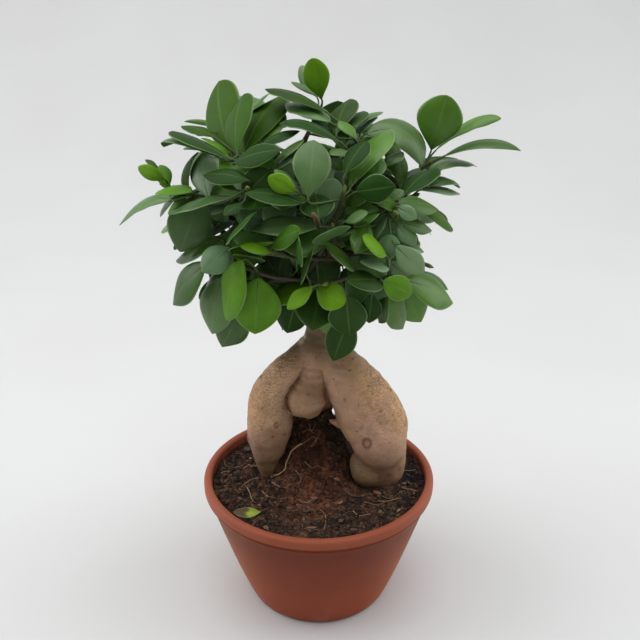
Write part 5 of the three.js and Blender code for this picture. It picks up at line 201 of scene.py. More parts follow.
        ((-35.5, -47.1, 264.6), (-44.1, -54.8, 274.7), (-55.8, -55.2, 255.2), (-57, -46.8, 234), (-0.76, -0.64, 0.12), 25.3, 2.53, 'B', 'L'),
        ((-56.1, -43.6, 274.1), (-52.6, -45.1, 279.4), (-58.2, -56.1, 276.3), (-67.4, -61.4, 269.4), (0.46, -0.73, 0.51), 16.2, 1.62, 'S', 'L'),
        ((-39.4, -47.2, 266.1), (-36.1, -50, 262.2), (-37.7, -52.2, 241), (-39.9, -41.6, 222.6), (0.05, -0.98, -0.21), 29, 2.9, 'B', 'L'),
        ((-57.4, -43.1, 274.8), (-59.1, -31.6, 280.8), (-79.4, -24.1, 276.8), (-92.2, -13.6, 262.2), (-0.57, -0.22, 0.8), 23, 2.3, 'D', 'L'),
        ((-54.8, -44.1, 273.4), (-68.1, -41.7, 269.1), (-85.2, -39.9, 255.8), (-92.7, -30.1, 237.9), (-0.72, -0.59, 0.35), 23.2, 2.32, 'D', 'L'),
        ((-53.5, -44.6, 272.7), (-59.2, -39.7, 258.9), (-67.3, -41.4, 238.3), (-68.7, -31.4, 218.5), (-0.5, -0.86, -0.06), 24.5, 2.45, 'G', 'L'),
        ((-49.7, -45.7, 270.8), (-59.8, -35.1, 258.8), (-71.9, -28.4, 250.2), (-75.4, -18.4, 237.9), (-0.86, -0.33, 0.38), 17.3, 1.73, 'D', 'L'),
        ((-51, -45.4, 271.4), (-51.4, -52.8, 284.7), (-47.7, -62.8, 298.4), (-36.1, -73.9, 305.1), (-0.74, 0.1, 0.66), 25.4, 2.55, 'P', 'F'),
        ((-23.8, -44.5, 260.9), (-24.7, -32.1, 275.6), (-37.1, -36.3, 282.6), (-51.9, -36.1, 283.3), (0.3, -0.55, 0.78), 18.9, 1.89, 'G', 'R'),
        ((-52.2, -44.3, 272.3), (-55.1, -39.4, 276.2), (-53.6, -29.1, 285), (-50, -16.3, 287.2), (-0.28, -0.36, 0.89), 19.2, 1.92, 'D', 'F'),
    ]),
    ('shoot_middle_left', [(-56, -10, 276), (-60.35, -8.71, 279.2), (-64.69, -7.42, 282.7), (-69.04, -6.12, 286.51)], (1.7, 1.52, 1.33, 1.15), [
        ((-65.8, -7.1, 283.6), (-62.6, -20.5, 289.4), (-66.8, -23, 290.7), (-71.4, -24.6, 289.1), (0.11, -0.3, 0.95), 5.8, 0.29, 'S', 'L'),
        ((-68, -6.5, 285.5), (-70.3, -19.3, 289.2), (-74, -22.6, 287.5), (-76.7, -24.3, 283.4), (-0.31, -0.53, 0.79), 5.7, 0.29, 'D', 'L'),
        ((-61.4, -8.4, 280), (-72.1, 8.3, 267.2), (-77.2, 29.3, 268.7), (-76, 48.6, 258.9), (-0.49, 0.13, 0.86), 26.9, 2.7, 'M', 'R'),
        ((-59.6, -8.9, 278.6), (-66.2, -11.8, 272.1), (-75.9, -16.5, 263.8), (-78.5, -20.8, 251.1), (-0.85, -0.05, 0.52), 21.3, 2.13, 'D', 'R'),
        ((-68.7, -6.2, 286.2), (-80.5, 8.5, 285.3), (-97.2, 21.9, 285.1), (-108.3, 35.8, 273.1), (-0.43, -0.04, 0.9), 26.6, 2.66, 'G', 'R'),
    ]),
    ('shoot_middle_back_right', [(23.44, 29.69, 267), (30.88, 35.47, 269.13), (38.32, 41.25, 271.79), (45.76, 47.04, 274.96)], (1.9, 1.65, 1.4, 1.15), [
        ((37.7, 40.8, 271.6), (30.7, 57.6, 277.9), (36.7, 73.6, 270.3), (39.6, 82.7, 254.2), (0.27, 0.61, 0.74), 26.4, 2.64, 'G', 'R'),
        ((40.8, 43.2, 272.8), (49, 48.3, 290.7), (52.4, 67.2, 292.7), (55.5, 83.6, 283.2), (0.03, 0.2, 0.98), 26.1, 2.6, 'D', 'R'),
        ((42.7, 44.6, 273.6), (53, 45.5, 278), (60.4, 60.7, 281.3), (59.9, 77.7, 277.9), (0.75, -0.16, 0.64), 19, 1.9, 'M', 'R'),
        ((30.3, 35, 268.9), (40.8, 15.2, 271.7), (42, 17.8, 283), (41.5, 25.8, 291.4), (0.28, -0.85, 0.45), 15.3, 1.53, 'D', 'F'),
        ((36.5, 39.8, 271.1), (28.2, 47.5, 276), (16.6, 55, 284.6), (0.9, 58.8, 286.5), (0.47, 0.43, 0.77), 18.5, 1.85, 'D', 'R'),
        ((32.1, 36.4, 269.6), (27.8, 43.1, 268.6), (18.6, 46.6, 279), (5.3, 45.9, 284.3), (0.53, 0.54, 0.65), 18.6, 1.86, 'G', 'R'),
        ((33.4, 37.4, 270), (29, 22.7, 255.3), (39.1, 12.9, 256.5), (43.4, -0.1, 253.9), (0.75, 0.45, 0.48), 17.3, 1.73, 'G', 'R'),
    ]),
    ('shoot_upper_right', [(47.12, 2.12, 295.25), (51.09, -7.42, 298.67), (55.06, -16.97, 302.67), (59.03, -26.51, 307.27)], (1.9, 1.65, 1.4, 1.15), [
        ((56.7, -20.9, 304.5), (63, -15.6, 308.5), (79.2, -5.1, 310.9), (92.3, 6, 301.9), (0.25, -0.05, 0.97), 15.8, 1.98, 'S', 'L'),
        ((58.7, -25.7, 306.9), (46.1, -52.7, 294.5), (50.9, -57.2, 289.8), (56.5, -57, 283.7), (-0.13, -0.96, 0.25), 9.8, 0.98, 'S', 'L'),
        ((57.7, -23.3, 305.7), (62.4, -41.5, 300.3), (76.4, -33.7, 296.6), (83.6, -23.6, 285.7), (0.67, -0.22, 0.71), 17.3, 1.73, 'K', 'L'),
        ((54.7, -16.2, 302.3), (53.9, -13.6, 310), (58, -8.7, 317.4), (63.8, -1.2, 319.8), (-0.29, -0.44, 0.85), 9.7, 0.97, 'G', 'L'),
        ((54.1, -14.6, 301.6), (51, -12.3, 308.5), (52.8, -3.1, 325.4), (47.4, 12.4, 335.5), (0.62, -0.54, 0.57), 19.8, 1.98, 'K', 'T'),
        ((49.8, -4.2, 297.5), (34.2, 7, 297), (36.8, 15.6, 310.7), (31.1, 25.9, 322), (0.94, -0.2, 0.27), 19, 1.9, 'D', 'R'),
        ((50.1, -5, 297.8), (45.4, -11.5, 292.9), (43.2, -15.5, 304.5), (35.6, -21.4, 312.5), (0.79, 0.29, 0.54), 14.7, 1.47, 'D', 'R'),
        ((52.7, -11.4, 300.3), (47.3, -11.5, 304.7), (50, -22.3, 307.5), (50.6, -33.4, 304.4), (0.33, 0.04, 0.94), 14.4, 1.44, 'M', 'F'),
    ]),
    ('shoot_middle_back_left_b', [(-42, 30, 266), (-41.33, 40.08, 266.57), (-40.67, 50.15, 267.69), (-40, 60.23, 269.34)], (1.9, 1.65, 1.4, 1.15), [
        ((-40.1, 59.4, 269.2), (-37, 63.4, 270.2), (-42.8, 68, 290.3), (-45.7, 59.8, 310), (-0.23, 0.97, 0.04), 27.6, 2.76, 'M', 'R'),
        ((-40.3, 56, 268.6), (-28.5, 59.5, 276.4), (-27.5, 67.9, 289.3), (-21.7, 80.8, 295.5), (-0.5, -0.48, 0.72), 26.4, 2.64, 'D', 'R'),
        ((-41.5, 37.6, 266.4), (-29.3, 47.1, 257.3), (-34.1, 65.5, 263.4), (-35.8, 84.6, 257.7), (-0.26, -0.05, 0.96), 26.2, 2.62, 'D', 'R'),
        ((-40.7, 50.1, 267.7), (-44.9, 52.6, 271.3), (-58.4, 62, 274.2), (-71.6, 69.5, 267), (-0.04, 0.19, 0.98), 25.8, 2.57, 'M', 'R'),
        ((-40.1, 58.5, 269), (-56.3, 52.6, 280.6), (-69.1, 47.4, 276.7), (-75.9, 38.8, 267.3), (-0.69, 0.37, 0.62), 16.3, 1.63, 'D', 'R'),
        ((-40.5, 52.7, 268.1), (-45.7, 49.2, 280.1), (-53.1, 46.5, 290.4), (-61.6, 38.7, 296.2), (0.17, 0.74, 0.65), 17.8, 1.78, 'D', 'F'),
        ((-41.3, 40.1, 266.6), (-39.9, 38.2, 274.9), (-37.3, 47.8, 285), (-29.4, 58.6, 289.6), (-0.69, -0.15, 0.71), 19.3, 1.93, 'D', 'R'),
        ((-40.8, 48.5, 267.5), (-47.5, 49.3, 273.7), (-56, 43.1, 262.3), (-56.6, 37.2, 248.1), (-0.94, -0.03, 0.35), 20.5, 2.05, 'M', 'R'),
    ]),
    ('shoot_upper_front_left_b', [(-47, 4, 308), (-57.44, -6.84, 304.03), (-67.56, -17.96, 304.05), (-77.38, -29.35, 308.05)], (1.87, 1.63, 1.39, 1.15), [
        ((-74.2, -25.5, 306.3), (-75.9, -33, 310.5), (-89.9, -22.6, 313.7), (-101.3, -11.1, 306.4), (-0.24, -0.09, 0.97), 17.5, 1.75, 'B', 'L'),
        ((-76.6, -28.4, 307.6), (-87.4, -39.6, 307), (-105.3, -32.2, 312.2), (-120.3, -35.2, 290.4), (-0.46, -0.11, 0.88), 22, 2.2, 'G', 'L'),
        ((-70, -20.8, 304.7), (-71.8, -26.8, 305.7), (-78.2, -33.9, 289.4), (-85.8, -29.6, 272.6), (0.1, -0.99, 0.04), 26.1, 2.6, 'G', 'L'),
        ((-75, -26.5, 306.7), (-77.9, -33.1, 307.5), (-86.6, -25.8, 308.3), (-92.7, -17.9, 302.7), (-0.38, -0.08, 0.92), 11.4, 1.14, 'B', 'L'),
        ((-72.5, -23.6, 305.6), (-80, -25.6, 304.2), (-89.7, -22.1, 300.6), (-94.6, -15, 293.9), (-0.71, -0.52, 0.47), 11.4, 1.14, 'B', 'L'),
        ((-63.4, -13.3, 303.6), (-69.1, -10.1, 306.6), (-83.9, -3.8, 301.2), (-91.6, 4.4, 288.4), (-0.69, -0.17, 0.71), 18.8, 1.88, 'G', 'F'),
        ((-71.7, -22.7, 305.2), (-82.6, -17.4, 288.9), (-91.1, -5.3, 280.9), (-91, 5, 267.7), (-0.85, 0.16, 0.5), 22.8, 2.28, 'G', 'R'),
        ((-59.1, -8.7, 304), (-52.9, -14.5, 301.9), (-37.3, -19.1, 294.4), (-26.1, -17.9, 280.5), (0.45, -0.61, 0.66), 24.4, 2.44, 'M', 'R'),
    ]),
    ('shoot_middle_right_a', [(7.38, -26.69, 271.31), (20.77, -26.92, 271.07), (34.17, -27.16, 271.54), (47.57, -27.4, 272.72)], (1.9, 1.65, 1.4, 1.15), [
        ((38.6, -27.2, 271.9), (44.1, -34.3, 267.6), (54.5, -34, 258.7), (62.1, -26, 250.6), (0.34, -0.94, -0.1), 13.4, 1.34, 'S', 'L'),
        ((47.6, -27.4, 272.7), (40.6, -51.1, 272.4), (40.6, -58, 280.4), (41.6, -59, 290.8), (-0.16, -0.91, -0.39), 12.6, 1.26, 'S', 'L'),
        ((34.2, -27.2, 271.5), (40.6, -36.7, 278), (33.6, -49.6, 272.3), (25.5, -55.4, 260.1), (0.12, -0.73, 0.67), 17.6, 1.76, 'G', 'F'),
        ((27.5, -27, 271.3), (26.9, -24, 282.7), (37.5, -32.8, 291.3), (51.3, -41.2, 291.7), (-0.37, -0.04, 0.93), 21.2, 2.12, 'S', 'F'),
        ((19.6, -26.9, 271.1), (18.9, -39, 263.4), (25.4, -46.3, 254.9), (30.8, -47.6, 243.2), (0.16, -0.87, 0.47), 15.5, 1.55, 'G', 'R'),
        ((29.7, -27.1, 271.4), (27.3, -38.2, 280.4), (30.8, -43.8, 291.3), (40.1, -48, 298.7), (-0.85, -0.2, 0.49), 15.6, 1.56, 'S', 'R'),
    ]),
    ('shoot_top_centre_b', [(-34, 8, 292), (-22.38, 12.02, 311.27), (-10.77, 16.04, 331.82), (0.85, 20.06, 353.64)], (1.9, 1.65, 1.4, 1.15), [
        ((-0.1, 19.7, 351.8), (2.2, 8.8, 360.4), (-0.6, 2.2, 371.9), (-3.9, 3.7, 385), (0.06, -0.98, -0.19), 15.8, 1.58, 'Y', 'T'),
        ((-1.1, 19.4, 349.9), (-0.3, 31.2, 359.6), (-3.4, 26.7, 370.9), (-11.8, 27.1, 380.1), (0.71, -0.64, 0.28), 15.2, 1.52, 'S', 'T'),
        ((-4, 18.4, 344.4), (1.6, 17, 361.1), (-6.3, 14.7, 368.7), (-17.3, 15.1, 370.8), (0.45, -0.4, 0.8), 7.6, 1.26, 'G', 'T'),
        ((-6.9, 17.4, 338.9), (8.9, 17.2, 337.5), (23.1, 23.4, 345.8), (38.6, 31.1, 343.6), (-0.13, -0.15, 0.98), 23.8, 2.38, 'P', 'F'),
        ((-5, 18.1, 342.6), (-19, 35.8, 344.5), (-34.3, 44.3, 347.2), (-49.4, 49.4, 339.7), (-0.01, 0.32, 0.95), 26.6, 2.66, 'M', 'R'),
        ((-23.4, 11.7, 309.7), (-14.6, 20.1, 303.6), (-22.4, 18.2, 291.4), (-22.8, 17.7, 276.8), (-0.94, -0.18, 0.3), 19, 1.9, 'D', 'F'),
        ((-17.5, 13.7, 319.8), (-10.6, 15.8, 316.3), (-6.5, 25.9, 323.4), (0.6, 36.7, 324.3), (-0.44, -0.11, 0.89), 15.8, 1.58, 'G', 'R'),
        ((-22.4, 12, 311.3), (-29.6, 24, 307.4), (-34.3, 22.1, 320.9), (-36.5, 13.3, 332), (-0.32, 0.9, 0.3), 18, 1.8, 'M', 'R'),
        ((-16.6, 14, 321.5), (-9.2, -2.1, 321.5), (-21, -10.3, 326.6), (-33.7, -18, 323.6), (0.12, -0.05, 0.99), 17.4, 1.74, 'G', 'R'),
        ((-9.8, 16.4, 333.6), (0.8, 17.9, 328.9), (1.3, 10.8, 315.3), (-1.6, 11.1, 300.4), (0.4, -0.9, 0.18), 20.6, 2.06, 'D', 'R'),
        ((-14.6, 14.7, 325), (-22.3, 24, 327.9), (-32.6, 30.3, 331.9), (-44.1, 35.2, 329.2), (0.16, 0.2, 0.97), 15.1, 1.51, 'M', 'R'),
        ((-19.5, 13, 316.4), (-33.9, 12.9, 323.7), (-39.2, 2.1, 326.8), (-43.6, -9.1, 323.4), (-0.15, 0.06, 0.99), 14.7, 1.47, 'D', 'R'),
        ((-8.8, 16.7, 335.5), (-5.8, 35.7, 329.8), (-4.2, 49.7, 330.5), (-1.5, 62, 323.9), (-0.13, 0.24, 0.96), 16.8, 1.68, 'D', 'R'),
        ((-10.8, 16, 331.8), (-4, 36.7, 324.9), (-19.3, 37.9, 322), (-31.1, 35.8, 312.1), (-0.41, 0.37, 0.83), 20.6, 2.06, 'G', 'R'),
    ]),
    ('shoot_top_left_a', [(-34, 8, 292), (-34.61, -2.7, 301.73), (-37.98, -10, 313.54), (-44.11, -13.9, 327.42)], (1.9, 1.65, 1.4, 1.15), [
        ((-44.1, -13.9, 327.4), (-46.5, -49.4, 314.7), (-50.8, -51.3, 317.7), (-56.3, -51.6, 317.9), (0.37, -0.44, 0.82), 6.3, 0.32, 'G', 'A'),
        ((-42.9, -13.5, 325), (-68.9, -8.3, 331.3), (-77.4, 3.6, 335.3), (-85.5, 15.2, 330.1), (-0.04, 0.02, 1), 14.8, 1.48, 'G', 'A'),
        ((-41.8, -13, 322.6), (-57, -5.9, 328.5), (-63.7, 7.8, 336.6), (-75, 20.8, 335.2), (0.43, 0.07, 0.9), 16.6, 1.66, 'B', 'A'),
        ((-42.9, -13.5, 325), (-66.9, 10.8, 337.6), (-77.8, 15.3, 344.5), (-89.8, 21.9, 343.3), (0.12, -0.24, 0.96), 13.8, 1.38, 'K', 'A'),
        ((-36.2, -7.4, 308.4), (-39.4, 1.4, 318.6), (-57.5, 1, 325.6), (-76.2, 4.1, 321.3), (0.05, -0.3, 0.95), 26.2, 2.62, 'M', 'F'),
        ((-35.7, -5.1, 305.7), (-32.1, -5.2, 306.9), (-24.7, -0.7, 316.4), (-13.6, 4.7, 320.1), (-0.53, -0.13, 0.84), 15.6, 1.56, 'G', 'R'),
    ]),
    ('shoot_upper_left_a', [(-25.12, 8.5, 280.62), (-25.29, -0.83, 288.47), (-25.45, -10.16, 296.99), (-25.62, -19.49, 306.19)], (1.9, 1.65, 1.4, 1.15), [
        ((-25.6, -18.7, 305.4), (-14.2, -38.8, 318.6), (-17.3, -41.5, 324.1), (-20.9, -40, 329.7), (0.15, -0.99, -0.01), 8.1, 0.4, 'S', 'T'),
        ((-25.3, -1.6, 289.2), (-11.2, -23.2, 292.2), (3.2, -31.6, 293.9), (17.3, -36.6, 286.1), (0.04, -0.35, 0.94), 21.3, 2.13, 'S', 'F'),
        ((-25.4, -4.7, 291.9), (-20.1, -10.5, 292.5), (-14.9, -22.8, 300.5), (-8.9, -37.1, 299.2), (-0.08, 0.21, 0.97), 23, 2.3, 'D', 'F'),
        ((-25.5, -11.7, 298.5), (-30.8, -24.7, 286), (-36.2, -34.3, 295.3), (-47.7, -39.9, 301.8), (0.79, -0.51, 0.35), 17.7, 1.77, 'S', 'F'),
        ((-25.6, -17.2, 303.9), (-28.8, -28, 306.8), (-24.1, -41.5, 303.4), (-18, -50.5, 293.5), (-0.16, -0.56, 0.81), 19, 1.9, 'S', 'F'),
        ((-25.6, -15.6, 302.4), (-11.8, -25.4, 312.5), (-1.9, -37.3, 309.8), (8.7, -44.1, 300.4), (-0.09, -0.61, 0.79), 18.6, 1.86, 'D', 'R'),
        ((-25.3, -0.1, 287.8), (-13.8, -9.8, 276.6), (-16.1, -8.9, 262.4), (-12.6, -3, 249.6), (-0.75, -0.63, -0.19), 17.8, 1.78, 'G', 'F'),
    ]),
    ('shoot_lower_front_left', [(-10.5, -34.12, 257.5), (-21.54, -37.13, 257), (-32.57, -40.14, 257.11), (-43.61, -43.15, 257.82)], (1.78, 1.57, 1.36, 1.15), [
        ((-43.6, -43.1, 257.8), (-47.2, -37.6, 239.9), (-56.5, -37.8, 222.1), (-63.5, -26.2, 207.1), (-0.19, -0.95, -0.24), 21.7, 2.17, 'D', 'L'),
        ((-32.6, -40.1, 257.1), (-36.4, -36.6, 267.2), (-40, -46.8, 277.6), (-45.1, -60.7, 279.8), (0.17, 0.41, 0.9), 18.6, 1.86, 'K', 'F'),
        ((-25.2, -38.1, 257), (-40, -45.7, 257.2), (-45.1, -30.9, 259.4), (-42.2, -15.8, 256.2), (-0.83, -0.04, 0.56), 18.2, 1.82, 'M', 'F'),
        ((-23.4, -37.6, 257), (-35, -27.6, 269.3), (-51.2, -30.8, 274.6), (-67.9, -27, 272.1), (0.05, -0.68, 0.73), 26.1, 2.62, 'Y', 'F'),
        ((-17.9, -36.1, 257.2), (-13.2, -38.8, 265.2), (-16.4, -43.1, 276.8), (-12.9, -45.9, 288.7), (-0.98, -0.21, -0.05), 16.9, 1.69, 'M', 'R'),
    ]),
    ('shoot_lower_back_left', [(-32.38, 25.81, 260), (-45.4, 26.76, 257.89), (-58.42, 27.71, 256.47), (-71.44, 28.66, 255.76)], (1.9, 1.65, 1.4, 1.15), [
        ((-66, 28.3, 256), (-69.1, 33.9, 259.9), (-72, 41.4, 243.9), (-67.1, 41.3, 226.7), (-0.71, 0.7, 0.11), 26.9, 2.69, 'D', 'R'),
        ((-42.1, 26.5, 258.4), (-39.7, 39.2, 257.4), (-51.6, 53.9, 251), (-54.7, 67, 236.2), (-0.71, 0.14, 0.69), 23.4, 2.34, 'D', 'R'),
        ((-44.3, 26.7, 258.1), (-43.2, 23.6, 253.1), (-51.5, 27, 247.2), (-55.1, 32, 238.3), (-0.82, -0.28, 0.5), 13.2, 1.32, 'D', 'F'),
        ((-46.5, 26.8, 257.8), (-47.5, 15.2, 271.1), (-38.9, 24.7, 277), (-28.1, 33.5, 275.6), (-0.31, 0.09, 0.95), 17, 1.7, 'D', 'R'),
        ((-50.8, 27.2, 257.3), (-52.2, 24.8, 269.6), (-64.5, 18.7, 265), (-72.4, 13.4, 254.1), (-0.58, -0.09, 0.81), 19, 1.9, 'M', 'R'),
    ]),
    ('shoot_middle_back_centre', [(-9.25, 30.44, 262.88), (-4.77, 38.81, 263.09), (-0.3, 47.18, 263.8), (4.18, 55.55, 265.03)], (1.9, 1.65, 1.4, 1.15), [
        ((0.5, 48.6, 264), (-2.8, 58.7, 272.2), (4.6, 74.6, 269.7), (12.4, 85.3, 257.9), (-0.03, 0.49, 0.87), 25.5, 2.55, 'M', 'R'),
        ((3.8, 54.9, 264.9), (25.5, 54.2, 260.5), (45, 46.7, 262), (58, 31.5, 255.7), (0.51, 0.6, 0.61), 26.3, 2.64, 'D', 'R'),
        ((-4.8, 38.8, 263.1), (-5.2, 40.7, 251.7), (-11.1, 47.9, 239.4), (-17.5, 45.8, 225.4), (0.05, 0.98, 0.17), 23.5, 2.35, 'B', 'R'),
        ((-5.5, 37.4, 263.1), (-25.9, 27.3, 258), (-29.1, 32.9, 271.2), (-25, 40.8, 282.9), (-0.94, -0.29, 0.19), 17.4, 1.74, 'D', 'R'),
        ((-4, 40.2, 263.2), (-20.5, 45.3, 260), (-15, 51.7, 244.2), (-8.6, 48.5, 227.8), (-0.09, 0.99, 0.07), 22.9, 2.29, 'D', 'R'),
        ((3.1, 53.5, 264.7), (-6.5, 60, 256.5), (-18.4, 63.5, 265.5), (-25.3, 73.6, 274.7), (-0.6, -0.8, -0.03), 17.8, 1.78, 'M', 'R'),
        ((-1.8, 44.4, 263.6), (-8.5, 48.6, 257.9), (-11.2, 64.1, 255.8), (-13.9, 76.2, 245.8), (-0.01, 0.4, 0.92), 19.2, 1.92, 'D', 'R'),
        ((-0.7, 46.5, 263.7), (-3.1, 47.6, 249.7), (-11, 56.6, 239.9), (-19.9, 57.8, 227.3), (0.12, 0.94, 0.33), 18.2, 1.83, 'D', 'R'),
        ((1.6, 50.7, 264.3), (18.6, 43.1, 256.7), (30.6, 39.2, 255.3), (39.4, 33.6, 248), (0.46, 0.23, 0.85), 16.1, 1.61, 'D', 'R'),
        ((-1.4, 45.1, 263.6), (10.8, 41.5, 275.2), (20.4, 49.6, 265), (25.8, 51.8, 249.9), (0.48, 0.67, 0.56), 19.5, 1.95, 'M', 'R'),
    ]),
    ('shoot_top_right', [(38, 4, 286), (46.8, 4.91, 299.34), (57.64, 3.79, 311.55), (70.51, 0.65, 322.66)], (1.9, 1.65, 1.4, 1.15), [
        ((69.4, 1, 321.8), (79.1, -1.3, 327.3), (103.7, -3.6, 345.5), (122.6, -17.8, 332.5), (-0.13, -0.03, 0.99), 23.2, 2.9, 'D', 'L'),
        ((67.1, 1.6, 320), (71.4, 2.9, 329.8), (73.6, -5.7, 346.2), (78.3, -3.2, 364), (-0.21, -0.97, -0.13), 27.4, 2.74, 'M', 'L'),
        ((63.8, 2.5, 317.2), (74, 6.8, 328.7), (94.4, 6.3, 355.7), (111.6, -6.6, 350.2), (-0.52, -0.1, 0.85), 17.5, 2.92, 'M', 'L'),
        ((57.6, 3.8, 311.6), (69.4, -13.4, 310.6), (82.2, 1.8, 318.7), (92, 8.7, 305.3), (0.24, -0.02, 0.97), 18.2, 1.82, 'G', 'L'),
        ((62.8, 2.7, 316.3), (70, -6.6, 318.7), (88.1, 7.3, 329.2), (103.6, 12.9, 318.2), (0.02, -0.02, 1), 21.6, 2.16, 'G', 'L'),
        ((61.7, 3, 315.4), (65.4, 5.9, 318.1), (80.4, 17.8, 325.5), (94.5, 32, 320.7), (0.07, -0.18, 0.98), 20.2, 2.02, 'P', 'L'),
        ((49.3, 4.8, 302.5), (58.8, 18.5, 304.3), (69.7, 26.3, 314.9), (84.3, 35.2, 315.9), (-0.35, -0.11, 0.93), 19.8, 1.98, 'D', 'R'),
        ((46.8, 4.9, 299.3), (47.9, 14.7, 295.7), (54.3, 23.3, 303.5), (59.8, 35.3, 305.2), (0.12, -0.47, 0.87), 15.5, 1.55, 'M', 'R'),
        ((48.6, 4.7, 301.4), (40.8, -1.1, 302.9), (31.4, -5.2, 312), (19.6, -11.7, 314.5), (0.33, 0.32, 0.89), 18, 1.8, 'D', 'R'),
    ]),
    ('shoot_top_centre_a', [(56, 0, 304), (42.74, -5.78, 317.17), (29.47, -11.56, 331.42), (16.21, -17.34, 346.76)], (1.87, 1.63, 1.39, 1.15), [
        ((17.3, -16.9, 345.4), (4, -10.6, 355.2), (-16.5, 0.8, 368.9), (-33.1, 6.2, 367), (0.23, -0.17, 0.96), 20.3, 2.39, 'Q', 'T'),
        ((20.6, -15.4, 341.5), (7, -15.9, 349.3), (-6.3, -4, 360), (-20.5, 11.1, 358.4), (0.07, -0.25, 0.96), 21.4, 2.14, 'G', 'T'),
        ((22.8, -14.4, 338.9), (10.5, -21.9, 342.4), (12.9, -9, 356.6), (19.8, 8.6, 361), (-0.38, -0.39, 0.84), 18.6, 1.86, 'Q', 'T'),
        ((23.9, -14, 337.7), (29, -12.1, 341.9), (59.8, -6.4, 353.2), (62.8, -16.5, 323.3), (0.35, -0.54, 0.77), 26.8, 2.68, 'G', 'T'),
        ((21.7, -14.9, 340.2), (17.1, -19.3, 344.4), (21.5, -6.9, 353.7), (28.6, 7.6, 353.8), (-0.28, -0.21, 0.94), 15.6, 1.56, 'Q', 'T'),
        ((23.9, -14, 337.7), (25.6, -7.6, 341.4), (27.8, 5.4, 349.4), (34.6, 19.2, 349.2), (-0.47, -0.1, 0.88), 14.8, 1.48, 'S', 'T'),
        ((47.2, -3.9, 312.8), (40.1, 11.6, 312.7), (47, 15.5, 300.6), (46.3, 19.8, 286.7), (0.97, -0.05, 0.22), 18.6, 1.87, 'G', 'R'),
        ((42.7, -5.8, 317.2), (41, -4.9, 319.4), (41.5, 7.9, 322.4), (38.5, 20.3, 319.2), (0.49, 0.06, 0.87), 17.3, 1.73, 'D', 'R'),
        ((29.5, -11.6, 331.4), (31.6, -17.5, 332), (32.4, -28.7, 327.8), (33.1, -36.1, 318.4), (0.02, -0.59, 0.81), 14.5, 1.45, 'D', 'F'),
    ]),
    ('shoot_under_left', [(-18, -4, 248), (-19.52, 0.74, 238.25), (-21.05, 5.49, 229.05), (-22.57, 10.23, 220.42)], (1.9, 1.65, 1.4, 1.15), [
        ((-22.4, 9.8, 221.1), (-28.3, 14, 221.1), (-45.1, 24.8, 218.6), (-56.5, 34.5, 205.2), (-0.44, 0.09, 0.89), 25.2, 2.52, 'G', 'R'),
        ((-20, 2.3, 235.2), (-18.1, 7.2, 237.4), (-14.7, 19.6, 244.3), (-15.4, 34.1, 244.9), (0.53, -0.28, 0.8), 19.9, 1.99, 'M', 'R'),
        ((-19, -0.8, 241.5), (-20.9, 0.4, 244.9), (-34.2, 1.2, 245.3), (-45.7, 2, 238.7), (-0.24, 0.01, 0.97), 17.9, 1.79, 'M', 'R'),
        ((-20.9, 5.1, 229.8), (-32.3, 1.3, 230.2), (-34.4, 12.3, 236.8), (-29.8, 23.7, 241.1), (-0.94, -0.05, 0.32), 15, 1.5, 'D', 'R'),
        ((-19.3, -0.1, 239.9), (-32, -8.3, 237.8), (-41.2, -19.3, 233.8), (-44, -30.9, 225), (-0.79, 0.08, 0.61), 17, 1.7, 'D', 'R'),
        ((-20.4, 3.5, 232.9), (-9.6, -8.4, 225.5), (-17.4, -18.4, 237.8), (-22.7, -34.5, 243.1), (-0.27, 0.63, 0.73), 20.4, 2.04, 'D', 'R'),
    ]),
    ('shoot_top_back_left', [(-47.12, -10.38, 269), (-52.39, 3.67, 290.83), (-57.65, 17.72, 314.14), (-62.91, 31.77, 338.92)], (1.9, 1.65, 1.4, 1.15), [
        ((-59, 21.2, 320.2), (-55.9, 10.1, 325.7), (-68.1, 25.1, 352.4), (-67.8, 53, 370), (-0.62, -0.64, 0.45), 32, 3.2, 'K', 'A'),
        ((-51.1, 0.2, 285.2), (-53.1, -6.5, 286.2), (-70.4, -5, 284.1), (-83.1, -1.8, 272.4), (-0.43, -0.15, 0.89), 18.8, 1.88, 'S', 'L'),
        ((-56.8, 15.4, 310.1), (-71.1, 22.7, 340.1), (-75.7, 20.6, 340.1), (-80.1, 20.6, 337.8), (-0.04, -0.66, 0.75), 5.5, 0.27, 'Y', 'A'),
        ((-51.5, 1.3, 287.1), (-49.7, -7.8, 288.6), (-43.9, -23.2, 284.8), (-38.2, -33.1, 272.4), (0.01, -0.53, 0.85), 26.6, 2.67, 'D', 'F'),
        ((-62.5, 30.6, 336.8), (-65.6, 53.2, 339.8), (-79.7, 61, 345.9), (-95.5, 66.6, 341.9), (0.16, 0.2, 0.96), 25.3, 2.53, 'K', 'F'),
        ((-52, 2.5, 288.9), (-62.1, 4.8, 270.1), (-76.5, 18.5, 263.7), (-81.3, 32.7, 249), (-0.76, -0.03, 0.65), 25.2, 2.53, 'M', 'R'),
        ((-61.6, 28.3, 332.6), (-64.5, 34.3, 327.5), (-79, 34.3, 320.2), (-86.7, 36.4, 306.1), (-0.69, -0.21, 0.69), 17.7, 1.77, 'D', 'R'),
        ((-62, 29.4, 334.8), (-57.1, 25.3, 338.1), (-48.9, 12.3, 335.4), (-38.5, 4.6, 326.5), (-0.25, -0.63, 0.73), 20.3, 2.03, 'K', 'F'),
        ((-61.2, 27.1, 330.7), (-72.3, 33.5, 330.2), (-82.6, 26.7, 322.8), (-88.2, 23.1, 310.1), (-0.6, -0.41, 0.69), 17, 1.7, 'D', 'F'),
        ((-50.6, -1, 283.6), (-51.5, 8.4, 265.4), (-61, 13.5, 258.7), (-66, 16.2, 247.4), (-0.66, 0.33, 0.67), 15.3, 1.53, 'M', 'R'),
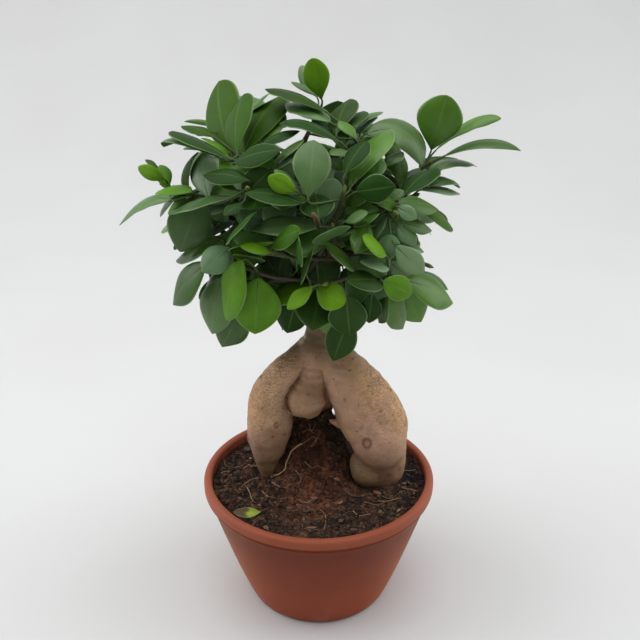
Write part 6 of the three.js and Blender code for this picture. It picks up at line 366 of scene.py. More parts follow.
        ((-58.1, 18.9, 316.2), (-49, 12, 316.8), (-38.6, 22.2, 311), (-30, 27.2, 298.8), (0.22, 0.62, 0.75), 18.1, 1.81, 'M', 'R'),
        ((-57.6, 17.7, 314.1), (-59.3, 22.1, 313), (-59.8, 24.8, 325.5), (-56.7, 32.6, 335.1), (-0.52, -0.75, 0.42), 16.4, 1.63, 'G', 'R'),
    ]),
    ('shoot_lower_front_centre', [(-7.62, -21.12, 251.62), (-6.46, -28.57, 252.39), (-5.29, -36.02, 253.55), (-4.12, -43.46, 255.13)], (1.9, 1.65, 1.4, 1.15), [
        ((-6.3, -29.8, 252.6), (-13.4, -36.8, 244.9), (-17.9, -34.7, 228.3), (-20.7, -22.9, 215.7), (-0.17, -0.91, -0.39), 19.1, 1.91, 'P', 'L'),
        ((-4.2, -42.8, 255), (-7.7, -51.6, 266), (-10.7, -64.1, 274.3), (-4.7, -77.1, 279.8), (-0.95, 0.05, 0.29), 19.8, 1.98, 'P', 'F'),
    ]),
    ('shoot_middle_front_centre', [(24, -41, 263), (17.64, -50.34, 262.93), (11.27, -59.68, 263.47), (4.91, -69.03, 264.6)], (1.44, 1.35, 1.25, 1.15), [
        ((5.4, -68.2, 264.5), (-3.5, -73.7, 264.3), (-11.9, -77.4, 260.4), (-17.7, -77.4, 252.4), (-0.41, -0.61, 0.68), 10.8, 1.08, 'Y', 'L'),
        ((9.7, -62, 263.7), (-0.8, -66.3, 260.7), (6, -74.2, 259.6), (15.1, -77.2, 255.4), (-0.38, -0.79, 0.48), 15.8, 1.58, 'Y', 'L'),
        ((12.9, -57.4, 263.3), (16.3, -59, 254.5), (18.2, -58.2, 237.2), (19.6, -47.3, 223.6), (0.03, -0.94, -0.35), 23, 2.3, 'Q', 'L'),
        ((19.2, -48, 262.9), (41.6, -54.5, 251.1), (36.4, -51, 241), (37.6, -44.5, 231.2), (-0.91, -0.42, -0.03), 13.3, 1.33, 'D', 'L'),
        ((18.2, -49.6, 262.9), (20.8, -48.9, 270.8), (16.5, -60.2, 281.3), (5.5, -71.5, 284.6), (0.68, -0.01, 0.73), 23.1, 2.31, 'D', 'F'),
    ]),
    ('shoot_lower_right_b', [(18, 6, 264), (26.4, 6.88, 255.65), (34.8, 7.75, 247.92), (43.2, 8.63, 240.79)], (1.9, 1.65, 1.4, 1.15), [
        ((42.5, 8.6, 241.4), (48.3, 3.7, 230), (57.8, 9.9, 227.8), (62.1, 18.7, 221.6), (0.74, -0.35, 0.57), 18.4, 1.83, 'D', 'R'),
        ((41.1, 8.4, 242.5), (54.3, 8.3, 247.8), (68.4, 10.7, 247.6), (80.2, 9.2, 239.9), (0.25, 0.44, 0.86), 23.9, 2.38, 'D', 'R'),
        ((23.6, 6.6, 258.4), (33, 4.1, 268.3), (47.2, 5.3, 274.3), (62.5, 5.6, 272.2), (-0.14, 0.1, 0.99), 19.2, 1.92, 'D', 'R'),
        ((25, 6.7, 257), (29.1, 16.9, 263.2), (35.4, 25, 272.4), (37.6, 37.8, 277.3), (0.54, -0.61, 0.58), 16.5, 1.65, 'D', 'R'),
        ((39, 8.2, 244.4), (47.4, -1.7, 253.4), (61.3, 0.9, 254.6), (73.8, 3.3, 248.3), (0.19, 0.01, 0.98), 18.9, 1.89, 'D', 'R'),
    ]),
    ('shoot_upper_left_c', [(-16, 8, 268), (-35.85, 8.42, 279.4), (-55.71, 8.83, 292.05), (-75.56, 9.25, 305.95)], (1.9, 1.65, 1.4, 1.15), [
        ((-30.9, 8.3, 276.4), (-33.4, -1.6, 264.9), (-28.9, -18.7, 261.9), (-21.7, -30, 249.9), (-0.24, -0.53, 0.81), 21.5, 2.15, 'S', 'L'),
        ((-73.9, 9.2, 304.8), (-90.2, -14.8, 302.1), (-100.2, -6, 298.3), (-103.4, 4.3, 289.7), (-0.8, -0.18, 0.57), 14.5, 1.45, 'D', 'L'),
        ((-64, 9, 297.7), (-79, -19.2, 309.1), (-90.5, -7, 319.8), (-76.7, 4.6, 329), (-0.86, -0.28, 0.43), 18.1, 1.81, 'Q', 'A'),
        ((-47.4, 8.7, 286.8), (-62, 19.6, 276.9), (-67.6, 17.5, 286.5), (-72.1, 10, 293.6), (-0.17, 0.9, 0.41), 14.4, 1.44, 'S', 'F'),
        ((-44.1, 8.6, 284.7), (-42.9, 15.7, 287.7), (-37, 28.2, 285.5), (-30.7, 37, 276.7), (-0.06, 0.49, 0.87), 18.1, 1.81, 'D', 'R'),
    ]),
    ('shoot_middle_right_c', [(27.88, 5.38, 275.25), (41.1, 12.38, 278.61), (54.32, 19.39, 282.8), (67.55, 26.39, 287.82)], (1.9, 1.65, 1.4, 1.15), [
        ((56.5, 20.6, 283.6), (59.8, 28.8, 271.5), (60.3, 47.6, 264.6), (58.2, 59.1, 248.2), (0.2, 0.6, 0.77), 26.8, 2.68, 'M', 'R'),
        ((58.7, 21.7, 284.4), (62.8, 22.1, 294.9), (78.4, 27.5, 289.8), (89.2, 28.6, 276.3), (0.46, 0.4, 0.79), 26.7, 2.67, 'G', 'R'),
        ((64.2, 24.6, 286.5), (69.8, 33.6, 277.4), (75.2, 49.1, 277.6), (73.7, 63.8, 270.6), (0.69, 0.07, 0.72), 24.5, 2.45, 'M', 'R'),
        ((60.9, 22.9, 285.2), (68.9, 46.1, 274.6), (65.3, 59.3, 271.1), (59.2, 67.2, 261.3), (0.3, 0.6, 0.74), 15.3, 1.53, 'D', 'R'),
        ((57.6, 21.1, 284.1), (62.7, 14.2, 279.9), (64.9, 1.4, 292.6), (63.9, -16.2, 297.3), (0.34, 0.48, 0.81), 21.7, 2.17, 'S', 'F'),
        ((38.9, 11.2, 278.1), (39.1, 15.6, 267.1), (51.1, 20.3, 265.5), (60.8, 23.5, 257.5), (0.33, 0.22, 0.92), 17.7, 1.77, 'M', 'R'),
        ((54.3, 19.4, 282.8), (50.3, 30.6, 284.6), (60, 42.3, 283.3), (63.4, 55.7, 276.9), (0.76, -0.21, 0.62), 17.4, 1.74, 'G', 'R'),
    ]),
    ('shoot_lower_centre', [(-6, -14, 246), (-8.75, -16.59, 245.57), (-11.5, -19.17, 245.34), (-14.25, -21.76, 245.31)], (1.9, 1.65, 1.4, 1.15), [
        ((-11.5, -19.2, 245.3), (1, -23.7, 247.2), (-0.6, -43.9, 245), (-3.8, -58.9, 231.6), (0.14, -0.42, 0.9), 25.3, 2.53, 'D', 'L'),
        ((-12.4, -20, 245.3), (-13.1, -22, 267.3), (-14.9, -33, 279.5), (-25, -38.2, 291.5), (0.82, -0.57, 0.03), 21.9, 2.19, 'P', 'F'),
        ((-14, -21.6, 245.3), (-29.8, -13.9, 232.6), (-43.5, -9.8, 227.3), (-51.1, -4.1, 215.4), (-0.67, -0.18, 0.72), 22.9, 2.3, 'M', 'R'),
        ((-10.1, -17.9, 245.5), (6.5, -27.3, 236.4), (3.2, -23.1, 222.1), (3.4, -12.2, 211.4), (-0.42, -0.8, -0.43), 18, 1.8, 'G', 'R'),
    ]),
    ('shoot_upper_back_right', [(30, 36, 276), (29.66, 34.94, 284.97), (29.32, 33.89, 294.44), (28.98, 32.83, 304.43)], (1.9, 1.65, 1.4, 1.15), [
        ((29, 33, 302.7), (30.2, 43, 303), (20.9, 62.4, 301.8), (8.6, 75.2, 289.6), (0.22, 0.5, 0.84), 27.7, 2.77, 'M', 'R'),
        ((29.4, 34, 293.6), (31.3, 38.8, 295.6), (41, 50.5, 303.7), (55.2, 60.2, 302.4), (-0.42, 0.19, 0.89), 25.7, 2.58, 'M', 'R'),
        ((29.4, 34.2, 291.2), (42.5, 30.4, 291.5), (58, 34.9, 292.4), (70.8, 39.5, 283.8), (0.27, -0.03, 0.96), 20.9, 2.09, 'M', 'R'),
        ((29.5, 34.5, 288.9), (26.9, 43.5, 290), (33.1, 60.7, 286), (38.2, 72.3, 272.1), (0.1, 0.5, 0.86), 26.1, 2.62, 'M', 'R'),
        ((29.1, 33.3, 300.3), (40.4, 40.5, 310.1), (46.5, 50.5, 317.3), (52.6, 62.9, 317.4), (-0.01, -0.31, 0.95), 18.8, 1.88, 'D', 'F'),
        ((29.7, 35.2, 282.7), (26.7, 25.4, 281.7), (31.1, 24.3, 299.1), (27.4, 17.7, 315.5), (0.82, 0.56, 0.11), 21.1, 2.12, 'D', 'R'),
        ((29.7, 34.9, 285), (16.7, 32.2, 276.5), (14.2, 42.3, 264.2), (7.1, 45.2, 250.1), (0.52, 0.83, 0.22), 18.4, 1.84, 'M', 'R'),
        ((29.2, 33.6, 296.9), (29, 44.8, 296.1), (14.4, 47.8, 302.9), (-1.9, 47.5, 301.8), (0.2, 0.37, 0.91), 19.4, 1.94, 'D', 'R'),
    ]),
    ('shoot_lower_left', [(-27.88, -7.38, 254.88), (-39.7, -1, 248.54), (-51.52, 5.37, 242.97), (-63.34, 11.74, 238.19)], (1.9, 1.65, 1.4, 1.15), [
        ((-46.6, 2.7, 245.2), (-53.4, -3.9, 240.3), (-60.2, -7.2, 226.4), (-57.6, -9.7, 211), (-0.98, -0.07, 0.16), 23.2, 2.32, 'D', 'R'),
        ((-44.6, 1.6, 246.1), (-39.5, 19.7, 227.9), (-31.9, 34, 225.2), (-18.7, 43, 228.8), (-0.57, 0.53, -0.63), 25.4, 2.54, 'M', 'R'),
        ((-58.4, 9.1, 240.1), (-48.2, 27.6, 226), (-51, 46.8, 228.9), (-42.1, 64.3, 230.4), (-0.98, 0.15, 0.11), 27, 2.7, 'M', 'R'),
        ((-51.5, 5.4, 243), (-49.7, 24.8, 235), (-63.1, 29.8, 227.3), (-69.1, 35.1, 213.1), (-0.75, -0.02, 0.66), 25.5, 2.55, 'D', 'R'),
        ((-53.5, 6.4, 242.1), (-55.6, 19.7, 239), (-73.8, 19.4, 231.9), (-84.7, 21.5, 215.8), (-0.62, -0.2, 0.76), 23.2, 2.32, 'M', 'R'),
        ((-55.5, 7.5, 241.3), (-57.9, 5.5, 237.7), (-68.6, 10.8, 224.3), (-69, 15.7, 206.9), (-0.94, 0.04, 0.35), 22.1, 2.21, 'G', 'R'),
        ((-62.4, 11.2, 238.6), (-72.3, 1.1, 232.6), (-75, -14.4, 233.5), (-68.6, -28.7, 231.7), (-0.95, -0.13, 0.28), 25.6, 2.55, 'M', 'R'),
        ((-48.6, 3.8, 244.3), (-47.5, 4.1, 237.1), (-50.7, 17.2, 229.4), (-44.9, 28.1, 220), (-0.95, 0.23, 0.19), 17.6, 1.76, 'D', 'R'),
        ((-49.5, 4.3, 243.8), (-68.7, 5.8, 247.3), (-76.4, 8.8, 236.7), (-78, 7, 223.4), (-0.74, 0.59, 0.32), 21.9, 2.18, 'D', 'R'),
        ((-36.8, -2.6, 250.1), (-39.4, -3.3, 253.6), (-50.7, -12.8, 259.5), (-63.8, -21.7, 257), (0.2, -0.09, 0.97), 21.2, 2.12, 'D', 'F'),
        ((-35.8, -3.1, 250.7), (-26.2, 2, 261.3), (-33.5, 11.6, 267.1), (-37.3, 24.3, 267.3), (-0.47, -0.44, 0.76), 18.8, 1.88, 'D', 'F'),
        ((-38.7, -1.5, 249.1), (-41.5, 6.8, 265.2), (-44.6, 13.5, 275.3), (-47.1, 13.8, 287.5), (-0.07, 0.95, -0.32), 14.5, 1.45, 'D', 'R'),
        ((-42.7, 0.6, 247.2), (-48.7, -2.1, 248.2), (-58.7, -11.8, 247), (-66.7, -19.8, 238.7), (-0.27, -0.23, 0.94), 19.1, 1.91, 'M', 'R'),
        ((-40.7, -0.5, 248.1), (-40.3, 4.1, 251.4), (-41.1, 22.2, 251.8), (-38.4, 38, 243.4), (-0.35, 0.23, 0.91), 23.2, 2.32, 'M', 'R'),
        ((-37.7, -2.1, 249.6), (-43.5, -19.4, 242.4), (-41.3, -31.8, 243.2), (-35.1, -41.9, 238.9), (-0.58, -0.33, 0.74), 14.7, 1.47, 'D', 'R'),
    ]),
    ('shoot_upper_back_centre', [(-14, 48, 290), (-6.94, 50.73, 294.53), (0.12, 53.46, 299.55), (7.17, 56.19, 305.05)], (1.7, 1.52, 1.33, 1.15), [
        ((-4.6, 51.6, 296.1), (-2.9, 66.2, 292.1), (9.5, 78.1, 282.6), (21.5, 79.7, 267.2), (0.03, 0.87, 0.5), 25.1, 2.51, 'M', 'R'),
        ((4.2, 55, 302.7), (6.8, 55.4, 305), (14.6, 69.5, 313), (27.9, 81.6, 311.6), (-0.49, 0.18, 0.85), 23.7, 2.37, 'G', 'R'),
        ((0.1, 53.5, 299.6), (2.8, 47.1, 310.5), (-0.2, 66.5, 315.8), (-5.4, 84.9, 309.1), (0.19, 0.08, 0.98), 22.6, 2.26, 'M', 'R'),
        ((-8.7, 50, 293.4), (-30, 65.5, 295.4), (-26.4, 79, 306.3), (-15.3, 92.6, 309.3), (-0.69, 0, 0.72), 26.2, 2.62, 'D', 'R'),
        ((-7.5, 50.5, 294.1), (-8.6, 52.2, 298.3), (-10.2, 61.9, 306.7), (-13.1, 74.3, 307.9), (0.17, -0.36, 0.92), 15.8, 1.59, 'D', 'R'),
        ((-6.3, 51, 294.9), (-9, 28.2, 292.4), (-9.8, 27, 303), (-14, 30.2, 312.2), (0.61, -0.76, 0.23), 15.1, 1.51, 'D', 'F'),
        ((-3.4, 52.1, 297), (4.1, 41.5, 292.9), (5, 37.2, 307), (4, 26.3, 317.1), (0.24, 0.82, 0.52), 18, 1.8, 'D', 'R'),
    ]),
    ('shoot_under_right', [(20, -2, 246), (19.84, 4.92, 240.85), (19.69, 11.84, 236.15), (19.53, 18.76, 231.89)], (1.9, 1.65, 1.4, 1.15), [
        ((19.5, 18.8, 231.9), (25.8, 19.6, 232.2), (44, 23.3, 240.8), (59.9, 14.7, 250.5), (0.19, 0.98, -0.09), 26.5, 2.64, 'D', 'R'),
        ((19.8, 7.2, 239.2), (23.9, 9.2, 228.8), (30.1, 26.5, 226.8), (33.2, 39.9, 214.7), (0.27, 0.34, 0.9), 25.8, 2.58, 'D', 'R'),
        ((19.9, 3.2, 242.1), (21.9, 3.5, 240.5), (34.4, 6.4, 239.5), (45.7, 4.8, 233.4), (0.18, 0.65, 0.74), 15.6, 1.56, 'D', 'R'),
        ((19.6, 16.4, 233.3), (15.8, 26.8, 249.8), (8.7, 33.2, 264.7), (-5.8, 37, 274.1), (0.77, 0.28, 0.57), 21, 2.1, 'D', 'R'),
        ((19.6, 14.7, 234.4), (24.1, 30.8, 247.8), (31.9, 45, 244.6), (36, 56.8, 233.6), (0.41, 0.28, 0.86), 20.7, 2.07, 'G', 'R'),
    ]),
    ('shoot_middle_front_left_a', [(17.06, -38.44, 270.5), (-0.89, -49.95, 274.33), (-18.84, -61.46, 279.32), (-36.79, -72.97, 285.48)], (1.57, 1.43, 1.29, 1.15), [
        ((-21.8, -63.4, 280.3), (-26.4, -70.3, 286.1), (-20.9, -78.1, 294.9), (-9.7, -82.6, 299.4), (-0.73, -0.41, 0.54), 14, 1.4, 'K', 'T'),
        ((-24.8, -65.3, 281.2), (-26.6, -69, 283.5), (-33.7, -72.9, 288.8), (-43.1, -75.5, 288.7), (0.37, -0.21, 0.9), 10.9, 1.09, 'Y', 'T'),
        ((-33.8, -71, 284.4), (-41.4, -65.7, 286.9), (-40.5, -50.4, 286.6), (-38, -38.2, 277.7), (-0.18, 0.33, 0.93), 24.7, 2.47, 'B', 'F'),
        ((-18.8, -61.5, 279.3), (-11.6, -72, 279.6), (-13.6, -81.8, 286), (-9.3, -90.3, 293.2), (-0.97, -0.2, -0.11), 15.7, 1.57, 'P', 'F'),
    ]),
    ('shoot_upper_front_left_a', [(-40.81, 6.25, 300.5), (-40.6, -13.24, 304.62), (-40.38, -32.72, 309.82), (-40.17, -52.21, 316.09)], (1.9, 1.65, 1.4, 1.15), [
        ((-40.2, -52.2, 316.1), (-51.1, -55.2, 311.2), (-69.5, -43.4, 311.4), (-89.8, -36.8, 298), (-0.32, 0, 0.95), 24.9, 2.49, 'D', 'L'),
        ((-40.2, -50.6, 315.5), (-43, -58, 309), (-47.7, -63.8, 308.4), (-52.2, -67.6, 303.7), (-0.07, -0.43, 0.9), 8.1, 0.81, 'P', 'L'),
        ((-40.3, -44.1, 313.4), (-39.6, -53, 321), (-53.5, -50.3, 325.7), (-66.4, -43.7, 322.3), (-0.11, -0.44, 0.89), 15.6, 1.56, 'P', 'A'),
        ((-40.3, -39.2, 311.8), (-10.2, -57.3, 316.7), (-15.5, -59.2, 324.3), (-24.4, -59.7, 327.6), (0.62, -0.25, 0.74), 10.8, 1.08, 'G', 'T'),
        ((-40.3, -42.5, 312.8), (-26.8, -48.7, 327), (-19.8, -46.7, 337.9), (-8.1, -43.2, 342.4), (-0.59, -0.2, 0.79), 14.2, 1.42, 'D', 'T'),
        ((-40.3, -37.6, 311.3), (-45.5, -45.3, 308.1), (-37.1, -51.6, 316.8), (-27.3, -49.7, 326.1), (-0.17, -0.98, -0.07), 17, 1.7, 'Q', 'A'),
        ((-40.5, -18.1, 305.8), (-53.4, -21.1, 299.6), (-62.8, -23, 300.3), (-71.3, -22.7, 295.6), (-0.17, -0.38, 0.91), 10.5, 1.05, 'S', 'L'),
        ((-40.4, -36, 310.8), (-25.9, -46.5, 323.9), (-19.6, -46.6, 333.4), (-9.2, -45, 337.7), (-0.61, -0.24, 0.76), 12.6, 1.26, 'S', 'T'),
        ((-40.4, -32.7, 309.8), (-65.8, -31.2, 305.3), (-71.8, -20.6, 321.5), (-72.5, -2, 329.8), (-0.44, -0.63, 0.63), 20.3, 2.03, 'S', 'A'),
        ((-40.5, -21.4, 306.7), (-34.5, -28.8, 305.8), (-36, -43.4, 310.2), (-37.1, -57.8, 305.2), (-0.04, -0.02, 1), 25, 2.51, 'P', 'F'),
        ((-40.6, -8.4, 303.6), (-43.8, -3.9, 296.4), (-57, -10.6, 300.6), (-71.1, -15.2, 296.7), (0.11, -0.23, 0.97), 17.9, 1.79, 'S', 'F'),
        ((-40.5, -19.7, 306.4), (-45.8, -21.2, 305.5), (-53.1, -7.7, 315.9), (-57.1, 10.2, 318), (-0.33, -0.45, 0.83), 22.9, 2.29, 'D', 'R'),
    ]),
    ('shoot_lower_right_a', [(54, -6, 266), (60.23, -4.61, 262.22), (66.47, -3.23, 258.82), (72.7, -1.84, 255.81)], (1.62, 1.46, 1.3, 1.15), [
        ((58.7, -5, 263.1), (52.6, -11.8, 281.8), (51.5, -20.3, 297), (47.1, -35.5, 304.5), (0.31, 0.62, 0.72), 24, 2.39, 'G', 'F'),
        ((68.5, -2.8, 257.8), (63.8, -15.1, 259.6), (45.9, -21.9, 263.6), (27.8, -24.2, 256.6), (0.02, -0.38, 0.93), 24.3, 2.43, 'D', 'F'),
        ((72.7, -1.8, 255.8), (67.5, 15.8, 251.1), (60.2, 33.6, 244.7), (46.1, 42.5, 233.3), (0.56, 0.72, 0.41), 26.4, 2.63, 'M', 'R'),
        ((60.2, -4.6, 262.2), (53, -16.3, 246.4), (45, -28.4, 247.3), (32.3, -35.2, 245), (0.6, -0.69, 0.41), 17.8, 1.78, 'S', 'F'),
        ((62.3, -4.2, 261.1), (62.6, -2.8, 253.1), (75.2, -8.7, 251.2), (85.1, -13.2, 242.4), (0.34, -0.2, 0.92), 19.9, 1.99, 'D', 'F'),
        ((64.9, -3.6, 259.7), (63.5, -1.2, 276.6), (56.2, 10.3, 279.3), (46.9, 19.6, 275.1), (0.28, 0.29, 0.91), 17, 1.7, 'G', 'R'),
    ]),
    ('shoot_upper_left_b', [(-49.38, 31.5, 272.88), (-64.6, 21.34, 285.54), (-80.6, 10.13, 297.37), (-97.38, -2.15, 308.36)], (1.9, 1.65, 1.4, 1.15), [
        ((-96, -1.1, 307.5), (-96.3, -8.3, 313.4), (-102.2, -12.2, 319.6), (-111.3, -13, 322.2), (0.54, -0.55, 0.64), 11.4, 1.14, 'Y', 'L'),
        ((-93.1, 1, 305.7), (-94.5, -7.2, 306.9), (-97.8, -4.4, 315.8), (-101.3, 3.2, 321), (0.04, -0.79, 0.61), 10.2, 1.02, 'B', 'L'),
        ((-94.5, 0, 306.6), (-101.8, 4.2, 317.7), (-104.8, 2.6, 322.3), (-110.2, 1.7, 324.4), (0.65, -0.2, 0.74), 7.1, 0.35, 'D', 'L'),
        ((-67.2, 19.6, 287.6), (-77.8, 28.5, 283.5), (-89.1, 38.6, 280), (-94.5, 48, 269), (-0.61, 0.07, 0.79), 23.3, 2.32, 'M', 'R'),
        ((-77.9, 12.1, 295.4), (-82.7, 6.6, 290.5), (-93.4, 4.2, 286.4), (-99.5, 1.6, 276.8), (-0.63, 0.01, 0.77), 17.6, 1.76, 'M', 'R'),
        ((-89, 4, 302.9), (-96.8, 18.1, 305.2), (-98.5, 32.4, 302.4), (-98.8, 43.4, 292.5), (-0.19, 0.43, 0.88), 18.6, 1.86, 'D', 'F'),
        ((-65.9, 20.4, 286.5), (-63.7, 26.3, 295.8), (-51.1, 19.4, 300.2), (-37.4, 14.2, 296.7), (-0.13, -0.2, 0.97), 18.2, 1.82, 'G', 'R'),
    ]),
    ('shoot_upper_front_centre_a', [(-9, -28, 256), (1.19, -37.67, 274.15), (9.01, -48.06, 294.14), (14.45, -59.15, 315.95)], (1.9, 1.65, 1.4, 1.15), [
        ((14.1, -58.2, 314.1), (14.3, -57.6, 324), (19.4, -52.4, 335.8), (27.7, -42.5, 341.2), (-0.37, -0.54, 0.76), 14.3, 1.43, 'P', 'T'),
        ((13.3, -56.3, 310.3), (-5.6, -65.7, 312.8), (-3.7, -62.6, 330.2), (-2.4, -49.9, 342.6), (0.05, -0.89, 0.46), 20.6, 2.06, 'G', 'T'),
        ((-1.1, -35.2, 269.4), (-2.1, -34.6, 251.4), (-17.6, -39.4, 252.2), (-31.9, -39.4, 244.5), (-0.12, -0.49, 0.86), 17.7, 1.77, 'Y', 'L'),
        ((13.7, -57.2, 312.2), (18, -51.7, 315.7), (25.5, -36.8, 337), (41.8, -17, 345.3), (-0.54, -0.31, 0.79), 27.4, 2.74, 'M', 'T'),
        ((12.9, -55.4, 308.5), (21.2, -58, 315.2), (32.4, -61, 317.4), (43.6, -57, 318.3), (0.01, -0.98, 0.19), 15.7, 1.57, 'P', 'T'),
        ((6.7, -44.5, 287.3), (3.3, -47.5, 293.3), (6, -51.5, 307.4), (9, -46.4, 321), (-0.04, -1, 0.05), 17.2, 1.72, 'S', 'T'),
        ((7.9, -46.3, 290.7), (16, -41.3, 324.8), (11.9, -46.2, 328.2), (6.1, -47.1, 332.4), (0.41, -0.9, -0.16), 7.4, 0.37, 'D', 'T'),
        ((9.5, -49, 296), (25.7, -46, 297.6), (25.6, -57.1, 301.6), (28.5, -68.5, 300), (-0.47, 0.04, 0.88), 14.8, 1.49, 'Q', 'F'),
        ((9, -48.1, 294.1), (15.7, -40.3, 302.8), (20.7, -46.1, 312.6), (31, -49.7, 318.9), (-0.77, -0.34, 0.54), 16.5, 1.65, 'Q', 'F'),
    ]),
    ('shoot_middle_right_b', [(3, 6, 272), (11.57, 0.11, 275.49), (20.14, -5.78, 279.57), (28.71, -11.67, 284.24)], (1.9, 1.65, 1.4, 1.15), [
        ((9.4, 1.6, 274.6), (2.3, -13.1, 269.4), (3.5, -28, 262.7), (5.3, -36.2, 248.7), (-0.07, -0.67, 0.74), 19.9, 2, 'G', 'L'),
        ((18, -4.3, 278.5), (20.4, -16.4, 259.9), (22.5, -26.1, 247.1), (18.9, -28.2, 231.4), (0.58, -0.77, 0.29), 24.4, 2.44, 'P', 'F'),
        ((28, -11.2, 283.8), (39.1, -13.6, 285.4), (46.2, -26.6, 283.7), (51.8, -36.1, 273.7), (0.16, -0.38, 0.91), 20.7, 2.07, 'S', 'F'),
        ((22.3, -7.2, 280.7), (19.1, -16.4, 274.1), (26.1, -27.6, 268.4), (30.7, -34.3, 256.7), (0.3, -0.56, 0.77), 17.7, 1.77, 'S', 'F'),
        ((10.9, 0.6, 275.2), (-4.2, -2, 281.9), (-7.4, 7.3, 288.9), (-10.1, 18.9, 289.8), (-0.08, -0.37, 0.92), 14.2, 1.42, 'D', 'F'),
        ((23.7, -8.2, 281.5), (20.4, -16.8, 276.3), (25.8, -23, 288.9), (35.7, -32, 295.5), (-0.57, 0.35, 0.74), 17.9, 1.79, 'D', 'R'),
        ((25.1, -9.2, 282.3), (26.1, -6.6, 280.5), (30.5, -9.8, 265.7), (26.5, -12.1, 250.6), (0.99, -0.1, 0.03), 18.2, 1.82, 'D', 'R'),
        ((12.3, -0.4, 275.8), (7.6, -12, 266.8), (13.3, -18.8, 274.9), (17.5, -20, 286), (0.23, -0.85, -0.47), 14.9, 1.49, 'M', 'F'),
    ]),
]
BRANCHES = {
    'branch_left': ([(-2, 2, 236), (-18, -4, 248), (-38, -10, 262), (-56, -10, 276)], (4.6, 3.6, 2.8, 2)),
    'branch_upper_left': ([(-1, 4, 242), (-16, 8, 268), (-34, 8, 292), (-47, 4, 308)], (4.6, 3.8, 3, 2.2)),
    'branch_top': ([(1, 4, 244), (3, 6, 272), (6, 6, 300), (6, 6, 328)], (4.8, 3.9, 3, 2.2)),
    'branch_upper_right': ([(2, 4, 242), (18, 6, 264), (38, 4, 286), (56, 0, 304)], (4.6, 3.8, 3, 2.2)),
    'branch_front_right': ([(2, 0, 238), (5, -18, 262), (11, -34, 276), (24, -41, 263), (37, -42, 261)], (4, 3, 2, 1.7, 1.5)),
    'branch_front': ([(-1, 0, 234), (-6, -14, 246), (-9, -28, 256), (-12, -40, 258)], (4, 3, 2.4, 1.8)),
    'branch_right': ([(2, 3, 236), (20, -2, 246), (38, -6, 256), (54, -6, 266)], (4.2, 3.4, 2.6, 1.9)),
    'branch_back': ([(0, 5, 238), (-6, 22, 254), (-12, 38, 272), (-14, 48, 290)], (4.4, 3.6, 2.8, 2)),
    'branch_back_right': ([(1, 5, 240), (16, 22, 258), (30, 36, 276), (38, 42, 294)], (4.2, 3.4, 2.6, 1.9)),
    'branch_back_left': ([(-2, 5, 240), (-22, 20, 254), (-42, 30, 266), (-56, 32, 280)], (4.2, 3.4, 2.6, 1.9)),
}
TRUNK = ([(3, 2, 205), (1.5, 3, 222), (0, 4, 238), (1, 4, 249)], (12.2, 11.2, 9.5, 7.5))
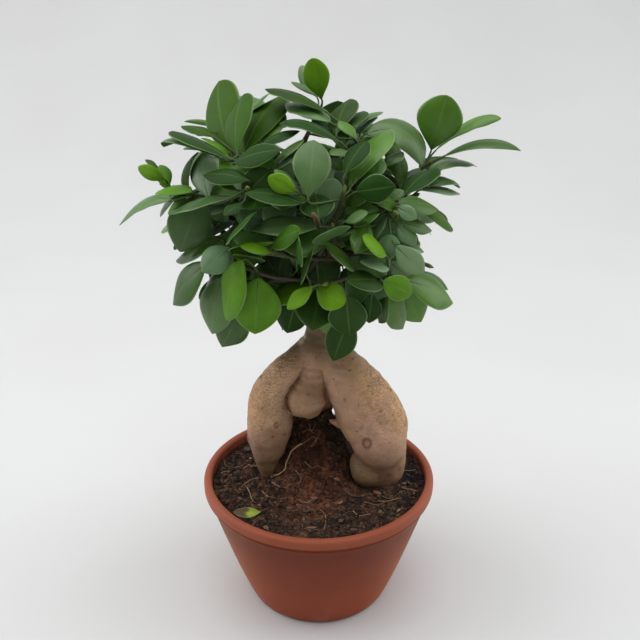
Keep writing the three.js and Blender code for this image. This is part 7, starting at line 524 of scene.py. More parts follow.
# x, y, z, radius, depth ratio of each station
LOBES = {
    'neck': [(3.04, 3, 229.67, 10.28, 1), (3.75, 3, 217.95, 11.76, 1), (4.12, 3, 207.52, 12.96, 1), (3.08, 2, 198.88, 15.05, 0.95), (1.69, 1, 191.69, 18.26, 0.82), (0.28, 2, 184.31, 20.51, 0.58), (-0.8, 3, 177.62, 19.23, 0.5), (-2.59, 3, 171.32, 12.16, 0.5)],
    'left': [(-3.23, 3, 197.7, 9.12, 1), (-14.47, 0, 188.68, 9.27, 1), (-23.84, -3, 179.64, 11.18, 1), (-31.84, -4, 168.81, 11.67, 1), (-34.98, -4, 162.11, 12.65, 1), (-36.52, -4, 154.94, 13.57, 1), (-36.52, -3.5, 148.23, 14.66, 0.95), (-35.94, -3, 141.45, 16.04, 0.88), (-36.52, -2, 130.17, 15.47, 0.85), (-37.27, -1, 121.2, 13.68, 0.88), (-37.6, -1, 114.42, 12.12, 0.92), (-38.14, 0, 107.82, 9.37, 1), (-37.85, 0, 101.77, 7.62, 1), (-37.49, 0, 93.04, 5.56, 1), (-38.34, 0, 83.32, 4.08, 1), (-38.73, 0, 68.94, 3.05, 1)],
    'left_rear': [(-11.22, 8, 179.24, 8.62, 1), (-21.58, 9, 162.82, 8.73, 1), (-28.42, 9, 148.13, 9.56, 1), (-31.22, 8, 135.37, 10, 1), (-32.21, 8, 124.4, 9.4, 1), (-33.57, 8, 114.13, 7.89, 1), (-34.63, 9, 103.96, 6.06, 1), (-35.01, 10, 90.95, 4.59, 1)],
    'centre': [(-2.91, 2, 183.54, 9.2, 1), (-4.09, -2, 178.39, 9.59, 1), (-5.08, -4, 172.34, 9.74, 1), (-7.07, -6, 165.88, 11.58, 1), (-8.22, -7, 159.29, 13.46, 1), (-7.55, -7, 153.32, 12.94, 1), (-6.3, -7, 148.51, 9.28, 1), (-6.17, -7, 144.88, 4.29, 1)],
    'right': [(3.79, 2, 196.6, 10.52, 1), (10.82, 0, 188.29, 13.35, 1), (17.91, -2, 178.39, 16.57, 0.95), (25.06, -4, 167.24, 20.39, 0.9), (31.92, -5, 155.46, 22.95, 0.88), (37.88, -6, 143.11, 23.83, 0.86), (41.71, -8, 134.45, 22.59, 0.88), (43.45, -10, 128.62, 20.59, 0.93), (44.68, -9.5, 122.94, 18.52, 0.92), (46.32, -5, 114.75, 17.17, 0.88), (47.36, -4, 107.75, 16.54, 0.9), (47.58, -4, 100.87, 15.43, 0.9), (47.64, -4, 94.36, 13.86, 0.9), (47.87, -4, 87.35, 9.74, 0.9), (47.72, -5, 75.18, 6.78, 1), (48.15, -5, 61.65, 3.8, 1)],
    'right_foot': [(27.38, -6, 112.83, 4.4, 1), (29.93, -8, 108.57, 8.5, 1), (33.65, -9, 103.24, 11.6, 1), (38.58, -9, 97.22, 10.91, 1), (43.3, -8, 89.61, 7.42, 1), (45.15, -7, 80.14, 3.74, 1)],
    'toe': [(38.49, -9, 100.67, 5.88, 1), (42.93, -10, 97.02, 8.1, 1), (47.49, -10, 92.7, 7.75, 1), (50.11, -9, 83.29, 4.47, 1)],
    'knob': [(15.43, -5, 136.84, 3.03, 1), (11.8, -5, 138.89, 2.45, 1), (8.9, -5.5, 140.39, 1.87, 1), (7.45, -6, 141.16, 1.01, 1)],
    'right_rear': [(8.19, 12, 185.32, 10.08, 1), (15.79, 20, 167.27, 11.1, 1), (22.97, 26, 147.73, 12.51, 1), (29.6, 30, 128.47, 13.53, 1), (35.59, 32, 107.88, 12.98, 1), (40.01, 33, 90.92, 10.35, 1), (42.79, 33, 76.08, 7.24, 1)],
    'back': [(-0.46, 14, 186.02, 10.12, 1), (0.98, 22, 171.22, 10, 1), (2.5, 29, 154.67, 10.62, 1), (2.53, 33, 139.03, 10.81, 1), (-0.97, 35, 126.64, 10.15, 1), (-2.97, 38, 113.43, 9.5, 1), (-3.86, 41, 91.58, 7.26, 1), (-4.72, 42, 77.85, 4.08, 1)],
}
FALLEN = ((-36.2, -46.2, 92.5), (-39.7, -46.8, 92.5), (-50.3, -48.6, 94.0), (-58.9, -47.5, 93.1), (0.05, -0.12, 0.99), 12.5, 0.8)

# ------------------------------------------------------------------ small maths helpers


def unit(a):
    a = np.asarray(a, float)
    return a / max(np.linalg.norm(a), 1e-12)


def value_noise(p, seed=0):
    """smooth noise in -1..1 at the points p (n, 3)"""
    p = np.asarray(p, float)
    i = np.floor(p).astype(np.int64)
    f = p - i
    w = f * f * (3.0 - 2.0 * f)
    out = np.zeros(len(p))
    for dx in (0, 1):
        for dy in (0, 1):
            for dz in (0, 1):
                h = ((i[:, 0] + dx) * 73856093) ^ ((i[:, 1] + dy) * 19349663) ^ ((i[:, 2] + dz) * 83492791) ^ (seed * 40503 + 977)
                h = (h ^ (h >> 13)) & 0xFFFFFFFF
                h = (h * 1274126177) & 0xFFFFFFFF
                h = (h ^ (h >> 16)) & 0xFFFFFFFF
                a = (w[:, 0] if dx else 1 - w[:, 0]) * (w[:, 1] if dy else 1 - w[:, 1]) * (w[:, 2] if dz else 1 - w[:, 2])
                out += a * (h / 2147483647.5 - 1.0)
    return out


def fbm(p, seed=0, octaves=3, gain=0.5):
    p = np.asarray(p, float)
    out, a = np.zeros(len(p)), 1.0
    for k in range(octaves):
        out += a * value_noise(p * (2.03**k) + 17.3 * k, seed + 31 * k)
        a *= gain
    return out


def smoothstep(lo, hi, x):
    t = np.clip((x - lo) / (hi - lo), 0, 1)
    return t * t * (3 - 2 * t)


def spline(points, per=6):
    """rows run through by a smooth curve, with per steps between two rows"""
    p = np.asarray(points, float)
    ext = np.vstack([2 * p[0] - p[1], p, 2 * p[-1] - p[-2]])
    out = []
    for i in range(len(p) - 1):
        p0, p1, p2, p3 = ext[i : i + 4]
        for j in range(per):
            t = j / per
            out.append(0.5 * (2 * p1 + (p2 - p0) * t + (2 * p0 - 5 * p1 + 4 * p2 - p3) * t * t + (3 * p1 - p0 - 3 * p2 + p3) * t**3))
    out.append(p[-1])
    return np.array(out)


class Build:
    """collects points (mm) and faces, with a colour and a surface co-ordinate for each point"""

    def __init__(self):
        self.v, self.f, self.c, self.q, self.m, self.n = [], [], [], [], [], 0

    def add(self, v, f, colour, coords=None, mat=0):
        v = np.asarray(v, float)
        colour = np.asarray(colour, float)
        if colour.ndim == 1:
            colour = np.repeat(colour[None, :], len(v), 0)
        self.v.append(v)
        self.c.append(colour[:, :3])
        self.q.append(np.zeros((len(v), 3)) if coords is None else np.asarray(coords, float))
        n = self.n
        self.f += [tuple(int(i) + n for i in face) for face in f]
        self.m += [mat] * len(f)
        self.n += len(v)

    def object(self, name, mats, smooth=True):
        me = bpy.data.meshes.new(name)
        v = np.vstack(self.v)
        me.from_pydata((v * MM).tolist(), [], self.f)
        for m in mats:
            me.materials.append(m)
        me.polygons.foreach_set("material_index", np.array(self.m, dtype=np.int32))
        me.polygons.foreach_set("use_smooth", np.full(len(me.polygons), smooth))
        tone = me.color_attributes.new(name="tone", type="FLOAT_COLOR", domain="POINT")
        c = np.vstack(self.c)
        tone.data.foreach_set("color", np.hstack([c, np.ones((len(c), 1))]).astype(np.float32).ravel())
        co = me.attributes.new(name="surf", type="FLOAT_VECTOR", domain="POINT")
        co.data.foreach_set("vector", np.vstack(self.q).astype(np.float32).ravel())
        me.validate()
        me.update()
        o = bpy.data.objects.new(name, me)
        bpy.context.scene.collection.objects.link(o)
        return o


def grid_faces(rows, cols, wrap=False):
    f = []
    for i in range(rows - 1):
        for j in range(cols if wrap else cols - 1):
            k = (j + 1) % cols
            a = i * cols
            f.append((a + j, a + k, a + cols + k, a + cols + j))
    return f


def outward(v, f):
    """the faces, turned to face out of the closed body"""
    v = np.asarray(v, float)
    vol = 0.0
    for face in f:
        a = v[face[0]]
        for i in range(1, len(face) - 1):
            vol += a @ np.cross(v[face[i]], v[face[i + 1]])
    return f if vol > 0 else [tuple(reversed(x)) for x in f]


def frames(path):
    """tangent and two normals that don't twist, for each point of a path"""
    path = np.asarray(path, float)
    t = np.gradient(path, axis=0)
    t /= np.maximum(np.linalg.norm(t, axis=1, keepdims=True), 1e-9)
    a = unit(np.cross(t[0], (0.31, 0.52, 0.79)))
    A = [a]
    for i in range(1, len(path)):
        a = a - t[i] * (a @ t[i])
        a = unit(a)
        A.append(a)
    A = np.array(A)
    return t, A, np.cross(t, A)


def tube(path, radius, sides, cap=0.6):
    """closed round tube with domed ends; radius is one number or one for each point"""
    path = np.asarray(path, float)
    n = len(path)
    radius = np.broadcast_to(np.asarray(radius, float), (n,)) if np.ndim(radius) < 2 else radius
    t, a, b = frames(path)
    ang = np.arange(sides) * 2 * math.pi / sides
    v = (path[:, None] + radius[:, None, None] * (np.cos(ang)[None, :, None] * a[:, None] + np.sin(ang)[None, :, None] * b[:, None])).reshape(-1, 3)
    f = grid_faces(n, sides, True)
    v = np.vstack([v, path[0] - t[0] * radius[0] * cap, path[-1] + t[-1] * radius[-1] * cap])
    for k in range(sides):
        k2 = (k + 1) % sides
        f.append((n * sides, k2, k))
        f.append((n * sides + 1, (n - 1) * sides + k, (n - 1) * sides + k2))
    return v, outward(v, f)


def apply_modifiers(o):
    dg = bpy.context.evaluated_depsgraph_get()
    me = bpy.data.meshes.new_from_object(o.evaluated_get(dg))
    o.modifiers.clear()
    old = o.data
    o.data = me
    bpy.data.meshes.remove(old)
    return o


def mesh_arrays(me):
    v = np.zeros(len(me.vertices) * 3, np.float32)
    me.vertices.foreach_get("co", v)
    n = np.zeros(len(me.vertices) * 3, np.float32)
    me.vertices.foreach_get("normal", n)
    return v.reshape(-1, 3).astype(float) / MM, n.reshape(-1, 3).astype(float)


def relax(me, v, times, amount=0.5):
    e = np.zeros(len(me.edges) * 2, np.int32)
    me.edges.foreach_get("vertices", e)
    e = e.reshape(-1, 2)
    deg = np.bincount(e.ravel(), minlength=len(v)).astype(float)[:, None]
    for _ in range(times):
        s = np.zeros_like(v)
        for k in range(3):
            s[:, k] = np.bincount(e[:, 0], v[e[:, 1], k], len(v)) + np.bincount(e[:, 1], v[e[:, 0], k], len(v))
        v = v + amount * (s / np.maximum(deg, 1) - v)
    return v


def normals_of(me, v):
    me.vertices.foreach_set("co", (v * MM).astype(np.float32).ravel())
    me.update()
    n = np.zeros(len(v) * 3, np.float32)
    me.vertices.foreach_get("normal", n)
    return n.reshape(-1, 3).astype(float)


def paint(me, colour, coords=None):
    tone = me.color_attributes.get("tone") or me.color_attributes.new(name="tone", type="FLOAT_COLOR", domain="POINT")
    tone.data.foreach_set("color", np.hstack([colour, np.ones((len(colour), 1))]).astype(np.float32).ravel())
    if coords is not None:
        co = me.attributes.get("surf") or me.attributes.new(name="surf", type="FLOAT_VECTOR", domain="POINT")
        co.data.foreach_set("vector", coords.astype(np.float32).ravel())


def srgb(r, g, b):
    """0..255 display values to linear"""
    c = np.array([r, g, b], float) / 255.0
    return np.where(c <= 0.04045, c / 12.92, ((c + 0.055) / 1.055) ** 2.4)


# ------------------------------------------------------------------ materials
class Nodes:
    def __init__(self, name):
        self.mat = bpy.data.materials.new(name)
        self.mat.use_nodes = True
        self.t = self.mat.node_tree
        self.t.nodes.clear()
        self.out = self.t.nodes.new("ShaderNodeOutputMaterial")
        self.bsdf = self.t.nodes.new("ShaderNodeBsdfPrincipled")
        self.link(self.bsdf.outputs[0], self.out.inputs["Surface"])

    def link(self, a, b):
        self.t.links.new(a, b)

    def new(self, kind, **values):
        n = self.t.nodes.new(kind)
        for k, v in values.items():
            setattr(n, k, v)
        return n

    def put(self, socket, value):
        if isinstance(value, (int, float)):
            socket.default_value = value
        elif isinstance(value, (tuple, list, np.ndarray)):
            v = list(value)
            socket.default_value = v + [1.0] if len(socket.default_value) == 4 and len(v) == 3 else v
        else:
            self.link(value, socket)

    def attr(self, name):
        return self.new("ShaderNodeAttribute", attribute_name=name, attribute_type="GEOMETRY")

    def where(self):
        return self.new("ShaderNodeTexCoord").outputs["Object"]

    def scaled(self, co, scale):
        m = self.new("ShaderNodeMapping")
        self.put(m.inputs["Vector"], co)
        self.put(m.inputs["Scale"], scale)
        return m.outputs[0]

    def noise(self, co, scale, detail=3.0, rough=0.55, distortion=0.0):
        n = self.new("ShaderNodeTexNoise")
        self.put(n.inputs["Vector"], co)
        n.inputs["Scale"].default_value = scale
        n.inputs["Detail"].default_value = detail
        n.inputs["Roughness"].default_value = rough
        n.inputs["Distortion"].default_value = distortion
        return n.outputs["Fac"]

    def voronoi(self, co, scale, feature="F1", out="Distance"):
        n = self.new("ShaderNodeTexVoronoi", feature=feature)
        self.put(n.inputs["Vector"], co)
        n.inputs["Scale"].default_value = scale
        return n.outputs[out]

    def math(self, op, a, b=0.0, c=0.0, clamp=False):
        n = self.new("ShaderNodeMath", operation=op, use_clamp=clamp)
        self.put(n.inputs[0], a)
        self.put(n.inputs[1], b)
        self.put(n.inputs[2], c)
        return n.outputs[0]

    def span(self, x, lo, hi, a=0.0, b=1.0, smooth=True):
        n = self.new("ShaderNodeMapRange", interpolation_type="SMOOTHSTEP" if smooth else "LINEAR")
        self.put(n.inputs["Value"], x)
        for s, val in (("From Min", lo), ("From Max", hi), ("To Min", a), ("To Max", b)):
            n.inputs[s].default_value = val
        return n.outputs["Result"]

    def mix(self, fac, a, b, blend="MIX"):
        n = self.new("ShaderNodeMix", data_type="RGBA", blend_type=blend, clamp_factor=True)
        self.put(n.inputs[0], fac)
        self.put(n.inputs[6], a)
        self.put(n.inputs[7], b)
        return n.outputs[2]

    def shade(self, colour, amount):
        """colour times a grey number"""
        c = self.new("ShaderNodeCombineColor")
        for i in range(3):
            self.link(amount, c.inputs[i])
        return self.mix(1.0, colour, c.outputs[0], "MULTIPLY")

    def bump(self, height, distance, strength=1.0, under=None):
        n = self.new("ShaderNodeBump")
        n.inputs["Strength"].default_value = strength
        n.inputs["Distance"].default_value = distance
        self.link(height, n.inputs["Height"])
        if under is not None:
            self.link(under, n.inputs["Normal"])
        return n.outputs[0]

    def finish(self, colour, rough, normal=None, **fixed):
        self.put(self.bsdf.inputs["Base Color"], colour)
        self.put(self.bsdf.inputs["Roughness"], rough)
        if normal is not None:
            self.link(normal, self.bsdf.inputs["Normal"])
        for k, v in fixed.items():
            self.bsdf.inputs[k.replace("_", " ")].default_value = v
        return self.mat


def leaf_material(name, gloss, satin):
    m = Nodes(name)
    tone = m.attr("tone").outputs["Color"]
    s = m.new("ShaderNodeSeparateXYZ")
    m.link(m.attr("surf").outputs["Vector"], s.inputs[0])
    along, across, side = s.outputs[0], s.outputs[1], s.outputs[2]
    a = m.math("ABSOLUTE", across)
    mid = m.span(a, 0.03, 0.085, 1.0, 0.0)
    # side veins rise from the midrib towards the tip
    phase = m.math("SUBTRACT", m.math("MULTIPLY", along, 11.0), m.math("MULTIPLY", a, 2.6))
    wave = m.math("SINE", m.math("MULTIPLY", phase, 6.28318))
    veins = m.math("MULTIPLY", m.span(wave, 0.72, 1.0), m.span(a, 0.55, 0.98, 1.0, 0.0))
    rim = m.span(a, 0.90, 0.985)
    o = m.where()
    big = m.noise(o, 75.0, 3.0, 0.6)
    fine = m.noise(o, 620.0, 2.0, 0.6)
    col = m.shade(tone, m.span(big, 0.25, 0.75, 0.82, 1.20, False))
    col = m.mix(m.math("MULTIPLY", veins, 0.025), col, (0.24, 0.36, 0.09))
    col = m.mix(m.math("MULTIPLY", mid, 0.12), col, (0.28, 0.40, 0.10))
    col = m.mix(m.math("MULTIPLY", rim, 0.52), col, (0.24, 0.37, 0.14))
    specks = m.span(m.voronoi(o, 230.0), 0.0, 0.10, 1.0, 0.0)
    col = m.mix(m.math("MULTIPLY", specks, 0.10), col, (0.10, 0.06, 0.02))
    pale = m.mix(0.32, col, (0.17, 0.28, 0.10))
    col = m.mix(m.math("SUBTRACT", 1.0, side, clamp=True), col, pale)
    rough = m.math("ADD", m.span(big, 0.3, 0.7, satin, satin + 0.11, False), m.math("MULTIPLY", m.math("SUBTRACT", 1.0, side), 0.22))
    h = m.math("ADD", m.math("MULTIPLY", m.math("ADD", mid, m.math("MULTIPLY", veins, 0.55)), -0.6), m.math("MULTIPLY", fine, 0.25))
    return m.finish(col, rough, m.bump(h, 0.00012, 0.5), Specular_IOR_Level=gloss)


def twig_material():
    m = Nodes("twig_surface")
    tone = m.attr("tone").outputs["Color"]
    o = m.where()
    n1 = m.noise(o, 260.0, 4.0, 0.65)
    n2 = m.noise(m.scaled(o, (1.0, 1.0, 0.25)), 900.0, 2.0, 0.6)
    dots = m.span(m.voronoi(o, 420.0), 0.05, 0.22, 1.0, 0.0)
    col = m.shade(tone, m.span(n1, 0.3, 0.7, 0.72, 1.25, False))
    col = m.mix(m.math("MULTIPLY", dots, 0.35), col, (0.32, 0.24, 0.15))
    h = m.math("ADD", m.math("MULTIPLY", n2, 0.6), m.math("MULTIPLY", dots, 0.6))
    return m.finish(col, m.span(n1, 0.3, 0.7, 0.50, 0.72, False), m.bump(h, 0.0003, 0.8))


def bark_material():
    m = Nodes("root_bark_surface")
    tone = m.attr("tone").outputs["Color"]
    o = m.where()
    flat = m.scaled(o, (1.0, 1.0, 2.6))
    crack = m.voronoi(flat, 240.0, "DISTANCE_TO_EDGE")
    lines = m.span(crack, 0.0, 0.075, 1.0, 0.0)
    n1 = m.noise(o, 120.0, 4.0, 0.6)
    n2 = m.noise(flat, 700.0, 3.0, 0.65)
    dots = m.span(m.voronoi(o, 165.0), 0.04, 0.13, 1.0, 0.0)
    s = m.new("ShaderNodeSeparateXYZ")
    m.link(m.attr("surf").outputs["Vector"], s.inputs[0])
    rough_skin = s.outputs[0]  # how wrinkled the skin is here
    lines = m.math("MULTIPLY", lines, rough_skin)
    col = m.shade(tone, m.span(n1, 0.28, 0.72, 0.84, 1.17, False))
    col = m.shade(col, m.span(n2, 0.3, 0.7, 0.92, 1.08, False))
    flakes = m.math("MULTIPLY", m.span(m.noise(flat, 420.0, 3.0, 0.7), 0.54, 0.66), rough_skin)
    col = m.mix(m.math("MULTIPLY", flakes, 0.50), col, (0.74, 0.50, 0.30))
    col = m.mix(m.math("MULTIPLY", lines, 0.42), col, (0.13, 0.068, 0.032))
    col = m.mix(m.math("MULTIPLY", dots, 0.50), col, (0.09, 0.045, 0.024))
    h = m.math("SUBTRACT", m.math("MULTIPLY", n2, 0.45), m.math("MULTIPLY", lines, 1.0))
    h = m.math("ADD", h, m.math("MULTIPLY", dots, 0.4))
    return m.finish(col, m.span(n1, 0.3, 0.7, 0.52, 0.70, False), m.bump(h, 0.0005, 0.75), Specular_IOR_Level=0.42)


def soil_material(name, shine=0.0):
    m = Nodes(name)
    tone = m.attr("tone").outputs["Color"]
    o = m.where()
    n1 = m.noise(o, 330.0, 5.0, 0.7)
    n2 = m.noise(o, 1300.0, 3.0, 0.7)
    grit = m.voronoi(o, 700.0, "F1", "Color")
    sep = m.new("ShaderNodeSeparateColor")
    m.link(grit, sep.inputs[0])
    g = sep.outputs[0]
    col = m.shade(tone, m.span(n1, 0.28, 0.72, 0.32, 1.62, False))
    col = m.shade(col, m.span(n2, 0.3, 0.7, 0.6, 1.36, False))
    col = m.mix(m.span(g, 0.93, 0.97, 0.0, 0.5), col, (0.22, 0.13, 0.07))
    h = m.math("ADD", m.math("MULTIPLY", n1, 1.0), m.math("MULTIPLY", n2, 0.5))
    return m.finish(col, m.span(n1, 0.3, 0.7, 0.98 - shine, 0.80 - shine, False), m.bump(h, 0.0012, 1.0), Specular_IOR_Level=0.22)


def pot_material():
    m = Nodes("terracotta_plastic_surface")
    o = m.where()
    s = m.new("ShaderNodeSeparateXYZ")
    m.link(o, s.inputs[0])
    z = s.outputs[2]
    n1 = m.noise(o, 22.0, 4.0, 0.6)
    n2 = m.noise(m.scaled(o, (1.0, 1.0, 0.16)), 120.0, 3.0, 0.6)
    n3 = m.noise(o, 1900.0, 2.0, 0.6)
    col = m.mix(m.span(n1, 0.3, 0.7), (0.212, 0.035, 0.0075), (0.236, 0.041, 0.0095))
    col = m.shade(col, m.span(n2, 0.3, 0.7, 0.955, 1.045, False))
    col = m.shade(col, m.span(n3, 0.25, 0.75, 0.95, 1.05, False))
    # painted light: the bowl is made paler towards its foot (light thrown back from the floor), on its flanks (grazing
    # sheen) and on the lip (top light)
    xs = m.math("ABSOLUTE", s.outputs[0])
    col = m.mix(m.span(xs, 0.026, 0.072, 0.0, 0.9), col, (0.345, 0.086, 0.018))
    col = m.shade(col, m.span(z, 0.0, 0.050, 1.28, 1.0))
    # painted shade under the lip, fading down the wall
    under = m.math("MULTIPLY", m.span(z, 0.030, 0.0865), m.span(z, 0.0896, 0.0908, 1.0, 0.0))
    col = m.mix(m.math("MULTIPLY", under, 0.55), col, (0.085, 0.013, 0.003))
    # painted highlight: the lip takes a lighter orange, lighter still on its flanks
    lip = m.mix(m.span(n1, 0.3, 0.7), (0.262, 0.066, 0.032), (0.284, 0.075, 0.038))
    lip = m.mix(m.span(xs, 0.050, 0.084), lip, (0.330, 0.092, 0.048))
    col = m.mix(m.span(z, 0.0898, 0.0914), col, lip)
    # pale dust near the foot and under the lip, dark peat stains inside
    dust = m.math("MULTIPLY", m.span(m.noise(o, 60.0, 4.0, 0.65), 0.5, 0.8), m.span(z, 0.0, 0.03, 0.35, 0.06))
    col = m.mix(dust, col, (0.36, 0.19, 0.12))
    dirt = m.math("MULTIPLY", m.span(m.noise(o, 260.0, 4.0, 0.7), 0.50, 0.66), m.math("MULTIPLY", m.attr("surf").outputs["Fac"], 1.0))
    col = m.mix(m.math("MULTIPLY", dirt, 0.75), col, (0.045, 0.028, 0.020))
    scuff = m.span(m.noise(m.scaled(o, (1.0, 1.0, 0.4)), 75.0, 5.0, 0.75, 0.6), 0.66, 0.74, 0.0, 0.14)
    col = m.mix(scuff, col, (0.36, 0.14, 0.08))
    rough = m.math("ADD", m.span(n1, 0.3, 0.7, 0.40, 0.50, False), m.math("MULTIPLY", n2, 0.06))
    bevel = m.math("MULTIPLY", m.span(z, 0.0855, 0.0870), m.span(z, 0.0900, 0.0912, 1.0, 0.0))
    rough = m.math("ADD", rough, m.math("MULTIPLY", bevel, 0.5), clamp=True)
    h = m.math("ADD", m.math("MULTIPLY", n3, 0.5), m.math("MULTIPLY", n2, 0.8))
    return m.finish(col, rough, m.bump(h, 0.00012, 0.6), Specular_IOR_Level=0.17)


def fibre_material():
    m = Nodes("dry_fibre_surface")
    tone = m.attr("tone").outputs["Color"]
    o = m.where()
    n1 = m.noise(o, 500.0, 3.0, 0.6)
    col = m.shade(tone, m.span(n1, 0.3, 0.7, 0.75, 1.2, False))
    return m.finish(col, m.span(n1, 0.3, 0.7, 0.6, 0.8, False), m.bump(n1, 0.00015, 0.7))


LEAF, YOUNG_LEAF = leaf_material("leaf_surface", 0.33, 0.30), leaf_material("young_leaf_surface", 0.12, 0.44)
TWIG, BARK, POT, FIBRE = twig_material(), bark_material(), pot_material(), fibre_material()
SOIL, CRUMB = soil_material("peat_surface"), soil_material("peat_crumb_surface", 0.08)

# ------------------------------------------------------------------ bowl
POT_HEIGHT, RIM, BASE, WALL, LIP_IN = 97.0, 85.0, 52.7, 2.4, 78.9
SHOULDER_Z, SHOULDER_R, POWER, FLOOR_Z = 91.0, 83.4, 0.865, 5.0


def wall(z):
    return BASE + (SHOULDER_R - BASE) * (max(z, 0.0) / SHOULDER_Z) ** POWER


def make_pot():
    pts = [(0.0, 0.0)]
    pts += [(17.6, 0.0), (18.1, 0.2), (19.2, 1.9), (19.9, 2.2), (43.6, 2.2), (44.3, 1.9), (45.3, 0.2), (45.8, 0.0), (49.7, 0.0)]
    pts += [(50.9, 0.15), (51.8, 0.6), (52.4, 1.4), (wall(2.4), 2.4)]
    pts += [(wall(z), z) for z in np.linspace(4.5, 85.4, 30)]
    pts += [(82.45, 86.7), (83.1, 87.6), (83.85, 88.3), (84.65, 89.2), (84.95, 90.2), (85.0, 91.4), (85.0, 93.2)]
    for a in np.linspace(0.12, 1.0, 9):
        t = a * math.pi / 2
        pts.append((82.1 + 2.9 * math.cos(t), 94.0 + 2.95 * math.sin(t)))
    pts += [(81.0, 96.9), (80.2, 96.6), (79.5, 96.0), (79.05, 95.1), (78.9, 94.0), (78.9, 91.5), (78.9, 88.0), (78.9, 85.2)]
    pts += [(wall(z) - WALL, z) for z in np.linspace(83.6, 14.0, 8)]
    pts += [(wall(10.0) - WALL - 1.6, 8.0), (wall(8.0) - WALL - 3.4, 6.0), (wall(7.0) - WALL - 6.0, 5.0), (0.0, 5.0)]
    seg = 160
    b = Build()
    rows = pts[1:-1]
    ang = np.arange(seg) * 2 * math.pi / seg
    v = []
    for r, z in rows:
        wob = 1.0 + 0.0011 * np.sin(2 * ang + 0.7) * (z / 97.0) + 0.0006 * np.sin(3 * ang + 2.1) * (z / 97.0)
        zz = z + (0.18 * np.sin(2 * ang + 1.9) if z > 80 else 0.0)
        v.append(np.stack([r * wob * np.cos(ang), r * wob * np.sin(ang), np.broadcast_to(zz, ang.shape)], 1))
    v = np.vstack(v + [np.array([[0.0, 0.0, pts[0][1]], [0.0, 0.0, pts[-1][1]]])])
    n = len(rows)
    f = grid_faces(n, seg, True)
    for k in range(seg):
        k2 = (k + 1) % seg
        f.append((n * seg, k2, k))
        f.append((n * seg + 1, (n - 1) * seg + k, (n - 1) * seg + k2))
    b.add(v, outward(v, f), (0.3, 0.1, 0.06))
    o = b.object("bowl", [POT])
    # drain holes
    cut = bpy.data.meshes.new("drains")
    bm = bmesh.new()
    for i in range(6):
        a = (i + 0.5) / 6 * 2 * math.pi
        g = bmesh.ops.create_cone(bm, cap_ends=True, segments=28, radius1=4.0 * MM, radius2=4.0 * MM, depth=16 * MM)
        bmesh.ops.translate(bm, verts=g["verts"], vec=(32 * MM * math.cos(a), 32 * MM * math.sin(a), 3 * MM))
    bm.to_mesh(cut)
    bm.free()
    co = bpy.data.objects.new("drains", cut)
    bpy.context.scene.collection.objects.link(co)
    mod = o.modifiers.new("holes", "BOOLEAN")
    mod.operation, mod.object, mod.solver = "DIFFERENCE", co, "EXACT"
    apply_modifiers(o)
    bpy.data.objects.remove(co)
    me = o.data
    v, _ = mesh_arrays(me)
    r = np.hypot(v[:, 0], v[:, 1])
    skin = np.array([min(wall(min(z, 88.0)) - WALL * 0.5, 80.6) for z in v[:, 2]])
    inside = ((r < skin) & (v[:, 2] > 4.0)).astype(float) * smoothstep(97.0, 92.0, v[:, 2])
    paint(me, np.repeat(np.array([[0.3, 0.1, 0.06]]), len(v), 0), np.repeat(inside[:, None], 3, 1))
    me.polygons.foreach_set("use_smooth", np.full(len(me.polygons), True))
    me.set_sharp_from_angle(angle=math.radians(38))
    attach(o, "root")
    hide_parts("pot")
    return o


# ------------------------------------------------------------------ swollen roots
def lobe_mesh(stations, per=5, sides=36):
    s = spline(stations, per)
    n = len(s)
    c = s[:, :3]
    t = np.gradient(c, axis=0)
    t /= np.linalg.norm(t, axis=1, keepdims=True)
    side = np.cross(t, (0.0, 1.0, 0.0))
    side /= np.linalg.norm(side, axis=1, keepdims=True)
    deep = np.cross(side, t)
    r, k = np.maximum(s[:, 3], 0.4), s[:, 4]
    ang = np.arange(sides) * 2 * math.pi / sides
    v = c[:, None] + (r[:, None] * np.cos(ang)[None])[..., None] * side[:, None] + ((r * k)[:, None] * np.sin(ang)[None])[..., None] * deep[:, None]
    v = v.reshape(-1, 3)
    f = grid_faces(n, sides, True)
    v = np.vstack([v, c[0] - t[0] * r[0] * 0.5, c[-1] + t[-1] * r[-1] * 0.5])
    for q in range(sides):
        q2 = (q + 1) % sides
        f.append((n * sides, q2, q))
        f.append((n * sides + 1, (n - 1) * sides + q, (n - 1) * sides + q2))
    return v, outward(v, f)


def tree_of(o):
    me = o.data
    v = np.zeros(len(me.vertices) * 3, np.float32)
    me.vertices.foreach_get("co", v)
    me.calc_loop_triangles()
    t = np.zeros(len(me.loop_triangles) * 3, np.int32)
    me.loop_triangles.foreach_get("vertices", t)
    return BVHTree.FromPolygons(v.reshape(-1, 3).tolist(), t.reshape(-1, 3).tolist())


def pick(trees, u, v):
    """where the line of sight through a pixel first meets one of the trees (mm), with the surface normal"""
    best = None
    for t in trees:
        hit = t.ray_cast(Vector(CAM * MM), Vector(pixel_ray(u, v)))
        if hit[0] is not None and (best is None or hit[3] < best[2]):
            n = np.array(hit[1])
            best = (np.array(hit[0]) / MM, n if n @ pixel_ray(u, v) < 0 else -n, hit[3])
    return None if best is None else best[:2]


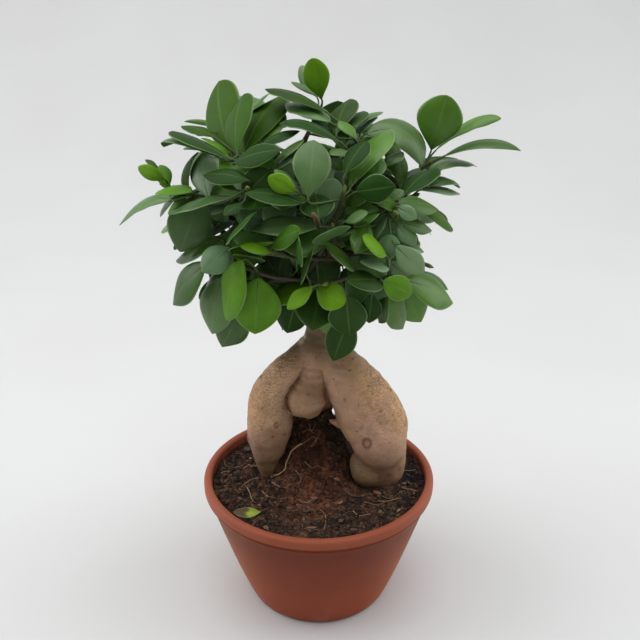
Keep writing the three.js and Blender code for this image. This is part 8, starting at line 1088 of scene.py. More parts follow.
def make_caudex():
    b = Build()
    for name, st in LOBES.items():
        v, f = lobe_mesh(st)
        b.add(v, f, (0.3, 0.2, 0.15))
    p = spline(np.hstack([np.array(TRUNK[0], float), np.array(TRUNK[1], float)[:, None]]), 5)
    v, f = tube(p[:, :3], p[:, 3], 30)
    b.add(v, f, (0.3, 0.2, 0.15))
    o = b.object("roots_and_trunk", [BARK])
    mod = o.modifiers.new("skin", "REMESH")
    mod.mode, mod.voxel_size = "VOXEL", 0.9 * MM
    apply_modifiers(o)
    me = o.data
    v, n = mesh_arrays(me)
    soft = relax(me, v, 14, 0.6)
    # the shoulders flow together, the creases lower down stay sharp
    w = smoothstep(178, 194, v[:, 2])[:, None]
    low = (smoothstep(122, 111, v[:, 2]) * smoothstep(12, 22, v[:, 0]))[:, None]
    w = np.maximum(w, low)
    v = relax(me, v, 2, 0.5) * (1 - w) + soft * w
    n = normals_of(me, v)
    crease = ((relax(me, v, 10, 0.6) - v) * n).sum(1)
    crease = smoothstep(0.12, 0.62, crease) * smoothstep(104, 112, v[:, 2] - 12.0 * smoothstep(16, 30, v[:, 0]))
    tree = tree_of(o)
    z = v[:, 2]
    # lumps, then folds of skin that run round each root, then pores
    d = 1.15 * fbm(v / 24.0, 3, 2) + 0.42 * fbm(v / 9.0, 11, 2)
    upper = smoothstep(120, 160, z) * smoothstep(214, 196, z)
    outer = smoothstep(14, 34, np.abs(v[:, 0] - 6.0))
    skin = np.clip(0.20 + 0.80 * upper * outer, 0, 1)
    q = np.stack([v[:, 0] / 9.0, v[:, 1] / 9.0, z / 2.5], 1)
    q[:, 2] += 0.9 * fbm(v / 11.0, 21, 2)
    ridge = 1.0 - np.abs(value_noise(q, 5)) * 2.0
    ridge2 = 1.0 - np.abs(value_noise(q * 2.1 + 7.7, 6)) * 2.0
    d += skin * (0.30 * ridge + 0.14 * ridge2)
    # rings round the neck
    neck = smoothstep(168, 178, z) * smoothstep(250, 225, z) * smoothstep(30, 18, np.abs(v[:, 0] - 3.0))
    q = np.stack([v[:, 0] / 13.0, v[:, 1] / 13.0, z / 2.9 + 0.5 * fbm(v / 12.0, 33, 2)], 1)
    d += neck * 0.26 * (1.0 - np.abs(value_noise(q, 35)) * 2.2)
    # low folds where the neck meets the roots
    fold = smoothstep(166, 171, z) * smoothstep(190, 183, z) * smoothstep(22, 12, np.abs(v[:, 0] - 2.0)) * (v[:, 1] < 2)
    d += fold * 0.30 * np.sin(z * 1.15 + 0.07 * v[:, 0] + 1.1 * fbm(v / 9.0, 36, 2))
    pore = value_noise(v / 1.7, 44)
    d += 0.28 * smoothstep(0.74, 0.92, pore)
    d -= 0.9 * crease
    v2 = v + n * d[:, None]
    # ------------------------------------------------ colour
    lit = 0.5 + 0.5 * fbm(v / 30.0, 51, 2)
    base = srgb(180, 142, 115)[None] * (1 - lit[:, None]) + srgb(196, 155, 126)[None] * lit[:, None]
    tan = srgb(184, 146, 100)[None]
    k = smoothstep(-0.1, 0.5, fbm(v / 17.0, 61, 3))[:, None]
    base = base * (1 - 0.45 * k) + tan * 0.45 * k
    # golden scaly skin on the shoulders
    gold = smoothstep(132, 150, z) * smoothstep(206, 192, z) * smoothstep(20, 40, np.abs(v[:, 0] - 2.0) + 0.35 * (z - 150))
    k = (gold * (0.65 + 0.35 * smoothstep(-0.3, 0.4, fbm(v / 5.0, 65, 3))))[:, None]
    base = base * (1 - 0.6 * k) + srgb(204, 160, 108)[None] * 0.6 * k
    # smooth pinkish belly of the right-hand root
    pink = srgb(194, 152, 130)[None]
    k = (smoothstep(18, 34, v[:, 0]) * smoothstep(58, 44, v[:, 0]) * smoothstep(98, 118, z) * smoothstep(172, 150, z))[:, None]
    base = base * (1 - 0.6 * k) + pink * 0.6 * k
    # greyer inner flank of the left-hand root
    k = (smoothstep(-38, -26, v[:, 0]) * smoothstep(-10, -16, v[:, 0]) * smoothstep(120, 150, z) * smoothstep(190, 176, z) * (v[:, 1] < 8))[:, None]
    base = base * (1 - 0.12 * k) + srgb(150, 124, 100)[None] * 0.12 * k
    brown = srgb(104, 80, 56)[None]
    k = (smoothstep(176, 204, z + 3.0 * fbm(v / 8.0, 67, 2)) * smoothstep(36, 22, np.abs(v[:, 0] - 3.0)))[:, None]
    base = base * (1 - 0.85 * k) + brown * 0.85 * k
    k = (skin * smoothstep(0.1, 0.6, fbm(v / 6.0, 71, 3)))[:, None]
    base = base * (1 - 0.30 * k) + srgb(126, 92, 58)[None] * 0.30 * k
    k = smoothstep(0.68, 0.9, pore)[:, None]
    base = base * (1 - 0.7 * k) + srgb(84, 56, 36)[None] * 0.7 * k
    # hanging middle root a little darker and more ochre
    c = LOBES["centre"]
    cc = np.array([s[:3] for s in c[2:]])
    dist = np.min(np.linalg.norm(v[:, None] - cc[None], axis=2), axis=1)
    k = (smoothstep(17.0, 11.0, dist) * smoothstep(178, 168, z))[:, None]
    base = base * (1 - 0.75 * k) + srgb(134, 103, 68)[None] * 0.75 * k
    # lower ends: olive foot on the right, darker bottom on the left
    c = np.array([s[:3] for s in LOBES["right_foot"]])
    dist = np.min(np.linalg.norm(v[:, None] - c[None], axis=2), axis=1)
    k = (smoothstep(17.0, 10.0, dist) * smoothstep(122, 112, z))[:, None]
    base = base * (1 - 0.7 * k) + srgb(118, 98, 64)[None] * 0.7 * k
    k = (smoothstep(150, 112, z + 5.0 * fbm(v / 9.0, 75, 2)))[:, None] * np.where(v[:, :1] < 0, 1.0, 0.8)
    base = base * (1 - 0.66 * k) + srgb(108, 82, 56)[None] * 0.66 * k
    # painted light: a paler patch on the inner side of the left-hand root
    k = (smoothstep(-42, -32, v[:, 0]) * smoothstep(-14, -22, v[:, 0]) * smoothstep(140, 156, z) * smoothstep(192, 178, z))[:, None]
    base = base * (1 - 0.4 * k) + srgb(220, 180, 146)[None] * 0.4 * k
    # pinkish knob beside the gap
    c = np.array([s[:3] for s in LOBES["knob"]])
    dist = np.min(np.linalg.norm(v[:, None] - c[None], axis=2), axis=1)
    k = (smoothstep(5.5, 3.0, dist))[:, None]
    base = base * (1 - 0.5 * k) + srgb(186, 138, 112)[None] * 0.5 * k
    # painted shade: the creases are darkened towards dark brown
    k = crease[:, None]
    base = base * (1 - 0.72 * k) + srgb(74, 48, 32)[None] * 0.72 * k
    # damp and peat dust where the roots go into the soil
    h = z - soil_height(v[:, 0], v[:, 1])
    k = (smoothstep(8.0, 0.5, h + 3.0 * fbm(v / 5.0, 81, 2)))[:, None]
    base = base * (1 - 0.7 * k) + srgb(78, 56, 40)[None] * 0.7 * k

    # marks at places seen in the photograph: pixel, radius in mm, depth in mm, colour, ring
    marks = [
        (367, 443, 4.3, 0.7, (104, 56, 38), True),
        (308, 394, 2.2, 0.3, (122, 82, 46), False),
        (261, 376, 2.2, 0.2, (28, 22, 20), False),
        (276, 425, 2.2, 0.3, (112, 78, 52), True),
        (262, 408, 1.3, 0.35, (96, 62, 40), False),
        (262, 429, 1.2, 0.3, (104, 66, 44), False),
        (272, 436, 1.1, -0.3, (70, 48, 34), False),
        (353, 359, 1.0, 0.1, (52, 34, 26), False),
        (391, 390, 1.8, 0.2, (56, 40, 34), False),
        (405, 424, 1.9, 0.25, (86, 52, 50), False),
        (380, 410, 1.6, -0.25, (140, 104, 84), True),
        (345, 400, 1.3, 0.25, (120, 84, 66), True),
        (361, 428, 1.2, 0.2, (124, 88, 70), True),
        (389, 474, 3.4, 0.1, (112, 78, 50), False),
        (399, 468, 2.6, 0.1, (104, 72, 46), False),
    ]
    for u, w, rad, depth, col, ring in marks:
        hit = pick([tree], u, w)
        if hit is None:
            continue
        dd = np.linalg.norm((v - hit[0]) * np.array([1.15, 1.0, 0.95]), axis=1)
        near = dd < rad * 1.8
        x = dd[near] / rad
        if ring:
            lip = np.exp(-(((x - 0.74) / 0.27) ** 2))
            v2[near] += n[near] * (depth * (lip - 0.55 * np.exp(-((x / 0.5) ** 2))))[:, None]
            k = (0.85 * lip + 0.40 * np.exp(-((x / 0.5) ** 2)))[:, None]
        else:
            k = np.exp(-((x / 0.75) ** 2))[:, None]
            v2[near] += n[near] * depth * k
            k = 0.85 * k
        k = np.clip(k, 0, 1)
        base[near] = base[near] * (1 - k) + srgb(*col)[None] * k
    # wound with a pale cream edge on the left of the neck
    hit = pick([tree], 301.5, 338)
    if hit is not None:
        dd = np.linalg.norm((v - hit[0]) * np.array([0.9, 0.6, 0.55]), axis=1)
        k = np.exp(-((dd / 3.1) ** 4))[:, None]
        base = base * (1 - 0.85 * k) + srgb(226, 218, 176)[None] * 0.85 * k
    normals_of(me, v2)
    base = np.clip(base, 0.004, 1)
    paint(me, base, np.repeat(skin[:, None], 3, 1))
    me.polygons.foreach_set("use_smooth", np.full(len(me.polygons), True))
    me.materials.clear()
    me.materials.append(BARK)
    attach(o, "root")
    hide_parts("caudex")
    return o


# ------------------------------------------------------------------ peat
MOUND_H, MOUND_Y, MOUND_X, MOUND_W, MOUND_D, SOIL_Z = 40.0, 20.0, -3.0, 29.0, 24.0, 91.5


def soil_height(x, y):
    x, y = np.asarray(x, float), np.asarray(y, float)
    r2 = x * x + y * y
    mound = MOUND_H * np.exp(-((np.abs(x - MOUND_X) / MOUND_W) ** 5.0) - (np.abs(y - MOUND_Y) / MOUND_D) ** 1.85)
    crown = 1.6 * (1 - r2 / (LIP_IN * LIP_IN))
    hollow = -4.5 * np.exp(-((x - 66) ** 2 + (y + 4) ** 2) / 130)
    sag = -1.6 * np.maximum(0, -x / LIP_IN) - 1.2 * np.maximum(0, y / LIP_IN)
    bumps = 0.7 * np.sin(x * 0.21 + 1.3) * np.cos(y * 0.19) + 0.5 * np.sin(x * 0.33 - y * 0.27)
    return SOIL_Z + mound + crown + hollow + sag + bumps


def soil_detail(x, y):
    p = np.stack([x, y, 0.35 * soil_height(x, y)], 1)
    lumps = np.abs(fbm(p / 7.5, 101, 2))
    crumbs = np.abs(value_noise(p / 3.1, 103))
    small = np.abs(value_noise(p / 1.35, 104))
    return 2.3 * (lumps - 0.3) + 1.5 * (crumbs - 0.3) + 0.65 * (small - 0.3)


def soil_tone(x, y):
    p = np.stack([x, y, np.zeros(len(x))], 1)
    dark, red, mid = srgb(43, 33, 27), srgb(128, 78, 56), srgb(58, 42, 34)
    centre = np.exp(-((x + 4) ** 2 / 540 + (y + 22) ** 2 / 600))
    k = np.clip(centre * 0.95 + 0.22 * fbm(p / 9.0, 111, 3), 0, 1)[:, None]
    base = dark[None] * (1 - k) + red[None] * k
    j = smoothstep(0.1, 0.6, fbm(p / 5.0, 121, 3))[:, None]
    base = base * (1 - 0.5 * j) + mid[None] * 0.5 * j
    j = smoothstep(0.25, 0.7, fbm(p / 2.4, 131, 2))[:, None]
    base = base * (1 - 0.45 * j) + srgb(132, 94, 66)[None] * 0.45 * j
    j = smoothstep(0.2, 0.6, fbm(p / 9.0, 141, 2))[:, None]
    base = base * (1 - 0.5 * j) + srgb(24, 19, 16)[None] * 0.5 * j
    # painted light: the peat in the shaded hollow under the roots is coloured a paler grey-brown than the peat round it
    cave = (smoothstep(6, 22, y) * smoothstep(34, 24, np.abs(x + 3)))[:, None]
    base = base * (1 - 0.75 * cave) + srgb(88, 70, 62)[None] * 0.75 * cave
    # painted shade: the dip in the peat on the right is darkened almost to black
    hollow = np.exp(-(((x - 67) / 13.0) ** 2 + ((y - 2) / 17.0) ** 2) ** 1.5)[:, None]
    return base * (1 - 0.95 * hollow) + srgb(30, 28, 28)[None] * 0.75 * hollow


def make_soil():
    seg = 300
    ang = np.arange(seg) * 2 * math.pi / seg
    radii = np.concatenate([np.linspace(1.0, 78.4, 105)])
    v = []
    for r in radii:
        x, y = r * np.cos(ang), r * np.sin(ang)
        edge = smoothstep(78.4, 73.0, np.full(seg, r))
        z = soil_height(x, y) + soil_detail(x, y) * (0.35 + 0.65 * edge)
        v.append(np.stack([x, y, z], 1))
    for r, z in [(78.5, 89.0), (78.5, 84.8), (wall(50) - WALL - 0.6, 50.0), (wall(12) - WALL - 0.6, 12.3), (wall(12) - WALL - 5.4, 5.4)]:
        v.append(np.stack([r * np.cos(ang), r * np.sin(ang), np.full(seg, z)], 1))
    rows = len(v)
    v = np.vstack(v + [np.array([[0, 0, float(soil_height(0, 0))], [0, 0, 5.4]])])
    f = grid_faces(rows, seg, True)
    for k in range(seg):
        k2 = (k + 1) % seg
        f.append((rows * seg, k2, k))
        f.append((rows * seg + 1, (rows - 1) * seg + k, (rows - 1) * seg + k2))
    b = Build()
    b.add(v, outward(v, f), np.clip(soil_tone(v[:, 0], v[:, 1]), 0.002, 1))
    o = b.object("peat", [SOIL])
    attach(o, "root")
    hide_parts("soil")
    return o


def in_roots(x, y, z, extra=0.0):
    inside = np.zeros(len(x), bool)
    p = np.stack([x, y, z], 1)
    for st in LOBES.values():
        s = np.array(st, float)
        for a, c in zip(s[:-1], s[1:]):
            d = c[:3] - a[:3]
            t = np.clip((p - a[:3]) @ d / (d @ d), 0, 1)
            r = a[3] + (c[3] - a[3]) * t + extra
            q = p - a[:3] - t[:, None] * d
            q[:, 1] /= a[4] + (c[4] - a[4]) * t
            inside |= (q * q).sum(1) < r * r
    return inside


def ico():
    bm = bmesh.new()
    bmesh.ops.create_icosphere(bm, subdivisions=2, radius=1.0)
    v = np.array([x.co[:] for x in bm.verts])
    f = [tuple(q.index for q in face.verts) for face in bm.faces]
    bm.free()
    return v, f


def scatter_points(rng, count, limit=76.5):
    r = limit * np.sqrt(rng.random(count * 2))
    a = rng.random(count * 2) * 2 * math.pi
    x, y = r * np.cos(a), r * np.sin(a)
    z = soil_height(x, y)
    keep = ~in_roots(x, y, z + 0.6, 0.9)
    return x[keep][:count], y[keep][:count], z[keep][:count]


def slope_frame(x, y):
    e = 0.6
    nx = float(soil_height(x - e, y) - soil_height(x + e, y)) / (2 * e)
    ny = float(soil_height(x, y - e) - soil_height(x, y + e)) / (2 * e)
    return unit((nx, ny, 1.0))


def make_crumbs():
    rng = np.random.default_rng(7)
    sv, sf = ico()
    b = Build()
    x, y, z = scatter_points(rng, 2700)
    keep = ((x - 67) / 12.0) ** 2 + ((y - 2) / 15.0) ** 2 > 1
    x, y, z = x[keep], y[keep], z[keep]
    tones = [srgb(38, 29, 24), srgb(70, 46, 35), srgb(48, 35, 28), srgb(150, 112, 84), srgb(22, 18, 16)]
    detail = soil_detail(x, y)
    for i in range(len(x)):
        size = 0.30 + 1.55 * rng.random() ** 4.2
        sc = size * np.array([1.0, 0.65 + 0.5 * rng.random(), 0.45 + 0.4 * rng.random()])
        a = rng.random() * math.pi
        R = np.array([[math.cos(a), -math.sin(a), 0], [math.sin(a), math.cos(a), 0], [0, 0, 1.0]])
        w = sv * (1.0 + 0.75 * value_noise(sv * 2.6 + i * 3.1, 5))[:, None]
        w = (w * sc) @ R.T
        tilt = slope_frame(x[i], y[i])
        w = w + np.array([x[i], y[i], z[i] + detail[i] + 0.25 * size])
        w[:, 2] -= (w[:, 0] - x[i]) * tilt[0] / tilt[2] + (w[:, 1] - y[i]) * tilt[1] / tilt[2]
        rr = np.hypot(w[:, 0], w[:, 1])
        if rr.max() > 78.3:
            continue
        k = (0, 1, 2, 4)[int(rng.integers(0, 4))] if rng.random() < 0.88 or size > 1.0 else 3
        b.add(w, sf, np.clip(0.55 * tones[k] + 0.45 * soil_tone(x[i : i + 1], y[i : i + 1])[0] * (0.7 + 0.7 * rng.random()), 0.002, 1))
    o = b.object("peat_crumbs", [CRUMB])
    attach(o, "root")
    return o


def make_fibres():
    """coir fibres and woody bits lying on the peat"""
    rng = np.random.default_rng(19)
    b = Build()
    x, y, z = scatter_points(rng, 1500, 75.5)
    tones = [srgb(86, 60, 44), srgb(64, 45, 34), srgb(140, 106, 80), srgb(44, 33, 26), srgb(98, 58, 40)]
    for i in range(len(x)):
        if ((x[i] - 67) / 12.0) ** 2 + ((y[i] - 2) / 15.0) ** 2 < 1:
            continue
        length = 1.8 + 3.0 * rng.random() if i > 170 else 4.0 + 10.0 * rng.random() ** 2
        a = rng.random() * 2 * math.pi
        turn = (rng.random() - 0.5) * 1.9
        n = 9 if i <= 170 else 5
        pts = []
        px, py = x[i], y[i]
        lift = 0.3 + 1.4 * rng.random()
        for j in range(n):
            zz = float(soil_height(px, py)) + float(soil_detail(np.array([px]), np.array([py]))[0]) * 0.75
            pts.append((px, py, zz + 0.2 + lift * math.sin(math.pi * j / (n - 1)) ** 2))
            px += math.cos(a) * length / n
            py += math.sin(a) * length / n
            a += turn / n + (rng.random() - 0.5) * 0.35
        pts = np.array(pts)
        if np.hypot(pts[:, 0], pts[:, 1]).max() > 77.5 or in_roots(pts[:, 0], pts[:, 1], pts[:, 2]).any():
            continue
        pts[:, 2] = 0.25 * np.roll(pts[:, 2], 1) + 0.5 * pts[:, 2] + 0.25 * np.roll(pts[:, 2], -1) if n > 4 else pts[:, 2]
        pts[0, 2], pts[-1, 2] = pts[1, 2], pts[-2, 2]
        r0 = 0.10 + 0.13 * rng.random() ** 2
        v, f = tube(pts, np.linspace(r0, r0 * 0.6, n), 4 if n == 9 else 3)
        near = math.exp(-((x[i] + 3) ** 2 + (y[i] + 22) ** 2) / 700)
        tone = tones[int(rng.integers(0, 5))] * (0.7 + 0.6 * rng.random())
        b.add(v, f, tone * (1 - 0.6 * near) + srgb(158, 84, 48) * 0.6 * near)
    o = b.object("coir_fibres", [FIBRE])
    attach(o, "root")
    return o


def on_ground(trees, u, v, lift):
    hit = pick(trees, u, v)
    return None if hit is None else hit[0] + hit[1] * lift


def make_rootlets(trees):
    """thin pale feeder roots, along lines seen in the photograph (pixels), and a few more at the back"""
    b = Build()
    lines = [
        ([(302, 444), (297, 447), (292, 452), (290, 456), (287, 465), (285, 470), (280, 475), (272, 477)], 0.62, 1.7),
        ([(302, 444), (308, 440), (312, 437), (316, 441), (312, 447)], 0.26, 0.9),
        ([(288, 407), (290, 410), (292, 413), (297, 418), (299, 423), (299, 428)], 0.46, 1.4),
        ([(288, 407), (285, 401), (287, 397), (284, 400)], 0.36, 0.9),
        ([(309, 424), (311, 431), (314, 428), (316, 421)], 0.2, 0.9),
        ([(318, 438), (314, 442), (310, 447)], 0.24, 0.8),
        ([(303, 432), (308, 430), (313, 433), (318, 430), (322, 433)], 0.18, 0.8),
        ([(339, 474), (335, 476), (330, 478)], 0.28, 0.8),
        ([(247, 488), (249, 494), (252, 500), (256, 503)], 0.34, 0.8),
        ([(320, 510), (324, 514), (326, 520), (324, 530)], 0.24, 0.7),
        ([(247, 431), (248, 436), (249, 441), (251, 444)], 0.42, 0.7),
        ([(224, 460), (226, 466), (232, 468), (238, 469)], 0.42, 0.9),
        ([(221, 474), (226, 472), (232, 472)], 0.32, 0.8),
        ([(272, 482), (278, 486), (285, 488), (292, 484)], 0.26, 0.7),
        ([(345, 492), (352, 496), (362, 497), (371, 494)], 0.46, 0.9),
        ([(366, 503), (376, 506), (386, 503), (396, 505)], 0.5, 0.9),
        ([(352, 512), (360, 516), (371, 515)], 0.36, 0.8),
        ([(381, 497), (390, 499), (401, 493)], 0.42, 0.9),
        ([(298, 500), (306, 503), (313, 500)], 0.24, 0.7),
        ([(262, 492), (268, 497), (276, 499)], 0.28, 0.8),
        ([(305, 462), (312, 468), (318, 466), (326, 470)], 0.22, 0.8),
        ([(296, 470), (301, 478), (299, 486)], 0.2, 0.7),
    ]
    pale, woody = srgb(172, 140, 108), srgb(98, 76, 58)
    for i, (line, rad, lift) in enumerate(lines):
        pts = [on_ground(trees, u, w, lift) for u, w in line]
        pts = [p for p in pts if p is not None]
        keep = [pts[0]] if pts else []
        for p in pts[1:]:
            if np.linalg.norm(p - keep[-1]) < 22.0:
                keep.append(p)
        if len(keep) < 3:
            continue
        s = spline(keep, 6)
        s = s + np.stack([0.3 * value_noise(s / 2.6, 201 + i), 0.3 * value_noise(s / 2.6, 301 + i), 0.2 * value_noise(s / 2.6, 401 + i)], 1)
        v, f = tube(s, np.linspace(rad, rad * 0.55, len(s)), 7)
        b.add(v, f, srgb(196, 166, 134) if i in (0, 2) else pale if rad < 0.4 or i == 10 else woody)
    rng = np.random.default_rng(5)
    starts = [(-38, 12), (-30, 26), (20, 44), (48, 20), (56, 2), (-6, 50), (34, 40), (-44, -4), (60, -14), (8, 58), (-20, 44), (40, -34)]
    for i, (x, y) in enumerate(starts):
        a = math.atan2(y, x) + (rng.random() - 0.5) * 1.6
        pts = []
        for j in range(10):
            x += 1.9 * math.cos(a)
            y += 1.9 * math.sin(a)
            a += (rng.random() - 0.5) * 0.8
            if math.hypot(x, y) > 76:
                break
            pts.append((x, y, float(soil_height(x, y)) + 1.3))
        pts = np.array(pts)
        if len(pts) < 4:
            continue
        v, f = tube(spline(pts, 4), np.linspace(0.36, 0.18, 4 * (len(pts) - 1) + 1), 6)
        b.add(v, f, pale * 0.8)
    o = b.object("rootlets", [FIBRE])
    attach(o, "root")
    return o


def make_chips(trees):
    rng = np.random.default_rng(31)
    sv, sf = ico()
    b = Build()
    spots = [(274, 480), (240, 499), (232, 480), (296, 508), (341, 521), (380, 512), (372, 524), (336, 503), (226, 490), (287, 522), (404, 488), (312, 528), (354, 530), (246, 468)]
    places = []
    for u, w in spots:
        hit = pick(trees, u, w)
        if hit is not None:
            places.append(hit[0])
    x, y, z = scatter_points(rng, 70, 73)
    places += [np.array([a, c, d + 0.8]) for a, c, d in zip(x, y, z)]
    tones = [srgb(110, 78, 56), srgb(86, 58, 42), srgb(60, 44, 34), srgb(128, 96, 72)]
    for i, p in enumerate(places):
        size = 1.3 + 2.3 * rng.random() ** 1.5 if i >= len(spots) else 1.9 + 1.2 * rng.random()
        sc = size * np.array([1.0, 0.38 + 0.3 * rng.random(), 0.16 + 0.12 * rng.random()])
        w = sv * (1 + 0.3 * value_noise(sv * 1.9 + i * 1.7, 9))[:, None] * sc
        w = np.round(w / 0.35) * 0.35 * 0.5 + w * 0.5  # splintery edges
        a, tilt = rng.random() * math.pi, (rng.random() - 0.5) * 0.7
        R = np.array([[math.cos(a), -math.sin(a), 0], [math.sin(a), math.cos(a), 0], [0, 0, 1.0]])
        T = np.array([[1, 0, 0], [0, math.cos(tilt), -math.sin(tilt)], [0, math.sin(tilt), math.cos(tilt)]])
        w = w @ (R @ T).T + p + np.array([0, 0, 0.35])
        if np.hypot(w[:, 0], w[:, 1]).max() > 77.8:
            continue
        b.add(w, sf, tones[int(rng.integers(0, 4))] * (0.7 + 0.6 * rng.random()))
    o = b.object("bark_chips", [FIBRE])
    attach(o, "root")
    return o


# ------------------------------------------------------------------ leaves
# leaf tone classes: G and S are painted sheen, a pale grey-green for sky reflected on upturned leaves; D, P and Q are
# painted shade, darker greens for leaves in shadow; K paints the light coming through backlit leaves; M, Y and B are
# mid, yellow and bright green, U the bud
TONES = {
    "K": srgb(50, 86, 7),
    "M": srgb(74, 116, 29),
    "G": srgb(79, 113, 59),
    "D": srgb(54, 87, 30),
    "Y": srgb(93, 138, 16),
    "B": srgb(85, 133, 29),
    "S": srgb(104, 134, 94),
    "U": srgb(120, 84, 46),
    "P": srgb(27, 60, 10),
    "Q": srgb(42, 70, 22),
}
STALK = srgb(60, 80, 30)
YOUNG = srgb(78, 84, 40)
OLD = srgb(52, 44, 30)


def profile(t, blunt=0.0, oval=0.3):
    """half width along the blade: pointed, oval, or broad and rounded towards the tip"""
    t = np.clip(t, 0, 1)
    a = 1.05 + 0.30 * blunt
    e0 = 0.64 + 0.26 * blunt
    e1 = (0.94 - 0.36 * oval) * (1 - blunt) + 0.52 * blunt
    return np.sin(np.pi * t**a) ** (e0 * (1 - t) + e1 * t)


OVAL = {"Y": 0.85, "B": 0.75, "K": 0.35, "G": 0.40, "S": 0.50, "M": 0.25, "D": 0.15, "U": 0.0, "P": 0.35, "Q": 0.35}


def leaf_mesh(b, J, B, K, T, N, width, droop, colour, rng, fine, tone_of=None, mat=0, oval=0.0):
    J, B, K, T, N = (np.asarray(a, float) for a in (J, B, K, T, N))
    nu, nv = (21, 11) if fine else (15, 9)
    t = 0.5 - 0.5 * np.cos(np.linspace(0.0, math.pi, nu))
    t = 0.35 * np.linspace(0, 1, nu) + 0.65 * t
    tt = t[:, None]
    P = (1 - tt) ** 2 * B + 2 * tt * (1 - tt) * K + tt**2 * T
    d = 2 * (1 - tt) * (K - B) + 2 * tt * (T - K)
    d /= np.linalg.norm(d, axis=1, keepdims=True)
    s = np.cross(d, N)
    s /= np.linalg.norm(s, axis=1, keepdims=True)
    u = np.cross(s, d)
    rise = (T - B)[2] / max(np.linalg.norm(T - B), 1e-6)
    prof = profile(t, 0.9 * float(smoothstep(0.15, 0.70, rise)) if tone_of is None else 0.0, np.clip(oval + 0.3 * (rng.random() - 0.5), 0, 1))
    prof[0], prof[-1] = 0.03, 0.012
    skew = 1.0 + 0.05 * (rng.random() - 0.5)
    length = np.linalg.norm(T - B)
    h = width / 2 * prof
    v = np.linspace(-1, 1, nv)
    v = np.sign(v) * np.abs(v) ** 0.85
    wave_a, wave_b = 0.012 * length * rng.random(), rng.random() * 6.28
    wave_k = 1.2 + 1.4 * rng.random()
    twist = (rng.random() - 0.5) * 0.22
    hh = h[:, None] * v[None, :] * np.where(v > 0, skew, 2 - skew)[None, :]
    z = -droop * prof[:, None] * v[None, :] ** 2
    z = z + wave_a * np.abs(v[None, :]) ** 3 * np.sin(wave_k * 6.28 * t[:, None] + wave_b + 1.2 * np.sign(v[None, :])) * prof[:, None]
    z = z + twist * (t[:, None] - 0.3) * hh * 0.6
    groove = 0.38 * np.exp(-((hh / 0.75) ** 2)) * smoothstep(1.0, 0.7, t)[:, None] * smoothstep(0.0, 0.1, t)[:, None]
    # the blade puffs up a little between its side veins
    puff = 0.045 * np.sin(6.28318 * (t[:, None] * 8.0 - np.abs(v[None, :]) * 1.8)) * (1 - np.abs(v[None, :])) * smoothstep(0, 0.15, t)[:, None] * min(1.0, length / 30)
    thick = 0.46 * (1 - 0.45 * np.abs(v[None, :]) ** 3) * np.clip(prof, 0.12, 1)[:, None] ** 0.4
    top = P[:, None] + s[:, None] * hh[..., None] + u[:, None] * (z - groove + puff + thick / 2)[..., None]
    low = P[:, None] + s[:, None] * hh[..., None] + u[:, None] * (z - groove * 0.2 + puff - thick / 2 - 0.22 * np.exp(-((hh / 0.6) ** 2)) * smoothstep(1, 0.6, t)[:, None])[..., None]
    V = np.vstack([top.reshape(-1, 3), low.reshape(-1, 3)])
    m = nu * nv
    f = []
    for i in range(nu - 1):
        for j in range(nv - 1):
            a = i * nv + j
            f.append((a, a + 1, a + nv + 1, a + nv))
            f.append((m + a, m + a + nv, m + a + nv + 1, m + a + 1))
    for i in range(nu - 1):
        a, c = i * nv, i * nv + nv - 1
        f.append((a, a + nv, m + a + nv, m + a))
        f.append((c, m + c, m + c + nv, c + nv))
    for j in range(nv - 1):
        f.append((j, m + j, m + j + 1, j + 1))
        a = (nu - 1) * nv + j
        f.append((a, a + 1, m + a + 1, m + a))
    co = np.zeros((2 * m, 3))
    co[:, 0] = np.tile(np.repeat(t, nv), 2)
    co[:, 1] = np.tile(np.tile(v, nu), 2)
    co[:m, 2] = 1.0
    if tone_of is None:
        tone = colour * (0.90 + 0.20 * rng.random())
        tone = tone * np.array([1 + 0.10 * (rng.random() - 0.5), 1.0, 1 + 0.16 * (rng.random() - 0.5)])
        grade = (1.06 - 0.14 * co[:, 0] + 0.06 * np.sin(3 * co[:, 0] + rng.random() * 6))[:, None]
        tone = tone[None] * grade
    else:
        tone = tone_of(co)
    b.add(V, outward(V, f), np.clip(tone, 0.002, 1), co, mat)
    # stalk, which runs on under the blade as the midrib
    jb = np.linalg.norm(B - J)
    if jb > 0.3:
        c1 = J + (B - J) * 0.38
        c2 = B - d[0] * jb * 0.28
        q = np.linspace(0, 1, 9)[:, None]
        st = (1 - q) ** 3 * J + 3 * q * (1 - q) ** 2 * c1 + 3 * q * q * (1 - q) * c2 + q**3 * B
        run = P[1 : nu * 3 // 5] - u[1 : nu * 3 // 5] * 0.30
        path = np.vstack([st[:-1], B[None] - u[0] * 0.12, run])
        r = np.concatenate([np.linspace(0.74, 0.58, len(st)), np.linspace(0.48, 0.14, len(run))])
        vv, ff = tube(path, r, 7)
        k = np.linspace(0, 1, len(path))
        col = np.repeat((STALK[None] * (1 - k[:, None]) + (0.5 * STALK + 0.5 * colour)[None] * k[:, None]), 7, 0)
        col = np.vstack([col, col[:1], col[-1:]])
        b.add(vv, ff, np.clip(col * (0.85 + 0.3 * rng.random()), 0.002, 1), None, 1)


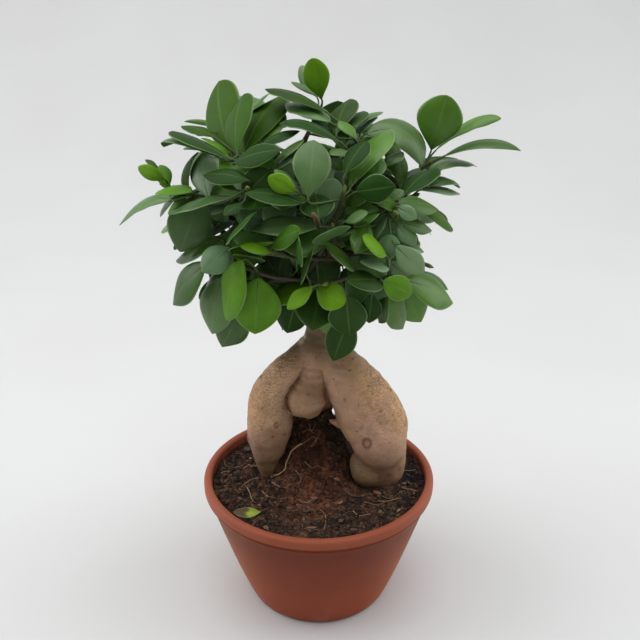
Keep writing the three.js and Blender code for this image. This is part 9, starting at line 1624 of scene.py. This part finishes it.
def make_shoot(name, path, radius, leaves, seed):
    rng = np.random.default_rng(seed)
    b = Build()
    p = np.array(path, float)
    pr = spline(np.hstack([p, np.array(radius, float)[:, None]]), 7)
    pts, rad = pr[:, :3], pr[:, 3]
    # swollen where each stalk leaves the stem
    for L in leaves:
        dist = np.linalg.norm(pts - np.array(L[0]), axis=1)
        rad = rad + 0.28 * np.exp(-((dist / 1.6) ** 2))
    wob = 0.35 * np.stack([value_noise(pts / 7.0, seed + k) for k in (1, 2, 3)], 1)
    wob[0] = 0
    pts = pts + wob
    # a pointed bud closes the stem
    t = unit(pts[-1] - pts[-3])
    bud = [pts[-1] + t * k for k in (0.9, 2.2, 3.6, 4.9)]
    end = rad[-1]
    pts = np.vstack([pts, bud])
    rad = np.concatenate([rad, [end * 1.05, end * 0.95, end * 0.55, 0.14]])
    v, f = tube(pts, rad, 9)
    k = np.linspace(0, 1, len(pts))[:, None]
    col = OLD[None] * (1 - k) + YOUNG[None] * k
    col[-4:] = srgb(104, 118, 48)
    col = np.vstack([np.repeat(col, 9, 0), col[:1], col[-1:]])
    b.add(v, f, col, None, 1)
    for L in leaves:
        J, B, K, T, N, w, c, tone, kind = L
        if tone == "U":
            make_bud(b, J, B, K, T, N, w, c, rng)
        else:
            # painted light: leaves of the fill and back kinds (F, R) get a 1.55 times lighter tone against the shade
            # deep in the crown
            leaf_mesh(b, J, B, K, T, N, w * 1.05 if kind in "ATL" else w * 1.12, c, TONES[tone] * (1.0 if kind in "ATL" else 1.55), rng, kind in "ATL", None, 2 if tone in "KYBPQ" else 0, OVAL[tone])
    o = b.object(name + "_leaves", [LEAF, TWIG, YOUNG_LEAF])
    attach(o, "root")
    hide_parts(name)
    return o


def make_bud(b, J, B, K, T, N, w, c, rng):
    """rolled brown-orange bud sheath"""
    J, B, K, T = (np.asarray(a, float) for a in (J, B, K, T))
    q = np.linspace(0, 1, 16)[:, None]
    K, T = B + (K - B) * 0.72, B + (T - B) * 0.72
    path = np.vstack([(J + (B - J) * np.linspace(0, 0.9, 4)[:, None]), (1 - q) ** 2 * B + 2 * q * (1 - q) * K + q * q * T])
    s = q[:, 0]
    r = np.concatenate([np.full(4, 0.75), 0.75 + (w / 2 * 0.33 - 0.75) * np.sin(np.pi * np.clip(s, 0, 1) ** 0.9) ** 0.8])
    r[-1] = 0.12
    v, f = tube(path, r, 14)
    ang = np.tile(np.arange(14), len(path))
    ridge = 0.12 * np.sin(ang * 2.7)
    cen = np.repeat(path, 14, 0)
    v[: len(cen)] += (v[: len(cen)] - cen) * ridge[:, None]
    k = np.concatenate([np.zeros(4), s])[:, None]
    col = srgb(66, 66, 32)[None] * (1 - k) + srgb(104, 78, 46)[None] * k
    col = np.vstack([np.repeat(col, 14, 0), col[:1], col[-1:]])
    b.add(v, f, col, None, 1)


def make_branch(name, path, radius, seed):
    b = Build()
    s = spline(np.hstack([np.array(path, float), np.array(radius, float)[:, None]]), 12)
    pts, r = s[:, :3], s[:, 3].copy()
    pts = pts + 0.5 * np.stack([value_noise(pts / 9.0, seed + k) for k in (1, 2, 3)], 1) * np.linspace(0, 1, len(pts))[:, None]
    # bud-scale rings
    for k in np.linspace(0.18, 0.9, 6):
        r *= 1 + 0.10 * np.exp(-(((np.linspace(0, 1, len(pts)) - k) / 0.018) ** 2))
    v, f = tube(pts, r, 14)
    m = len(pts) * 14
    cen = np.repeat(pts, 14, 0)
    v[:m] += (v[:m] - cen) * (0.10 * fbm(v[:m] / 2.6, seed, 2))[:, None]
    red = name == "branch_front_right"
    a, c = (srgb(116, 72, 46), srgb(134, 82, 50)) if red else (srgb(34, 30, 21), srgb(40, 37, 24))
    k = np.repeat(np.linspace(0, 1, len(pts)), 14)[:, None]
    col = a[None] * (1 - k) + c[None] * k
    col = col * (1 + 0.22 * fbm(v[:m] / 4.0, seed + 5, 3))[:, None]
    col = np.vstack([col, col[:1], col[-1:]])
    b.add(v, f, np.clip(col, 0.003, 1), None, 0)
    o = b.object(name + "_wood", [TWIG])
    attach(o, "root")
    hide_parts(name)
    return o


def make_fallen():
    rng = np.random.default_rng(77)
    b = Build()

    def tone(co):
        k = smoothstep(0.50, 0.62, co[:, 0] + 0.06 * np.sin(co[:, 1] * 4))[:, None]
        dry, green = srgb(72, 60, 36), srgb(142, 162, 58)
        base = dry[None] * (1 - k) + green[None] * k
        j = smoothstep(0.1, 0.7, fbm(np.stack([co[:, 0] * 7, co[:, 1] * 3, co[:, 2]], 1), 3, 2))[:, None]
        base = base * (1 - 0.3 * j) + srgb(84, 64, 34)[None] * 0.3 * j
        edge = smoothstep(0.8, 0.98, np.abs(co[:, 1]))[:, None]
        return base * (1 - 0.5 * edge) + srgb(150, 140, 84)[None] * 0.5 * edge

    J, B, K, T, N, w, c = FALLEN
    leaf_mesh(b, T, T, K, B, N, w * 0.82, c, srgb(120, 120, 60), rng, True, tone)
    o = b.object("fallen_leaf_blade", [LEAF, TWIG])
    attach(o, "root")
    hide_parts("fallen_leaf")
    return o


pot = make_pot()
roots = make_caudex()
peat = make_soil()
ground = [tree_of(roots), tree_of(peat)]
make_crumbs()
make_fibres()
make_rootlets(ground)
make_chips(ground)
for i, (name, path, radius, leaves) in enumerate(SHOOTS):
    make_shoot(name, path, radius, leaves, 100 + 13 * i)
for i, (name, (path, radius)) in enumerate(BRANCHES.items()):
    make_branch(name, path, radius, 900 + 7 * i)
make_fallen()

# ------------------------------------------------------------------ floor, backdrop and light
def make_stage():
    m = Nodes("pale_floor")
    o = m.where()
    n1 = m.noise(o, 3.0, 3.0, 0.5)
    n2 = m.noise(o, 900.0, 2.0, 0.6)
    col = m.mix(m.span(n1, 0.3, 0.7), (0.585, 0.590, 0.592), (0.605, 0.612, 0.616))
    mat = m.finish(col, m.span(n2, 0.3, 0.7, 0.55, 0.65, False), m.bump(n2, 0.0001, 0.3))
    prof = [(-2.2, 0.0), (0.9, 0.0)]
    for a in np.linspace(0, math.pi / 2, 13)[1:]:
        prof.append((0.9 + 1.1 * math.sin(a), 1.1 - 1.1 * math.cos(a)))
    prof.append((2.0, 4.0))
    xs = np.linspace(-3.2, 3.2, 9)
    v = np.array([(x, y, z) for y, z in prof for x in xs]) / MM
    f = grid_faces(len(prof), len(xs))
    b = Build()
    b.add(v, f, (0.7, 0.7, 0.7))
    o = b.object("floor", [mat])


def area(name, where, target, size, size_y, power, colour=(1.0, 1.0, 1.0)):
    d = bpy.data.lights.new(name, "AREA")
    d.shape, d.size, d.size_y, d.energy, d.color = "RECTANGLE", size, size_y, power, colour
    o = bpy.data.objects.new(name, d)
    o.location = where
    o.rotation_euler = (Vector(target) - Vector(where)).to_track_quat("-Z", "Y").to_euler()
    bpy.context.scene.collection.objects.link(o)
    return o


make_stage()
area("left_window", (-2.3, 0.2, 1.5), (0, 0, 0.2), 2.2, 2.0, 25.0, (1.0, 0.995, 0.98))
area("right_window", (2.3, 0.3, 1.4), (0, 0, 0.2), 2.0, 1.9, 21.0, (0.995, 0.995, 1.0))
area("top_light", (-0.1, -0.1, 2.4), (0, 0, 0.2), 2.6, 2.2, 36.0, (1.0, 0.995, 0.985))

world = bpy.data.worlds.new("room")
bpy.context.scene.world = world
world.use_nodes = True
wt = world.node_tree
bg = wt.nodes["Background"]
# a bright room all round, dimmer on the side the photograph was taken from
wco = wt.nodes.new("ShaderNodeTexCoord")
wsep = wt.nodes.new("ShaderNodeSeparateXYZ")
wt.links.new(wco.outputs["Generated"], wsep.inputs[0])
wlift = wt.nodes.new("ShaderNodeMath")
wlift.operation = "MULTIPLY_ADD"
wt.links.new(wsep.outputs[2], wlift.inputs[0])
wlift.inputs[1].default_value = 1.0
wt.links.new(wsep.outputs[1], wlift.inputs[2])
wmap = wt.nodes.new("ShaderNodeMapRange")
wmap.interpolation_type = "SMOOTHSTEP"
wt.links.new(wlift.outputs[0], wmap.inputs["Value"])
for key, val in (("From Min", -0.75), ("From Max", 0.75), ("To Min", 0.16), ("To Max", 0.92)):
    wmap.inputs[key].default_value = val
bg.inputs[0].default_value = (0.985, 0.985, 0.98, 1.0)
wt.links.new(wmap.outputs["Result"], bg.inputs[1])
bpy.context.scene.view_settings.view_transform = "Standard"
bpy.context.scene.view_settings.look = "None"
bpy.context.scene.view_settings.exposure = 0.0
bpy.context.scene.view_settings.gamma = 1.0
